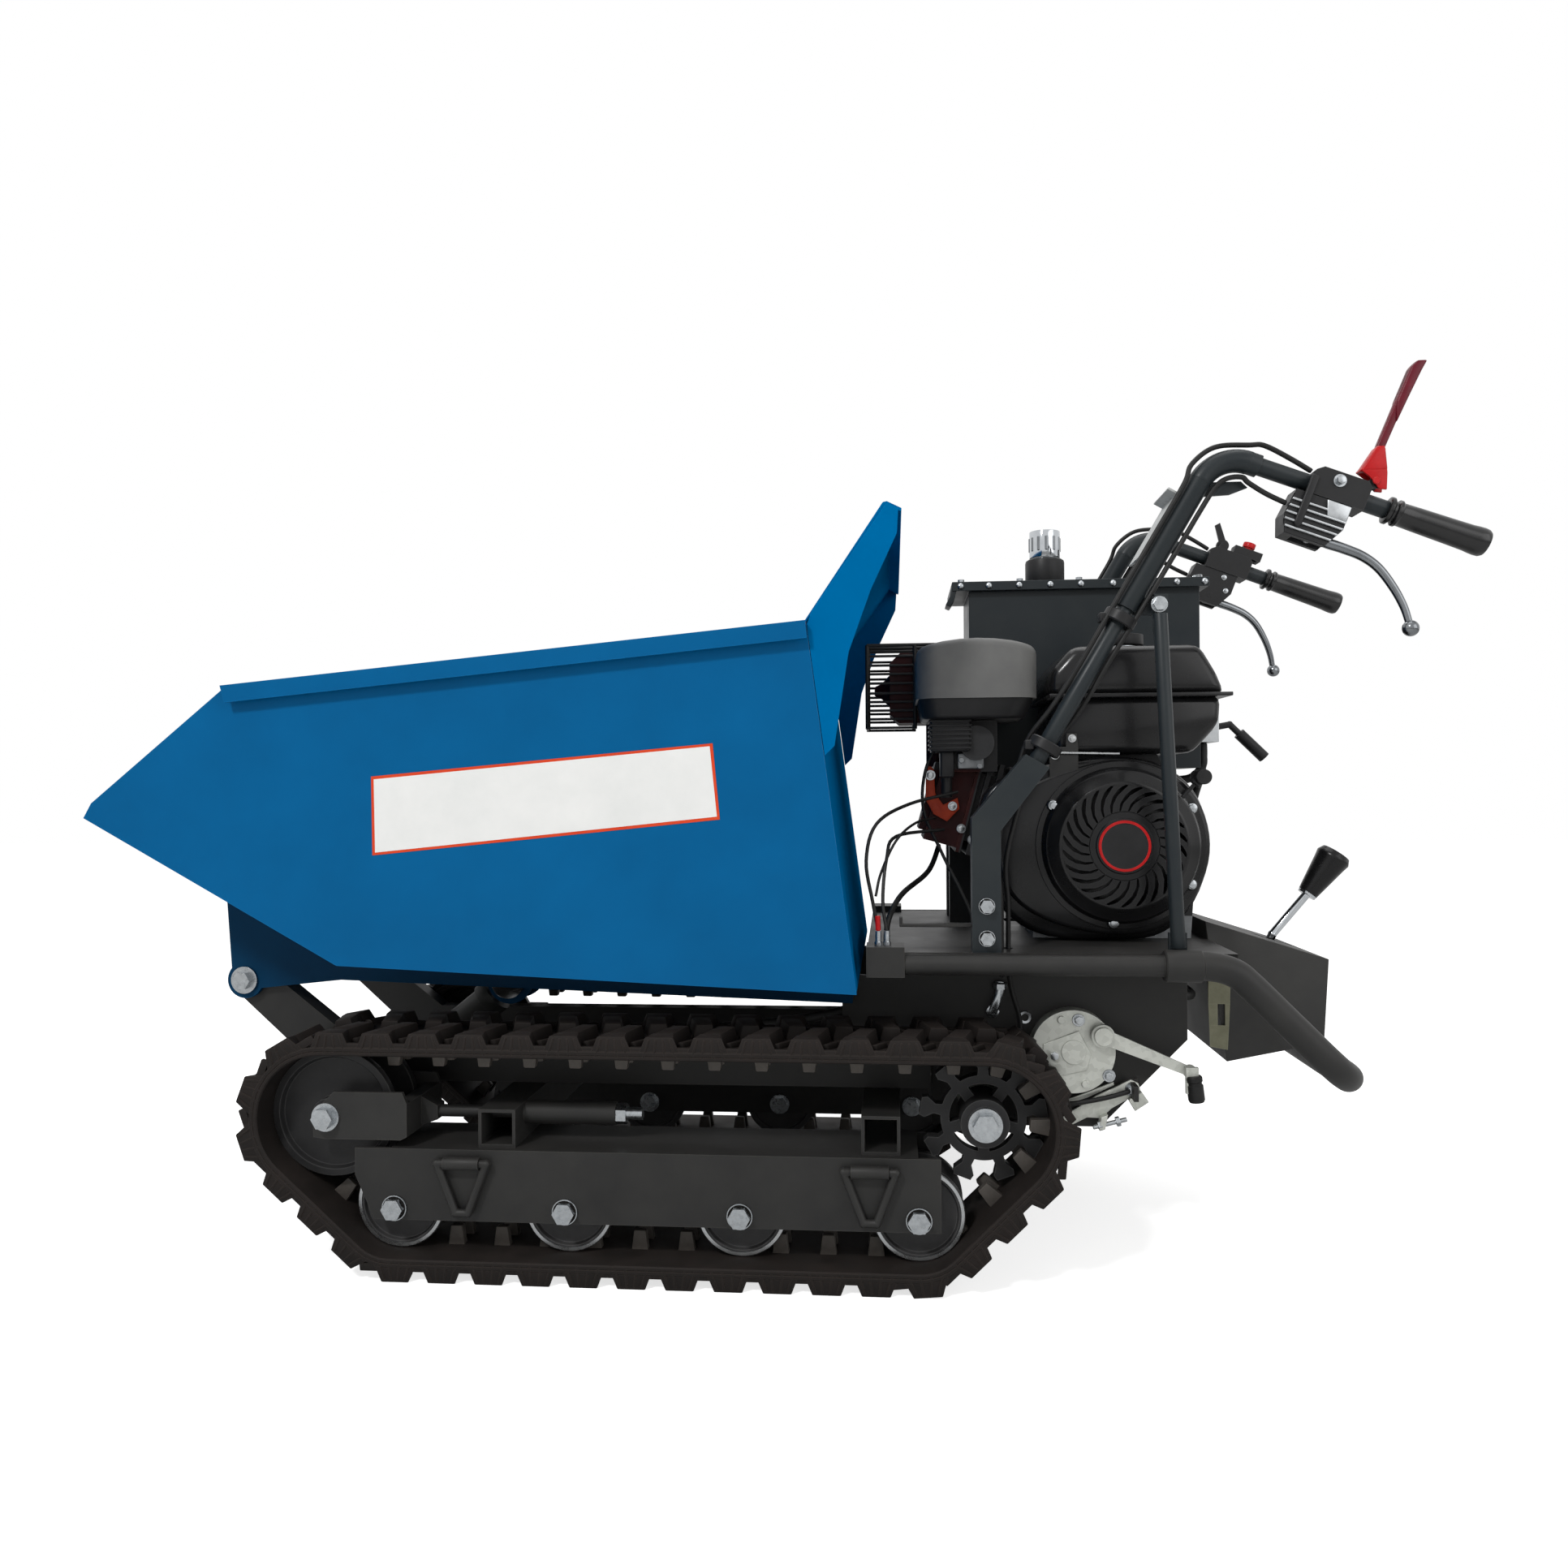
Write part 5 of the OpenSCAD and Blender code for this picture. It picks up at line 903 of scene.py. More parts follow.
@dataclass
class RecoilStarter:
    """Starter cover with an open grille, its bolts and a plain badge; depths count from its face."""

    centre: Point = (458.0, -192.0, 536.0)
    slots: int = 26
    slot_reach: Flat = (45.0, 81.0)
    slot_widths: Outline = ((0.0, 0.0), (0.06, 2.6), (0.3, 4.0), (0.6, 6.4), (0.82, 8.4), (0.93, 7.0),
                            (0.985, 3.4), (1.0, 0.0))
    sweep: float = 0.42
    sweep_power: float = 1.6
    grille: Flat = (3.0, 8.0)
    hub: Outline = ((0, 8), (45.6, 8), (45.6, 3), (37.5, 3), (36, 1.2), (34.5, 1.2), (34.5, 2.2), (0, 2.2))
    rim: Outline = ((80.4, 8), (80.4, 3), (83, 3), (85, 4.2), (97, 15), (99.5, 16), (103, 22), (104.5, 26),
                    (104.5, 29.5), (111.5, 30), (112, 31), (112, 33.5), (100, 33.5), (100, 26), (95, 20),
                    (84, 9), (80.4, 8))
    boss: Outline = ((0, -9), (6.8, -9), (8.2, -7.6), (8.6, 0), (0, 0))
    boss_depth: float = 33.5
    washer: Outline = ((0, -1.4), (5.6, -1.4), (6.6, -0.9), (6.6, 0), (0, 0))
    washer_depth: float = 24.6
    washer_t: float = 1.2
    bolt_circle: float = 104.0
    bolt_turns: tuple[float, ...] = (28, 149, 264, 330)
    bolt_across: float = 9.0
    bolt_h: float = 4.6
    badge: Outline = ((0, 2.4), (33, 2.4), (33, 1.0), (32, 0.6), (29.6, 0.6), (29.2, 1.2), (0, 1.2))
    ring: Outline = ((30.0, 1.0), (30.2, 0.2), (33.2, 0.2), (33.8, 1.0), (33.8, 2.4), (30.0, 2.4),
                     (30.0, 1.0))

    def bolt_spot(self, angle: float, depth: float) -> Point:
        """Place a point on the bolt circle.

        Args:
            angle: Degrees from the rear, upwards.
            depth: Distance behind the face.

        Returns:
            The point in the shared frame.
        """
        turn = math.radians(angle)
        x, y, z = self.centre
        return x + self.bolt_circle * math.cos(turn), y + depth, z + self.bolt_circle * math.sin(turn)

    def blade(self, shape: Shape, turn: float) -> None:
        """Add one bar of the grille, between two comma shaped slots.

        Args:
            shape: Shape that takes the bar.
            turn: Angle of the bar in radians.
        """
        low, high = self.slot_reach
        pitch = math.tau / self.slots
        x, y, z = self.centre
        one, two = [], []
        for share, width in self.slot_widths:
            radius = low + share * (high - low)
            lean = turn - self.sweep * share ** self.sweep_power
            gap = width / 2 / radius
            one.append((radius, lean + gap))
            two.append((radius, lean + pitch - gap))
        corners = [(x + r * math.cos(a), z + r * math.sin(a)) for r, a in one + two[::-1]]
        shape.plate(corners, y + self.grille[0], y + self.grille[1])

    def cover(self) -> None:
        """Build the cover: grille, hub, stepped flange and bolt bosses."""
        shape = Shape()
        for k in range(self.slots):
            self.blade(shape, math.tau * k / self.slots)
        shape.turned(self.hub, self.centre, FAR, 96).turned(self.rim, self.centre, FAR, 128)
        for turn in self.bolt_turns:
            shape.turned(self.boss, self.bolt_spot(turn, self.boss_depth), FAR, 24)
        made = shape.piece("recoil_cover_shell", "frame", ENGINE_BLACK, "engine_black")
        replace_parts(made, "recoil_cover")

    def bolts(self) -> None:
        """Set a washer and a head on each boss."""
        shape = Shape()
        for turn in self.bolt_turns:
            x, y, z = self.bolt_spot(turn, self.washer_depth)
            shape.turned(self.washer, (x, y, z), FAR, 24)
            shape.hexagon((x, y - self.washer_t, z), NEAR, self.bolt_across, self.bolt_h)
        shape.piece("recoil_bolts", "frame", ZINC, "zinc")

    def build(self) -> None:
        """Build the cover, its bolts and the plain badge with its ring."""
        self.cover()
        self.bolts()
        disc = Shape().turned(self.badge, self.centre, FAR, 96)
        disc.piece("recoil_badge_disc", "frame", PLASTIC_BLACK, "engine_black")
        ring = Shape().turned(self.ring, self.centre, FAR, 96)
        ring.piece("recoil_badge_ring", "frame", PLASTIC_RED, "red_plastic")


@dataclass
class FanShroud:
    """A deep scroll and the raised front round the recoil starter."""

    scroll: Outline = (
        (270, 500), (270, 590), (294, 624), (346, 642), (400, 651), (458, 656), (514, 648), (558, 616),
        (580, 562), (580, 510), (558, 450), (514, 410), (458, 407), (370, 407), (320, 428), (288, 468))
    scroll_y: Flat = (-143.0, -106.0)
    scroll_edge: float = 9.0
    front: Outline = (
        (298, 500), (296, 562), (316, 604), (350, 624), (400, 640), (458, 653), (516, 641), (558, 607),
        (577, 556), (575, 506), (550, 450), (510, 421), (458, 414), (404, 420), (348, 438), (312, 466))
    front_y: Flat = (-158.4, -139.0)
    front_edge: float = 6.0

    def build(self) -> None:
        """Build the shroud."""
        shape = Shape().plate(rounded(self.scroll), *self.scroll_y, self.scroll_edge, rims_only=True)
        shape.plate(rounded(self.front), *self.front_y, self.front_edge, rims_only=True)
        made = shape.piece("fan_shroud_shell", "frame", ENGINE_BLACK, "engine_black", 40)
        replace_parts(made, "fan_shroud")


@dataclass
class FuelTank:
    """Two pressed halves, the flange between them and the filler neck."""

    x: Flat = (370.0, 604.0)
    y: Flat = (-150.0, 60.0)
    z: Flat = (658.4, 805.0)
    seam_z: float = 737.0
    edge: float = 13.0
    flange_half: float = 2.6
    flange_edge: float = 1.2
    filler: Flat = (480.0, -45.0)
    neck: Outline = ((0, -6), (26, -6), (26, 8), (23, 9), (0, 9))

    def build(self) -> None:
        """Build the tank and its neck."""
        (x0, x1), (y0, y1), (z0, z1), seam = self.x, self.y, self.z, self.seam_z
        upper = [(x0, seam), (x1 - 2, seam), (x1 - 14, seam + 30), (x1 - 36, z1), (x0 + 30, z1),
                 (x0, z1 - 34)]
        lower = [(x0 + 4, seam), (x1 - 8, seam), (x1 - 10, z0 + 40), (x1 - 46, z0), (x0 + 8, z0)]
        flange = [(x0 - 3, y0 - 5), (x1 + 3.5, y0 - 5), (x1 + 3.5, y1 + 5), (x0 - 3, y1 + 5)]
        shape = Shape().plate(upper, y0 + 4, y1 - 4, self.edge)
        shape.plate(lower, y0 + 6, y1 - 6, self.edge)
        shape.plate(flange, seam - self.flange_half, seam + self.flange_half, self.flange_edge, Plane.XY)
        made = shape.piece("fuel_tank_shell", "frame", ENGINE_BLACK, "engine_black")
        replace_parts(made, "fuel_tank")
        neck = Shape().turned(self.neck, (*self.filler, z1), UP)
        neck.piece("fuel_neck", "frame", ZINC, "zinc")


@dataclass
class AirFilter:
    """A cover with an arched top over a darker tray."""

    x: Flat = (190.0, 352.0)
    y: Flat = (-154.0, 18.0)
    z: Flat = (708.0, 820.0)
    cover_foot: float = 28.0
    cover_over: float = 1.0
    crown_room: float = 14.0
    crown: Flat = (12.0, 1.6)
    cuts: tuple[tuple[float, ...], ...] = ((-46, -23, 0, 23, 46), (-46, 0, 46))
    cover_corner: float = 30.0
    cover_rim: float = 11.0
    top_slope: float = 0.7
    side_slope: float = 0.3
    tray_h: float = 34.0
    tray_less: Flat = (2.0, 4.0)
    tray_pull_x: Flat = (6.0, -14.0)
    tray_pull_y: Flat = (6.0, -6.0)
    tray_corner: float = 28.0
    tray_edge: float = 5.0

    def cover(self) -> None:
        """Build the cover: a box cut across, arched and rounded."""
        shape = Shape()
        (x0, x1), (y0, y1) = self.x, self.y
        low, high = self.z[0] + self.cover_foot, self.z[1] - self.crown_room
        made = bmesh.ops.create_cube(shape.bm, size=1.0)["verts"]
        mid = Vector(((x0 + x1) / 2, (y0 + y1) / 2, (low + high) / 2))
        half = Vector(((x1 - x0) / 2 + self.cover_over, (y1 - y0) / 2, (high - low) / 2))
        bmesh.ops.scale(shape.bm, vec=half * 2, verts=made)
        bmesh.ops.translate(shape.bm, vec=mid, verts=made)
        for axis, steps in enumerate(self.cuts):
            across = Vector()
            across[axis] = 1
            for step in steps:
                bmesh.ops.bisect_plane(shape.bm, geom=[*shape.bm.verts, *shape.bm.edges, *shape.bm.faces],
                                       plane_co=mid + across * step, plane_no=across)
        for v in shape.bm.verts:
            if v.co.z > high - 1:
                off_x, off_y = (v.co.x - mid.x) / half.x, (v.co.y - mid.y) / half.y
                v.co.z += self.crown[0] * (1 - off_x ** 2) + self.crown[1] * (1 - off_y ** 2)
        ends = {v for v in shape.bm.verts
                if abs(v.co.x - mid.x) > half.x - 1 and abs(v.co.y - mid.y) > half.y - 1}
        shape.soften({e for e in shape.bm.edges if ends.issuperset(e.verts)}, self.cover_corner, 8)
        shape.bm.normal_update()
        rim = set()
        for e in shape.bm.edges:
            slopes = [f.normal.z for f in e.link_faces]
            if len(slopes) == 2 and max(slopes) > self.top_slope and abs(min(slopes)) < self.side_slope:
                rim.add(e)
        shape.soften(rim, self.cover_rim, 4)
        cover = shape.piece("air_filter_cover", "frame", FILTER_GREY, "filter_plastic", 50)
        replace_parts(cover, "air_filter")

    def tray(self) -> None:
        """Build the tray, drawn in towards its foot."""
        shape = Shape()
        (x0, x1), (y0, y1), z0 = self.x, self.y, self.z[0]
        mid_x, mid_y = (x0 + x1) / 2, (y0 + y1) / 2
        made = bmesh.ops.create_cube(shape.bm, size=1.0)["verts"]
        less_x, less_y = self.tray_less
        bmesh.ops.scale(shape.bm, vec=(x1 - x0 - less_x, y1 - y0 - less_y, self.tray_h), verts=made)
        bmesh.ops.translate(shape.bm, vec=(mid_x, mid_y, z0 + self.tray_h / 2), verts=made)
        for v in made:
            if v.co.z < z0 + 1:
                v.co.x += self.tray_pull_x[0] if v.co.x < mid_x else self.tray_pull_x[1]
                v.co.y += self.tray_pull_y[0] if v.co.y < mid_y else self.tray_pull_y[1]
        upright = {e for v in made for e in v.link_edges if abs(e.verts[0].co.z - e.verts[1].co.z) > 1}
        shape.soften(upright, self.tray_corner, 8)
        shape.bm.faces.ensure_lookup_table()
        foot = min(shape.bm.faces, key=lambda f: f.calc_center_median().z)
        shape.soften(set(foot.edges), self.tray_edge, 3)
        shape.piece("air_filter_tray", "frame", PLASTIC_BLACK, "filter_plastic", 50)

    def build(self) -> None:
        """Build the filter box."""
        self.cover()
        self.tray()


@dataclass
class Carburettor:
    """The ribbed cover under the air filter, the pipe below it and the body beside it."""

    cover: Box = ((209, -126, 664), (262, -62, 710))
    ribs: int = 7
    rib_x: Flat = (206.5, 264.5)
    rib_y: Flat = (-129.0, -60.0)
    rib_z: float = 667.0
    rib_pitch: float = 6.3
    rib_t: float = 3.2
    throat: Box = ((222, -116, 628), (241, -72, 665))
    pipe: Box = ((231, -94, 600), (231, -94, 630))
    pipe_r: float = 8.0
    screws: Outline = ((251, 652), (266, 658), (276, 644))
    screw_y: Flat = (-118.0, -92.0)
    screw_r: float = 4.2
    body: Box = ((246, -112, 640), (282, -92, 662))

    def build(self) -> None:
        """Build the cover and the body."""
        shape = Shape().block(*self.cover, 2.0)
        (x0, x1), (y0, y1) = self.rib_x, self.rib_y
        for k in range(self.ribs):
            z = self.rib_z + self.rib_pitch * k
            shape.block((x0, y0, z), (x1, y1, z + self.rib_t), 0.9, 2)
        shape.block(*self.throat, 3.0)
        shape.bar(*self.pipe, self.pipe_r)
        shape.piece("carburettor_cover", "frame", PLASTIC_BLACK, "black_plastic")
        small = Shape()
        for x, z in self.screws:
            small.bar((x, self.screw_y[0], z), (x, self.screw_y[1], z), self.screw_r, 0.8, 16)
        small.block(*self.body, 2.0)
        small.piece("carburettor_body", "frame", ENGINE_ALLOY, "engine_alloy")


@dataclass
class CylinderHead:
    """The red bracket and the bolts on the near side of the cylinder head."""

    bracket: Outline = ((203, 645), (214, 641), (216, 606), (227, 590), (247, 600), (250, 584), (232, 566),
                        (213, 577), (202, 597))
    bracket_y: Flat = (-80.0, -76.0)
    pin: Box = ((208, -78, 640), (208, -60, 640))
    pin_r: float = 5.0
    bolts: tuple[tuple[Point, float], ...] = (
        ((209, -80, 632), 9.0), ((240, -80, 588), 8.0), ((268, -78.4, 540), 9.0), ((252, -78.4, 556), 8.0))

    def build(self) -> None:
        """Build the bracket and the bolts."""
        red = Shape().plate(self.bracket, *self.bracket_y, 1.0)
        red.bar(*self.pin, self.pin_r)
        red.piece("head_bracket", "frame", HEAD_RED, "red_plastic")
        bolts = Shape()
        for seat, across in self.bolts:
            bolts.bolt(seat, NEAR, across)
        bolts.piece("head_bolts", "frame", ZINC, "zinc")


@dataclass
class Governor:
    """The governor rod and its bracket above the shroud."""

    bracket: Outline = ((366, 620), (404, 620), (404, 668), (402, 686), (389, 686), (388, 668), (366, 668))
    bracket_y: Flat = (-157.0, -154.5)
    rod: Box = ((378, -158.6, 660), (458, -158.6, 658))
    rod_r: float = 1.7
    bolts: tuple[tuple[Point, float], ...] = (((373, -157, 657), 7.5), ((396, -157, 679), 6.5))

    def build(self) -> None:
        """Build the bracket, and the rod with its bolts."""
        bracket = Shape().plate(self.bracket, *self.bracket_y, 0.6)
        bracket.piece("governor_bracket", "frame", FRAME_BLACK, "engine_black")
        rod = Shape().bar(*self.rod, self.rod_r, 0.4, 12)
        for seat, across in self.bolts:
            rod.bolt(seat, NEAR, across)
        rod.piece("governor_rod", "frame", BARE_STEEL, "steel_plain")


@dataclass
class Exhaust:
    """The muffler's outlet cone and the wire guard round it."""

    cone: Outline = ((0, 25), (6, 25), (8, 23), (12, 14), (25, 2), (31, 0), (31, -3), (0, -3))
    outlet: Point = (154, 62, 763)
    loop: Outline = ((190, 20), (126, 20), (119.5, 22), (118, 28), (118, 100), (119.5, 106), (126, 108),
                     (190, 108))
    loop_z: tuple[float, ...] = (705, 718, 731, 744, 757, 772, 786, 799, 813, 829)
    loop_r: float = 2.0
    posts: Outline = ((118.6, 20.6), (118.6, 107.4), (190, 20), (190, 108))
    post_z: Flat = (703.0, 830.0)
    post_r: float = 3.0
    roof_x: Flat = (118.0, 266.0)
    roof_y: tuple[float, ...] = (20, 64, 108)
    roof_z: float = 829.5
    roof_r: float = 2.6
    end_bar: Box = ((264, 18, 829.5), (264, 110, 829.5))
    hangers_y: tuple[float, ...] = (36, 92)
    hanger_z: Flat = (829.0, 812.0)
    hanger_x: float = 190.0

    def guard(self) -> Shape:
        """Bend and join the wires of the guard.

        Returns:
            The guard's shape.
        """
        rods: list[tuple[Point, Point, float]] = []
        for x, y in self.posts:
            rods.append(((x, y, self.post_z[0]), (x, y, self.post_z[1]), self.post_r))
        for y in self.roof_y:
            rods.append(((self.roof_x[0], y, self.roof_z), (self.roof_x[1], y, self.roof_z), self.roof_r))
        rods.append((*self.end_bar, self.roof_r))
        for y in self.hangers_y:
            rods.append(((self.hanger_x, y, self.hanger_z[0]), (self.hanger_x, y, self.hanger_z[1]),
                         self.post_r))
        shape = Shape()
        for z in self.loop_z:
            shape.hose([(x, y, z) for x, y in self.loop], self.loop_r, 10, 3)
        for start, end, radius in rods:
            shape.bar(start, end, radius, 0.6, 14)
        return shape

    def build(self) -> None:
        """Build the cone and the guard."""
        cone = Shape().turned(self.cone, self.outlet, (-1, 0, 0), 40)
        cone.piece("muffler_outlet", "frame", MUFFLER_BROWN, "muffler_brown")
        made = self.guard().piece("muffler_guard_wires", "frame", FRAME_BLACK, "frame_black")
        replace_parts(made, "muffler_guard")


@dataclass
class EngineWires:
    """The thin control wires in front of the engine, with their end sleeves."""

    wires: tuple[tuple[float, Route], ...] = (
        (2.3, ((232, -92, 690), (204, -98, 646), (198, -104, 586), (222, -112, 526), (250, -122, 468),
               (264, -126, 434), (268, -127, 405.4))),
        (2.3, ((246, -100, 608), (178, -146, 592), (134, -214, 567), (121, -250, 521), (129, -262, 470),
               (136, -266, 432), (136, -266, 414))),
        (2.3, ((226, -112, 556), (160, -172, 549), (147, -234, 522), (142, -256, 470), (147, -264, 430),
               (147, -264, 414))),
        (1.8, ((214, -104, 572), (186, -150, 566), (160, -205, 545), (140, -240, 505), (133, -256, 476))))
    ferrule: Outline = ((0, 0), (5, 0), (5, 4), (3.8, 5), (3.8, 18), (0, 18))
    ferrule_spots: Route = ((136, -266, 414.8), (147, -264, 414.8))
    sleeve: Box = ((136, -266, 433), (135.4, -265.6, 452))
    sleeve_r: float = 3.4

    def build(self) -> None:
        """Lay the wires and set their ends."""
        shape = Shape()
        for radius, route in self.wires:
            shape.hose(route, radius, 10)
        shape.piece("engine_wires", "frame", HOSE_RUBBER, "hose_rubber")
        ends = Shape()
        for spot in self.ferrule_spots:
            ends.turned(self.ferrule, spot, UP, 20)
        ends.piece("wire_end_ferrules", "frame", ZINC, "zinc")
        sleeve = Shape().bar(*self.sleeve, self.sleeve_r, 0.8, 16)
        sleeve.piece("wire_sleeve", "frame", PLASTIC_RED, "red_plastic")


@dataclass(frozen=True)
class Wedge:
    """A block of the tread whose near and far ends have their own widths along the belt.

    Each width is a start and an end along the belt. The reach is the near and far end across it, and the
    height is the foot and the top above its inner face.
    """

    foot: Flat
    top: Flat
    far_foot: Flat
    far_top: Flat
    reach: Flat
    height: Flat
    edge: float = 0.0

    def add(self, shape: Shape) -> None:
        """Add the block to a shape in belt coordinates.

        Args:
            shape: Shape that takes the block.
        """
        made = bmesh.ops.create_cube(shape.bm, size=1.0)["verts"]
        for v in made:
            late, far, high = (c > 0 for c in v.co)
            if far:
                width = self.far_top if high else self.far_foot
            else:
                width = self.top if high else self.foot
            v.co = (width[late], self.reach[far], self.height[high])
        shape.soften({e for v in made for e in v.link_edges}, self.edge, 2)


@dataclass
class RunningGear:
    """Rubber tracks with their tread, and the worn rims of the road rollers."""

    wheels: tuple[Point, ...] = ((266.0, 200.0, 80.44), (-566.0, 200.0, 82.0), (-476.0, 87.0, 58.0),
                                 (184.0, 87.0, 58.0))
    belt_t: float = 11.0
    lug_h: float = 18.0
    pitch: float = 60.0
    stations: int = 6
    middle_y: float = 265.0
    half_w: float = 80.0
    horn_h: float = 24.0
    horn_y: Flat = (12.0, 24.0)
    horn_foot: float = 3.0
    horn_edge: float = 1.6
    rib_spots: tuple[float, ...] = (-13.0, -4.5, 4.5, 13.0)
    rib_spread: float = 1.55
    rollers: int = 4
    first_roller: Flat = (-476.0, 87.0)
    roller_pitch: float = 220.0
    rim_out: float = 39.0
    rim: Outline = ((51.8, 0.0), (52.4, -0.9), (56.2, -0.9), (57.3, 0.4), (57.3, 2.0), (51.8, 2.0),
                    (51.8, 0.0))

    def runs(self) -> list[tuple[Point, float, float, float]]:
        """Work out the arcs and straights of the belt.

        Returns:
            For each wheel its circle, the angles where the belt meets and leaves it, and the straight
            after it.
        """
        leave, straight = [], []
        for a, b in zip(self.wheels, self.wheels[1:] + self.wheels[:1]):
            gap = Vector((b[0] - a[0], b[1] - a[1]))
            leave.append(math.atan2(gap.y, gap.x) - math.acos((a[2] - b[2]) / gap.length))
            straight.append(math.sqrt(gap.length_squared - (a[2] - b[2]) ** 2))
        return [(wheel, leave[k - 1], leave[k - 1] + (leave[k] - leave[k - 1]) % math.tau, straight[k])
                for k, wheel in enumerate(self.wheels)]

    def length(self) -> float:
        """Length of the belt along its middle."""
        return sum((w[2] + self.belt_t / 2) * (b - a) + run for w, a, b, run in self.runs())

    def place(self, way: float) -> Matrix:
        """Find the frame of the belt at a distance along it.

        Args:
            way: Distance along the middle of the belt.

        Returns:
            Matrix whose X runs along the belt, Y across it and Z outwards from its inner face.
        """
        way %= self.length()
        for wheel, start, stop, run in self.runs():
            arc = (wheel[2] + self.belt_t / 2) * (stop - start)
            if way <= arc + run:
                angle = start + (stop - start) * min(way / arc, 1.0)
                out = Vector((math.cos(angle), 0, math.sin(angle)))
                along = Vector((-out.z, 0, out.x))
                spot = Vector((wheel[0], 0, wheel[1])) + out * wheel[2] + along * max(way - arc, 0.0)
                turn = Matrix((-along, Vector(FAR), out)).transposed().to_4x4()
                return Matrix.Translation(spot) @ turn
            way -= arc + run
        return self.place(0.0)

    def lug(self) -> Shape:
        """Build one lug of the near row: flared edge block with ribs, slanting bar and pocket walls.

        Returns:
            The lug in belt coordinates.
        """
        edge, skin, top = -self.half_w, self.belt_t, self.belt_t + self.lug_h
        blocks = [
            Wedge((-29, 29), (-18, 17), (-18, 18), (-13, 13), (edge + 1.2, edge + 27), (1.5, top), 1.4),
            Wedge((-17, 17), (-12, 12), (-2, 28), (3, 24), (edge + 25, -3), (8, top), 1.6),
            Wedge((14, 46), (15, 45), (14, 46), (15, 45), (edge + 2, edge + 8), (6, skin + 5), 1.2),
            Wedge((18, 27), (19, 25), (30, 40), (31, 38), (edge + 26, edge + 46), (8, skin + 7), 1.2)]
        for spot in self.rib_spots:
            low = spot * self.rib_spread
            foot, crest = (low - 1.3, low + 1.3), (spot - 1.1, spot + 1.1)
            blocks.append(Wedge(foot, crest, foot, crest, (edge + 0.1, edge + 3), (3.0, top - 3), 0.5))
        shape = Shape()
        for block in blocks:
            block.add(shape)
        return shape

    def horn(self) -> Shape:
        """Build the pair of guide horns of one link.

        Returns:
            The horns in belt coordinates.
        """
        shape = Shape()
        low, high = self.horn_y
        foot, tip, height = (-11, 11), (-7.5, 7.5), (self.horn_foot, -self.horn_h)
        for reach in ((-high, -low), (low, high)):
            Wedge(foot, tip, foot, tip, reach, height).add(shape)
        bmesh.ops.recalc_face_normals(shape.bm, faces=shape.bm.faces)
        shape.soften(set(shape.bm.edges), self.horn_edge, 2)
        return shape

    def repeat(self, shape: Shape, unit: Shape, ways: Sequence[float], flip: bool, shift: float) -> None:
        """Set copies of one unit along the belt.

        Args:
            shape: Shape that takes the copies.
            unit: Unit in belt coordinates.
            ways: Distances along the belt.
            flip: Whether the copies are mirrored across the belt.
            shift: Middle of the belt across the machine.
        """
        mould = bpy.data.meshes.new("mould")
        unit.bm.to_mesh(mould)
        for way in ways:
            count = len(shape.bm.verts)
            faces = len(shape.bm.faces)
            shape.bm.from_mesh(mould)
            shape.bm.verts.ensure_lookup_table()
            shape.bm.faces.ensure_lookup_table()
            fresh = shape.bm.verts[count:]
            if flip:
                bmesh.ops.scale(shape.bm, vec=(1, -1, 1), verts=fresh)
                bmesh.ops.reverse_faces(shape.bm, faces=shape.bm.faces[faces:])
            move = Matrix.Translation((0, shift, 0)) @ self.place(way)
            bmesh.ops.transform(shape.bm, matrix=move, verts=fresh)
        bpy.data.meshes.remove(mould)

    def section(self) -> list[Flat]:
        """Draw the section of the belt, with a groove along each edge.

        Returns:
            Pairs of the distance from the middle of the belt and the height above its inner face.
        """
        w, t = self.half_w, self.belt_t
        right = [(w - 1.6, 0), (w, 1.6), (w, 4.2), (w - 0.9, 4.8), (w - 0.9, 5.8), (w, 6.4), (w, t - 1.5),
                 (w - 1.5, t)]
        left = [(-y, d) for y, d in reversed(right)]
        return [left[-1], *right, *left[:-1]]

    def belt(self, shape: Shape, shift: float) -> None:
        """Sweep the belt section round the wheels.

        Args:
            shape: Shape that takes the belt.
            shift: Middle of the belt across the machine.
        """
        side = Matrix.Translation((0, shift, 0))
        here = side @ self.place(0.0)
        dots = [shape.bm.verts.new(here @ Vector((0, y, d))) for y, d in self.section()]
        edges = [shape.bm.edges.new((a, b)) for a, b in zip(dots, dots[1:] + dots[:1])]
        stations = self.stations * round(self.length() / self.pitch)
        made = set(dots)
        for k in range(1, stations + 1):
            there = side @ self.place(self.length() * k / stations)
            grown = bmesh.ops.extrude_edge_only(shape.bm, edges=edges)["geom"]
            fresh = [g for g in grown if isinstance(g, bmesh.types.BMVert)]
            edges = [g for g in grown
                     if isinstance(g, bmesh.types.BMEdge) and all(v in fresh for v in g.verts)]
            bmesh.ops.transform(shape.bm, matrix=there @ here.inverted(), verts=fresh)
            here = there
            made.update(fresh)
        bmesh.ops.remove_doubles(shape.bm, verts=list(made), dist=0.05)
        bmesh.ops.recalc_face_normals(shape.bm, faces=shape.bm.faces)

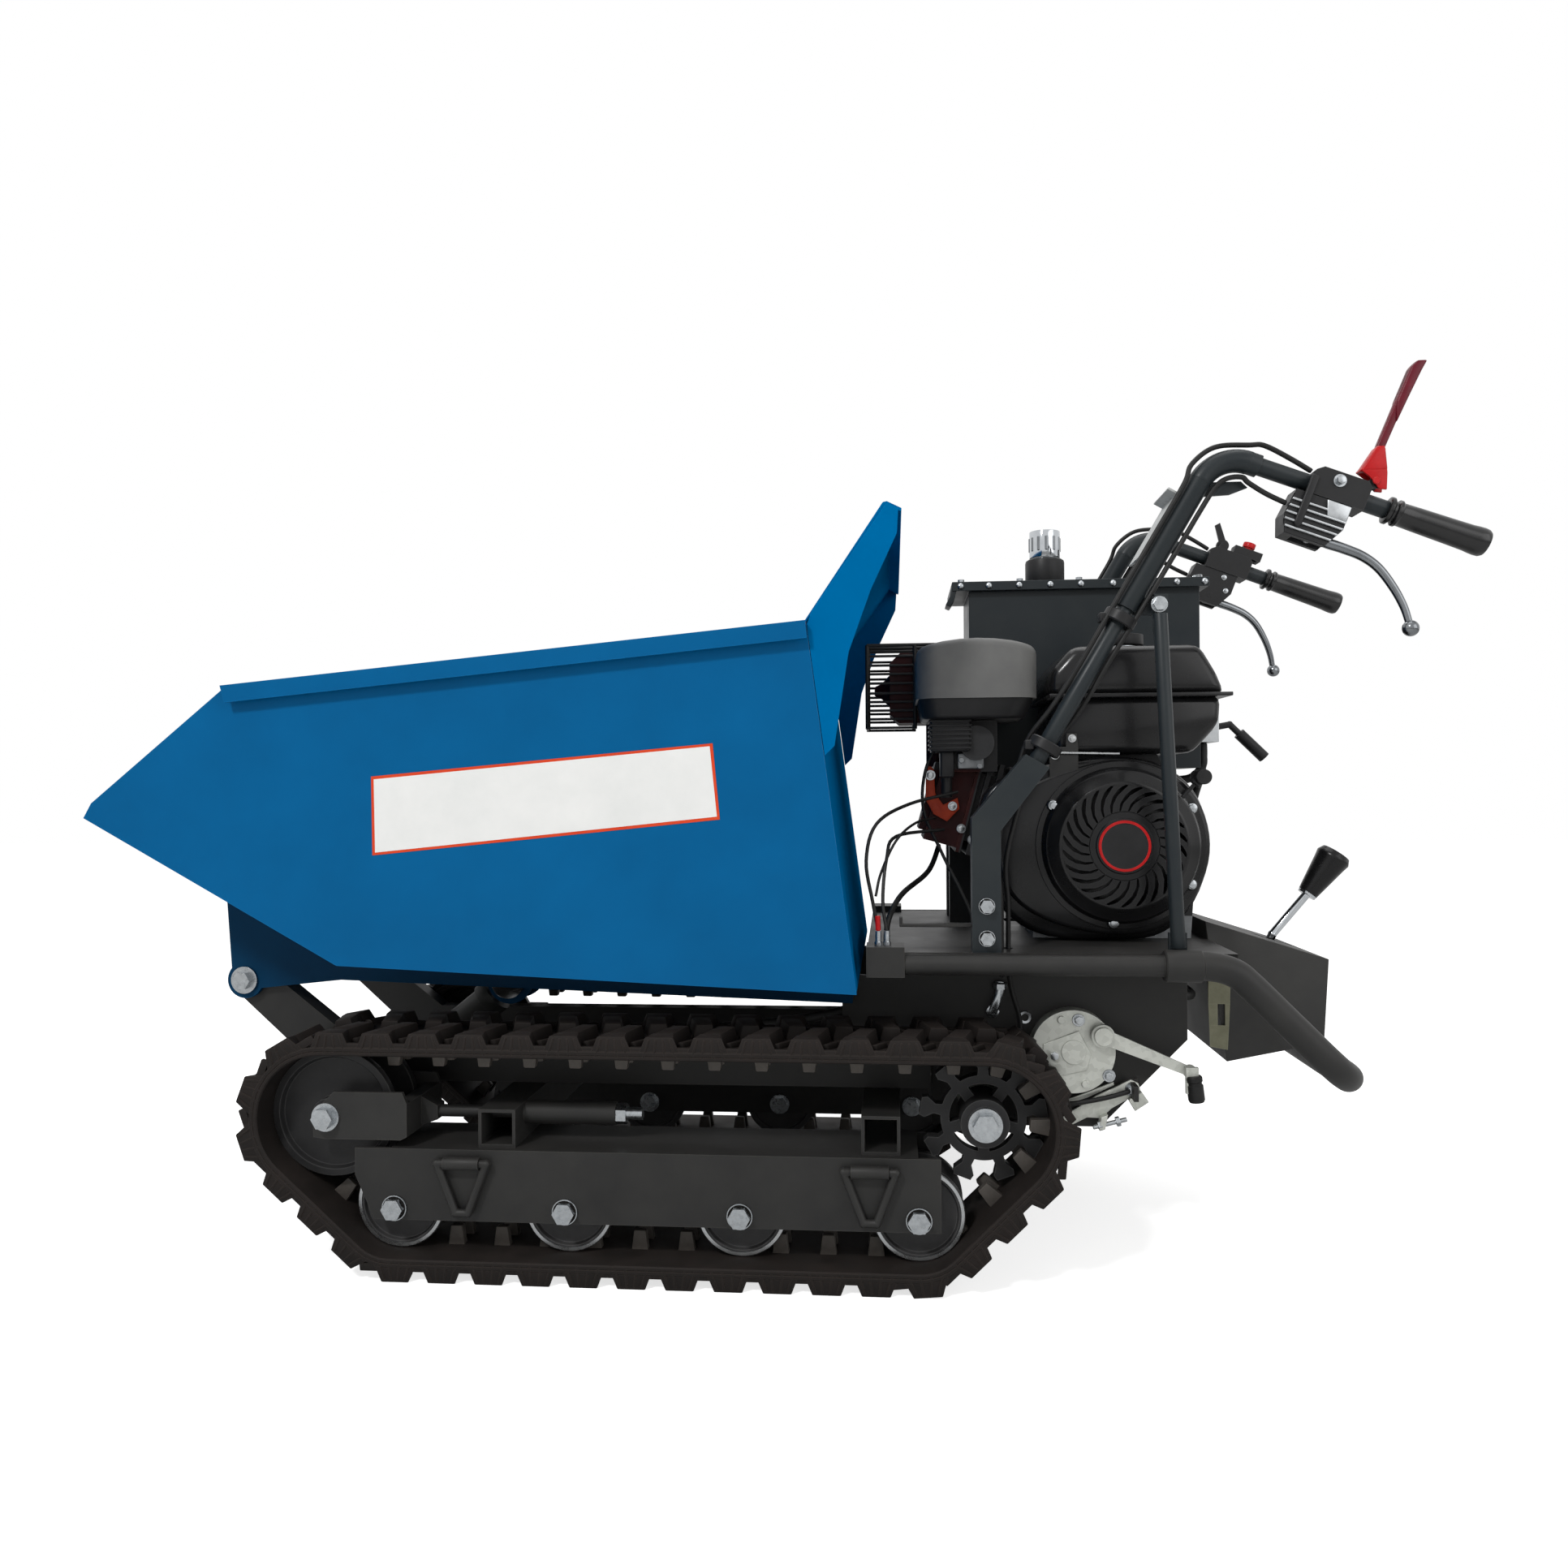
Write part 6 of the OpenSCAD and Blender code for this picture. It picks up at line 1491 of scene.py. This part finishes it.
    def track(self, side: Side) -> None:
        """Build one track: belt, two staggered rows of lugs flattened by the ground, and horns inside.

        Args:
            side: Side of the machine.
        """
        shift = side.value * self.middle_y
        links = round(self.length() / self.pitch)
        step = self.length() / links
        shape = Shape()
        outer = [k * step for k in range(links)]
        inner = [(k + 0.5) * step for k in range(links)]
        self.repeat(shape, self.lug(), outer if side is Side.LEFT else inner, False, shift)
        self.repeat(shape, self.lug(), inner if side is Side.LEFT else outer, True, shift)
        for v in shape.bm.verts:
            v.co.z = max(v.co.z, 0.0)
        self.belt(shape, shift)
        made = shape.piece(f"{side.word}_track_tread", "frame", TRACK_RUBBER, "track_rubber")
        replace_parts(made, f"{side.word}_track")
        horns = Shape()
        self.repeat(horns, self.horn(), outer, False, shift)
        horns.piece(f"{side.word}_track_horns", "frame", HORN_RUBBER, "track_rubber")

    def rims(self) -> None:
        """Add the bright worn rim of each road roller."""
        x, z = self.first_roller
        for side in Side:
            y = side.value * (self.middle_y + self.rim_out)
            for k in range(self.rollers):
                name = f"{side.word}_roller_{k + 1}"
                ring = Shape().turned(self.rim, (x + self.roller_pitch * k, y, z), (0, -side.value, 0), 96)
                ring.piece(f"{name}_worn_rim", name, BARE_STEEL, "wheel_iron")

    def build(self) -> None:
        """Build both tracks and the bright rims."""
        for side in Side:
            self.track(side)
        self.rims()


@dataclass
class Skip:
    """The bare panel on each side of the skip."""

    outer_y: float = 323.0
    corners: Outline = ((-505.0, 633.0), (-66.4, 671.0), (-57.9, 576.5), (-503.7, 532.7))
    border: float = 3.6
    border_t: float = 0.5
    sheet_t: float = 0.8

    def build(self) -> None:
        """Lay the white sheet with its thin border on both sides."""
        mid_x, mid_z = (sum(c) / len(self.corners) for c in zip(*self.corners))
        inner = [(x + math.copysign(self.border, mid_x - x), z + math.copysign(self.border, mid_z - z))
                 for x, z in self.corners]
        for side in Side:
            y = side.value * self.outer_y
            edge = Shape().plate(self.corners, y, y + side.value * self.border_t)
            edge.piece(f"{side.word}_panel_border", "skip", VINYL_RED)
            sheet = Shape().plate(inner, y, y + side.value * self.sheet_t)
            sheet.piece(f"{side.word}_panel", "skip", VINYL_WHITE)


@dataclass
class OilTank:
    """Lid bolts, hook and breather of the hydraulic tank."""

    lid_y: float = 68.0
    bolt_x: tuple[float, ...] = (262.0, 305.0, 351.0, 398.0, 444.0, 492.0, 540.0, 587.0, 628.0)
    bolt_z: float = 924.0
    bolt: Outline = ((0, 3.4), (2.4, 3.2), (4.2, 2.2), (5.0, 0.8), (5.0, 0), (0, 0))
    hook: Outline = ((249, 931), (256, 931), (256, 918), (252, 902), (246, 893), (239, 896), (246, 910))
    hook_y: Flat = (70.0, 112.0)
    breather: Point = (400.0, 150.0, 931.0)
    neck: Outline = ((17, 0.1), (30, 0.1), (30.6, 1), (30.6, 40), (29.6, 43.4), (25, 46.4), (17, 46.4),
                     (17, 0.1))
    cap: Outline = ((20, 46), (22.4, 46.4), (22.4, 51), (21, 52), (21, 54), (23.4, 56), (23.4, 78), (22, 84),
                    (18, 88), (10, 90), (0, 90.4), (0, 86), (18, 80), (20, 46))
    ribs: int = 12
    rib_circle: float = 21.8
    rib_z: Flat = (56.0, 82.0)
    rib_r: float = 3.4

    def lid(self) -> None:
        """Set the row of round bolts in the lid's edge, and the hook at its front end."""
        bolts = Shape()
        for x in self.bolt_x:
            bolts.turned(self.bolt, (x, self.lid_y, self.bolt_z), NEAR, 24)
        bolts.piece("tank_lid_bolts", "frame", ZINC, "zinc")
        hook = Shape().plate(self.hook, *self.hook_y, 1.0)
        hook.piece("tank_lid_hook", "frame", BAR_BLACK, "frame_black")

    def filler(self) -> None:
        """Build the thick neck and the ribbed cap of the breather."""
        neck = Shape().turned(self.neck, self.breather, UP, 64)
        neck.piece("breather_neck", "frame", PLASTIC_BLACK, "frame_black")
        shape = Shape().turned(self.cap, self.breather, UP, 72)
        x, y, z = self.breather
        low, high = self.rib_z
        for k in range(self.ribs):
            turn = math.tau * k / self.ribs
            spot = (x + self.rib_circle * math.cos(turn), y + self.rib_circle * math.sin(turn))
            shape.bar((*spot, z + low), (*spot, z + high), self.rib_r, 2.6, 12)
        # The cap takes the lever metal, whose dark grey tone is a painted reflection
        shape.piece("breather_cap", "frame", LEVER_ALLOY_PAINTED_REFLECTION, "zinc")

    def build(self) -> None:
        """Build the tank's pieces."""
        self.lid()
        self.filler()


@dataclass
class Controls:
    """Ribbed housing, bolts and cable clips on the handlebars, placed along and square to the grip line."""

    bend: Flat = (603.7, 1018.6)
    grip_n: Flat = (0.358, 0.934)
    face_out: float = 17.0
    front_edge: Outline = ((62, -16), (58, -50), (66, -72))
    rear_edge: Outline = ((132, -16), (132, -46), (118, -72))
    face: Outline = ((63, -17), (131, -17), (131, -46), (117.4, -71), (66.6, -71), (59, -50))
    face_y: Flat = (-0.8, 0.2)
    ribs: int = 5
    rib_top: float = -28.0
    rib_pitch: float = 8.6
    rib_t: float = 2.8
    rib_inset: float = 0.6
    rib_out: float = 4.2
    lug: Outline = ((100, -17.5), (131.4, -17.5), (131.4, -37), (107, -37))
    lug_out: float = 4.6
    groove: Outline = ((72, 6), (82, 6), (82, -58), (77, -63), (72, -58))
    groove_y: Flat = (-6.4, -0.6)
    near_bolt: Flat = (106.8, 9.0)
    near_bolt_out: float = 19.0
    near_across: float = 9.5
    far_screws: Outline = ((68, -40), (112, -24), (80, -66), (122, -44))
    far_across: float = 5.0
    clip_spots: Outline = ((443.0, 826.0), (349.0, 666.0))
    clip_axis: Point = (0.504, 0, 0.864)
    clip: Outline = ((16, -7), (20, -7), (21.4, -5.6), (21.4, 5.6), (20, 7), (16, 7), (16, -7))
    buckle_x: Flat = (-26.0, -15.0)
    buckle_half: float = 9.0
    buckle_z: Flat = (-4.0, 8.0)

    def along(self, a: float, b: float) -> Flat:
        """Place a point by its distance along the grip line and square to it."""
        return (self.bend[0] + a * GRIP_U[0] + b * self.grip_n[0],
                self.bend[1] + a * GRIP_U[1] + b * self.grip_n[1])

    def lay(self, outline: Sequence[Flat]) -> list[Flat]:
        """Place a whole outline by distances along the grip line and square to it."""
        return [self.along(a, b) for a, b in outline]

    def edge_at(self, line: Outline, depth: float) -> float:
        """Find where an edge of the housing lies along the grip at one depth.

        Args:
            line: Three points of the edge, from its top.
            depth: Distance square to the grip line.

        Returns:
            Distance along the grip line.
        """
        (a0, b0), (a1, b1), (a2, b2) = line
        if depth > b1:
            return a0 + (a1 - a0) * (b0 - depth) / (b0 - b1)
        return a1 + (a2 - a1) * (b1 - depth) / (b1 - b2)

    def housing(self) -> None:
        """Build the pale ribs over the dark face of the near housing."""
        face = -BAR_Y - self.face_out
        dark = Shape().plate(self.lay(self.face), *(face + y for y in self.face_y))
        dark.piece("near_housing_face", "frame", PLASTIC_BLACK, "black_plastic")
        shine = Shape()
        for k in range(self.ribs):
            top = self.rib_top - self.rib_pitch * k
            low = top - self.rib_t
            front = [(self.edge_at(self.front_edge, b) + self.rib_inset, b) for b in (top, low)]
            rear = [(self.edge_at(self.rear_edge, b) - self.rib_inset, b) for b in (top, low)]
            outline = self.lay([front[0], rear[0], rear[1], front[1]])
            shine.plate(outline, face - self.rib_out, face, 0.9)
        shine.plate(self.lay(self.lug), face - self.lug_out, face, 1.6)
        shine.piece("near_housing_ribs", "frame", CAST_ALLOY, "control_alloy")
        groove = Shape().plate(self.lay(self.groove), *(face + y for y in self.groove_y), 2.0)
        groove.piece("near_housing_groove", "frame", PLASTIC_BLACK, "black_plastic")

    def bolts(self) -> None:
        """Set the bolts of the control blocks on both sides."""
        x, z = self.along(*self.near_bolt)
        shape = Shape().bolt((x, -BAR_Y - self.near_bolt_out, z), NEAR, self.near_across)
        for x, z in self.lay(self.far_screws):
            shape.bolt((x, BAR_Y - self.face_out, z), NEAR, self.far_across)
        shape.piece("control_bolts", "frame", ZINC, "zinc")

    def clips(self) -> None:
        """Wrap the cable clips round the handlebar tubes."""
        shape = Shape()
        for x, z in self.clip_spots:
            shape.turned(self.clip, (x, -BAR_Y, z), self.clip_axis, 40)
            shape.block((x + self.buckle_x[0], -BAR_Y - self.buckle_half, z + self.buckle_z[0]),
                        (x + self.buckle_x[1], -BAR_Y + self.buckle_half, z + self.buckle_z[1]), 1.5)
        shape.mirrored().piece("cable_clips", "frame", PLASTIC_BLACK, "black_plastic")

    def build(self) -> None:
        """Build the control pieces."""
        self.housing()
        self.bolts()
        self.clips()


@dataclass
class Levers:
    """Clutch lever, steering levers and hand grips."""

    pin: Flat = (753.4, 990.0)
    pin_head: Outline = ((0, 0), (4.6, 0), (4.6, 1.4), (3.6, 2.2), (0, 2.2))
    cheek: Outline = ((735.0, 1004.5), (742.0, 1012.0), (766.0, 1012.0), (767.0, 1000.0), (766.0, 979.0),
                      (757.0, 980.0), (746.4, 995.0))
    cheek_y: Flat = (6.1, 9.2)
    foot: Outline = ((734.0, 1002.5), (755.4, 1034.0), (765.0, 1033.0), (767.6, 1002.5))
    foot_half: float = 9.8
    blade: Outline = ((752.0, 1012.0), (756.0, 1034.0), (779.0, 1089.0), (796.6, 1131.0), (804.0, 1138.4),
                      (816.5, 1138.4), (810.0, 1127.0), (794.0, 1094.0), (779.0, 1062.0), (766.0, 1032.0),
                      (765.0, 1012.0))
    blade_half: float = 5.4
    palm_half: float = 9.0
    maroon_z: float = 1034.0
    hub: Flat = (676.3, 928.6)
    hub_y: Flat = (237.5, 254.5)
    hub_r: float = 12.0
    sweep: Route = ((676.3, 246.0, 928.6), (694.0, 246.0, 917.5), (715.5, 247.0, 909.0),
                    (738.0, 249.5, 898.0), (756.0, 253.0, 882.0), (771.5, 257.5, 857.0),
                    (781.5, 262.0, 833.0), (786.5, 265.5, 812.0))
    arm_r: float = 7.2
    arm_taper: float = 0.6
    ball: Point = (788.0, 266.0, 805.5)
    ball_r: float = 10.0
    ball_steps: int = 12
    ball_axis: Point = (0.3, 0, -0.95)
    grip_start: Flat = (767.6, 955.8)
    grip: Outline = ((0, 0), (15, 0), (16.6, 0.8), (17, 2), (17, 5), (15.6, 6.4), (13.4, 7.4), (13.2, 10),
                     (15.4, 11.2), (16.4, 12.4), (16.4, 15.4), (15.2, 16.8), (14.4, 18.4), (15.0, 40),
                     (15.8, 80), (16.4, 104), (17.2, 112), (17.5, 118), (17.0, 123.4), (15.0, 126.6),
                     (11.0, 128), (0, 128))

    def clutch(self) -> None:
        """Build the clutch lever: two cheeks on the pin, a thick foot and a slim hooked blade."""
        y, shape = -BAR_Y, Shape()
        near, far = self.cheek_y
        shape.plate(self.cheek, y - far, y - near, 0.8)
        shape.plate(self.cheek, y + near, y + far, 0.8)
        shape.plate(self.foot, y - self.foot_half, y + self.foot_half, 3.0)
        shape.plate(self.blade, y - self.blade_half, y + self.blade_half, 2.2)
        shape.plate(self.blade[2:9], y - self.palm_half, y + self.palm_half, 3.0)
        shape.turned(self.pin_head, (self.pin[0], y - far, self.pin[1]), NEAR, 24)
        paint = Coat("lever_red_and_maroon", PLASTIC_RED, (Zone.beyond(BLADE_RED, UP, self.maroon_z),))
        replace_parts(shape.piece("clutch_lever_blade", "clutch_lever", paint, "red_plastic"), "clutch_lever")

    def steering(self, side: Side) -> None:
        """Build one steering lever: a boss, a swept arm and a ball end.

        Args:
            side: Side of the machine.
        """
        name, out = f"{side.word}_steer_lever", side.value
        x, z = self.hub
        shape = Shape().bar((x, out * self.hub_y[0], z), (x, out * self.hub_y[1], z), self.hub_r)
        shape.hose([(x, out * y, z) for x, y, z in self.sweep], self.arm_r, 20, 8, self.arm_taper)
        turns = [math.pi * k / self.ball_steps for k in range(self.ball_steps + 1)]
        arc = [(self.ball_r * math.sin(a), -self.ball_r * math.cos(a)) for a in turns]
        shape.turned(arc, (self.ball[0], out * self.ball[1], self.ball[2]), self.ball_axis, 32)
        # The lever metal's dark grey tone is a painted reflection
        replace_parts(shape.piece(f"{name}_arm", name, LEVER_ALLOY_PAINTED_REFLECTION, "control_alloy"), name)

    def grips(self) -> None:
        """Build the moulded grips: flange, two collar rings, swelling body and domed end."""
        start, axis = (self.grip_start[0], -BAR_Y, self.grip_start[1]), (GRIP_U[0], 0, GRIP_U[1])
        shape = Shape().turned(self.grip, start, axis, 48).mirrored()
        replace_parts(shape.piece("hand_grip_sleeves", "frame", GRIP_RUBBER, "grip_rubber"), "hand_grips")

    def build(self) -> None:
        """Build the levers and grips."""
        self.clutch()
        for side in Side:
            self.steering(side)
        self.grips()


@dataclass
class Brakes:
    """Bolts on the brake covers, the cable bracket below each of them, and the boot at the end of its arm."""

    face_y: float = 181.0
    web_y: float = 160.0
    bolt_at: Outline = ((366.0, 259.0), (349.0, 230.0), (437.0, 233.0), (398.0, 306.0))
    bolt_across: float = 10.0
    pivot: Flat = (469.0, 212.5)
    pivot_across: float = 11.0
    pivot_r: float = 8.0
    screw: tuple[Flat, Flat] = ((417.0, 162.4), (461.0, 173.9))
    screw_u: Flat = (0.967, 0.253)
    screw_r: float = 3.0
    nut_ways: tuple[float, ...] = (7.0, 31.0)
    nut_across: float = 11.5
    nut_h: float = 5.6
    bracket: Outline = ((377.5, 174), (388, 162), (410.6, 173.6), (428.6, 172.8), (442.5, 186),
                        (463.8, 198.8), (480.8, 210.4), (477.7, 220.2), (468.2, 224.8), (423.5, 203))
    link: Outline = ((369, 190.3), (372.3, 187), (410.8, 198.6), (447, 216.5), (446, 220.8), (407.6, 205))
    tab: Outline = ((463.8, 199), (480.8, 210.5), (490.2, 196.7), (472.1, 184.5))
    lug: Outline = ((424, 160), (432, 161), (436, 181), (427, 177))
    back_out: float = 0.1
    web_out: float = 3.4
    bracket_out: float = 3.0
    front_out: float = 7.0
    screw_out: float = 13.0
    lug_out: float = 19.0
    raised: Outline = ((352, 274), (398, 292), (414, 262), (408, 240), (372, 232), (350, 246))
    raised_t: float = 2.2
    boot: Outline = ((0, 0), (9, 0), (10.5, 2), (10.5, 7), (9.2, 8.4), (9.2, 11), (10.5, 12.4), (10.5, 31),
                     (9, 34), (0, 34))
    boot_at: Point = (541.0, 200.0, 239.0)
    boot_axis: Point = (0.12, 0, -0.993)

    def bolts(self) -> None:
        """Set the cover bolts, the pivot bolt and the adjuster screw with its nuts."""
        shape = Shape()
        for x, z in self.bolt_at:
            shape.bolt((x, -self.face_y, z), NEAR, self.bolt_across)
        x, z = self.pivot
        shape.bolt((x, -self.web_y - self.front_out, z), NEAR, self.pivot_across)
        y = -self.web_y - self.screw_out
        (x0, z0), (x1, z1) = self.screw
        shape.bar((x0, y, z0), (x1, y, z1), self.screw_r, 0.6, 16)
        ux, uz = self.screw_u
        for way in self.nut_ways:
            spot = (x0 + ux * way, y, z0 + uz * way)
            shape.hexagon(spot, (ux, 0, uz), self.nut_across, self.nut_h, 0.8)
        shape.mirrored().piece("brake_bolts_and_adjusters", "frame", ZINC, "zinc")

    def plates(self) -> None:
        """Build the cable bracket with its link, tab and lug, and the raised part of the cover."""
        web = -self.web_y
        shape = Shape().plate(self.bracket, web - self.front_out, web - self.bracket_out, 0.9)
        shape.plate(self.link, web - self.web_out, web - self.back_out, 0.8)
        shape.plate(self.tab, web - self.screw_out, web - self.web_out, 0.9)
        shape.plate(self.lug, web - self.lug_out, web - self.web_out, 0.9)
        x, z = self.pivot
        shape.bar((x, web - self.web_out, z), (x, web - self.back_out, z), self.pivot_r)
        shape.mirrored().piece("brake_cable_brackets", "frame", GALVANISED, "galvanised")
        raised = Shape().plate(self.raised, -self.face_y - self.raised_t, -self.face_y, 0.8)
        raised.mirrored().piece("brake_cover_plates", "frame", GALVANISED, "galvanised")

    def build(self) -> None:
        """Build the bolts, brackets, adjusters and cable boots of both sides."""
        self.bolts()
        self.plates()
        x, y, z = self.boot_at
        for side in Side:
            boot = Shape().turned(self.boot, (x, side.value * y, z), self.boot_axis, 32)
            boot.piece(f"{side.word}_brake_cable_boot", f"{side.word}_brake_arm", HOSE_RUBBER, "hose_rubber")


@dataclass
class GuardRail:
    """The bent bumper tube behind the deck, its side rails and the sleeves between them."""

    rail_y: float = 276.0
    rail_z: float = 392.0
    rail_x: Flat = (169.0, 507.0)
    rail_r: float = 13.5
    sleeve_x: Flat = (488.0, 534.0)
    sleeve_drop: float = 0.4
    sleeve_wall: float = 2.0
    bumper_r: float = 18.0
    half: Route = ((506, -276, 392), (545, -276, 391.4), (572, -276, 384), (592, -276, 368), (636, -276, 324),
                   (676, -276, 284), (698, -268, 264), (716, -246, 251), (726, -214, 245.6), (730, -180, 244),
                   (730, -90, 244))

    def build(self) -> None:
        """Sweep the bumper and add the rails and sleeves of both sides."""
        route = [*self.half, *((x, -y, z) for x, y, z in reversed(self.half))]
        shape = Shape().hose(route, self.bumper_r, 32, 8)
        z = self.rail_z
        for side in Side:
            y = side.value * self.rail_y
            shape.bar((self.rail_x[0], y, z), (self.rail_x[1], y, z), self.rail_r)
            shape.bar((self.sleeve_x[0], y, z), (self.sleeve_x[1], y, z - self.sleeve_drop),
                      self.bumper_r + self.sleeve_wall, 1.6)
        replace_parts(shape.piece("guard_rail_tubes", "frame", FRAME_BLACK, "frame_black"), "guard_rail")


@dataclass
class Fittings:
    """Small fittings on the chassis: pipe connector, slotted bracket, leg ledge, and painted shade round the
    bolts.
    """

    plate_y: float = 153.0
    ring: Outline = ((5, -1), (5, 3), (8, 3.4), (9, 2.2), (9, -1), (5, -1))
    ring_at: Flat = (331.0, 304.0)
    elbow: Route = ((298, 6, 352), (297, 8, 340), (293, 9, 326), (288, 6, 312))
    elbow_r: float = 6.0
    nut: Outline = ((0, 0), (10, 0), (10, 7), (8, 9), (0, 9))
    nut_at: Point = (298.0, 6.0, 343.0)
    foot: Outline = ((0, 0), (9, 0), (9, 5), (7, 6), (0, 6))
    foot_at: Flat = (288.0, 312.0)
    bracket: tuple[Outline, ...] = (
        ((581, 351), (610, 346), (609.4, 318), (581, 318)), ((581, 318), (593, 318), (593, 289), (582, 289)),
        ((603, 318), (609.4, 318), (608, 289), (603, 289)), ((582, 289), (608, 289), (606, 256), (583, 260)))
    bracket_y: Flat = (-119.4, -115.3)
    axle_x: tuple[float, ...] = (-476.0, -256.0, -36.0, 184.0)
    axle_seat: Flat = (-328.0, 87.0)
    axle_size: float = 14.0
    leg_seats: Route = ((273.0, -264.5, 423.0), (273.0, -264.5, 464.0))
    leg_size: float = 9.0
    shade_reach: Flat = (0.8, 1.06)
    shade_t: float = 0.3
    ledge: Box = ((163, -252, 436), (255.4, -234, 440))
    ledge_lip: Box = ((163, -252, 439), (167, -234, 448))

    def connector(self) -> None:
        """Build the pipe connector: a ring, an elbow and two hexagon nuts."""
        y = -self.plate_y
        metal = Shape().turned(self.ring, (self.ring_at[0], y, self.ring_at[1]), NEAR, 40)
        metal.hose([(x, y - out, z) for x, out, z in self.elbow], self.elbow_r, 16)
        x, out, z = self.nut_at
        metal.turned(self.nut, (x, y - out, z), UP, 6)
        metal.turned(self.foot, (self.foot_at[0], y, self.foot_at[1]), NEAR, 6)
        metal.piece("pipe_connector", "frame", ZINC, "zinc")

    def slotted_bracket(self) -> None:
        """Build the bracket from the four plates round its slot."""
        olive = Shape()
        for outline in self.bracket:
            olive.plate(outline, *self.bracket_y)
        bmesh.ops.remove_doubles(olive.bm, verts=olive.bm.verts, dist=0.01)
        olive.piece("slotted_bracket", "frame", OLIVE_STEEL, "galvanised")

    def paint_head_shade(self) -> None:
        """Lay a thin black ring of painted shade round the heads of the axle and leg bolts."""
        head_shade = Shape()
        heads = [((x, *self.axle_seat), self.axle_size) for x in self.axle_x]
        heads += [(seat, self.leg_size) for seat in self.leg_seats]
        for seat, size in heads:
            low, high = (share * size for share in self.shade_reach)
            outline = [(low, 0), (high, 0), (high, self.shade_t), (low, self.shade_t), (low, 0)]
            head_shade.turned(outline, seat, NEAR, 36)
        head_shade.mirrored().piece("bolt_head_painted_shade", "frame", PAINTED_SHADE_BLACK)

    def build(self) -> None:
        """Build the fittings."""
        self.connector()
        self.slotted_bracket()
        self.paint_head_shade()
        ledge = Shape().block(*self.ledge, 0.8).block(*self.ledge_lip, 0.8)
        ledge.piece("leg_ledge", "frame", FRAME_BLACK, "frame_black")


def main() -> None:
    """Build the scene in order."""
    logging.basicConfig(level=logging.INFO, format="%(message)s")
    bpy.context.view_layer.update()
    Studio().build()
    Solids().dress()
    assemblies: tuple[Assembly, ...] = (
        RecoilStarter(), FanShroud(), FuelTank(), AirFilter(), Carburettor(), CylinderHead(), Governor(),
        Exhaust(), EngineWires(), RunningGear(), Skip(), OilTank(), Controls(), Levers(), Brakes(),
        GuardRail(), Fittings())
    for assembly in assemblies:
        LOG.info("building %s", type(assembly).__name__)
        assembly.build()


if __name__ == "__main__":
    main()
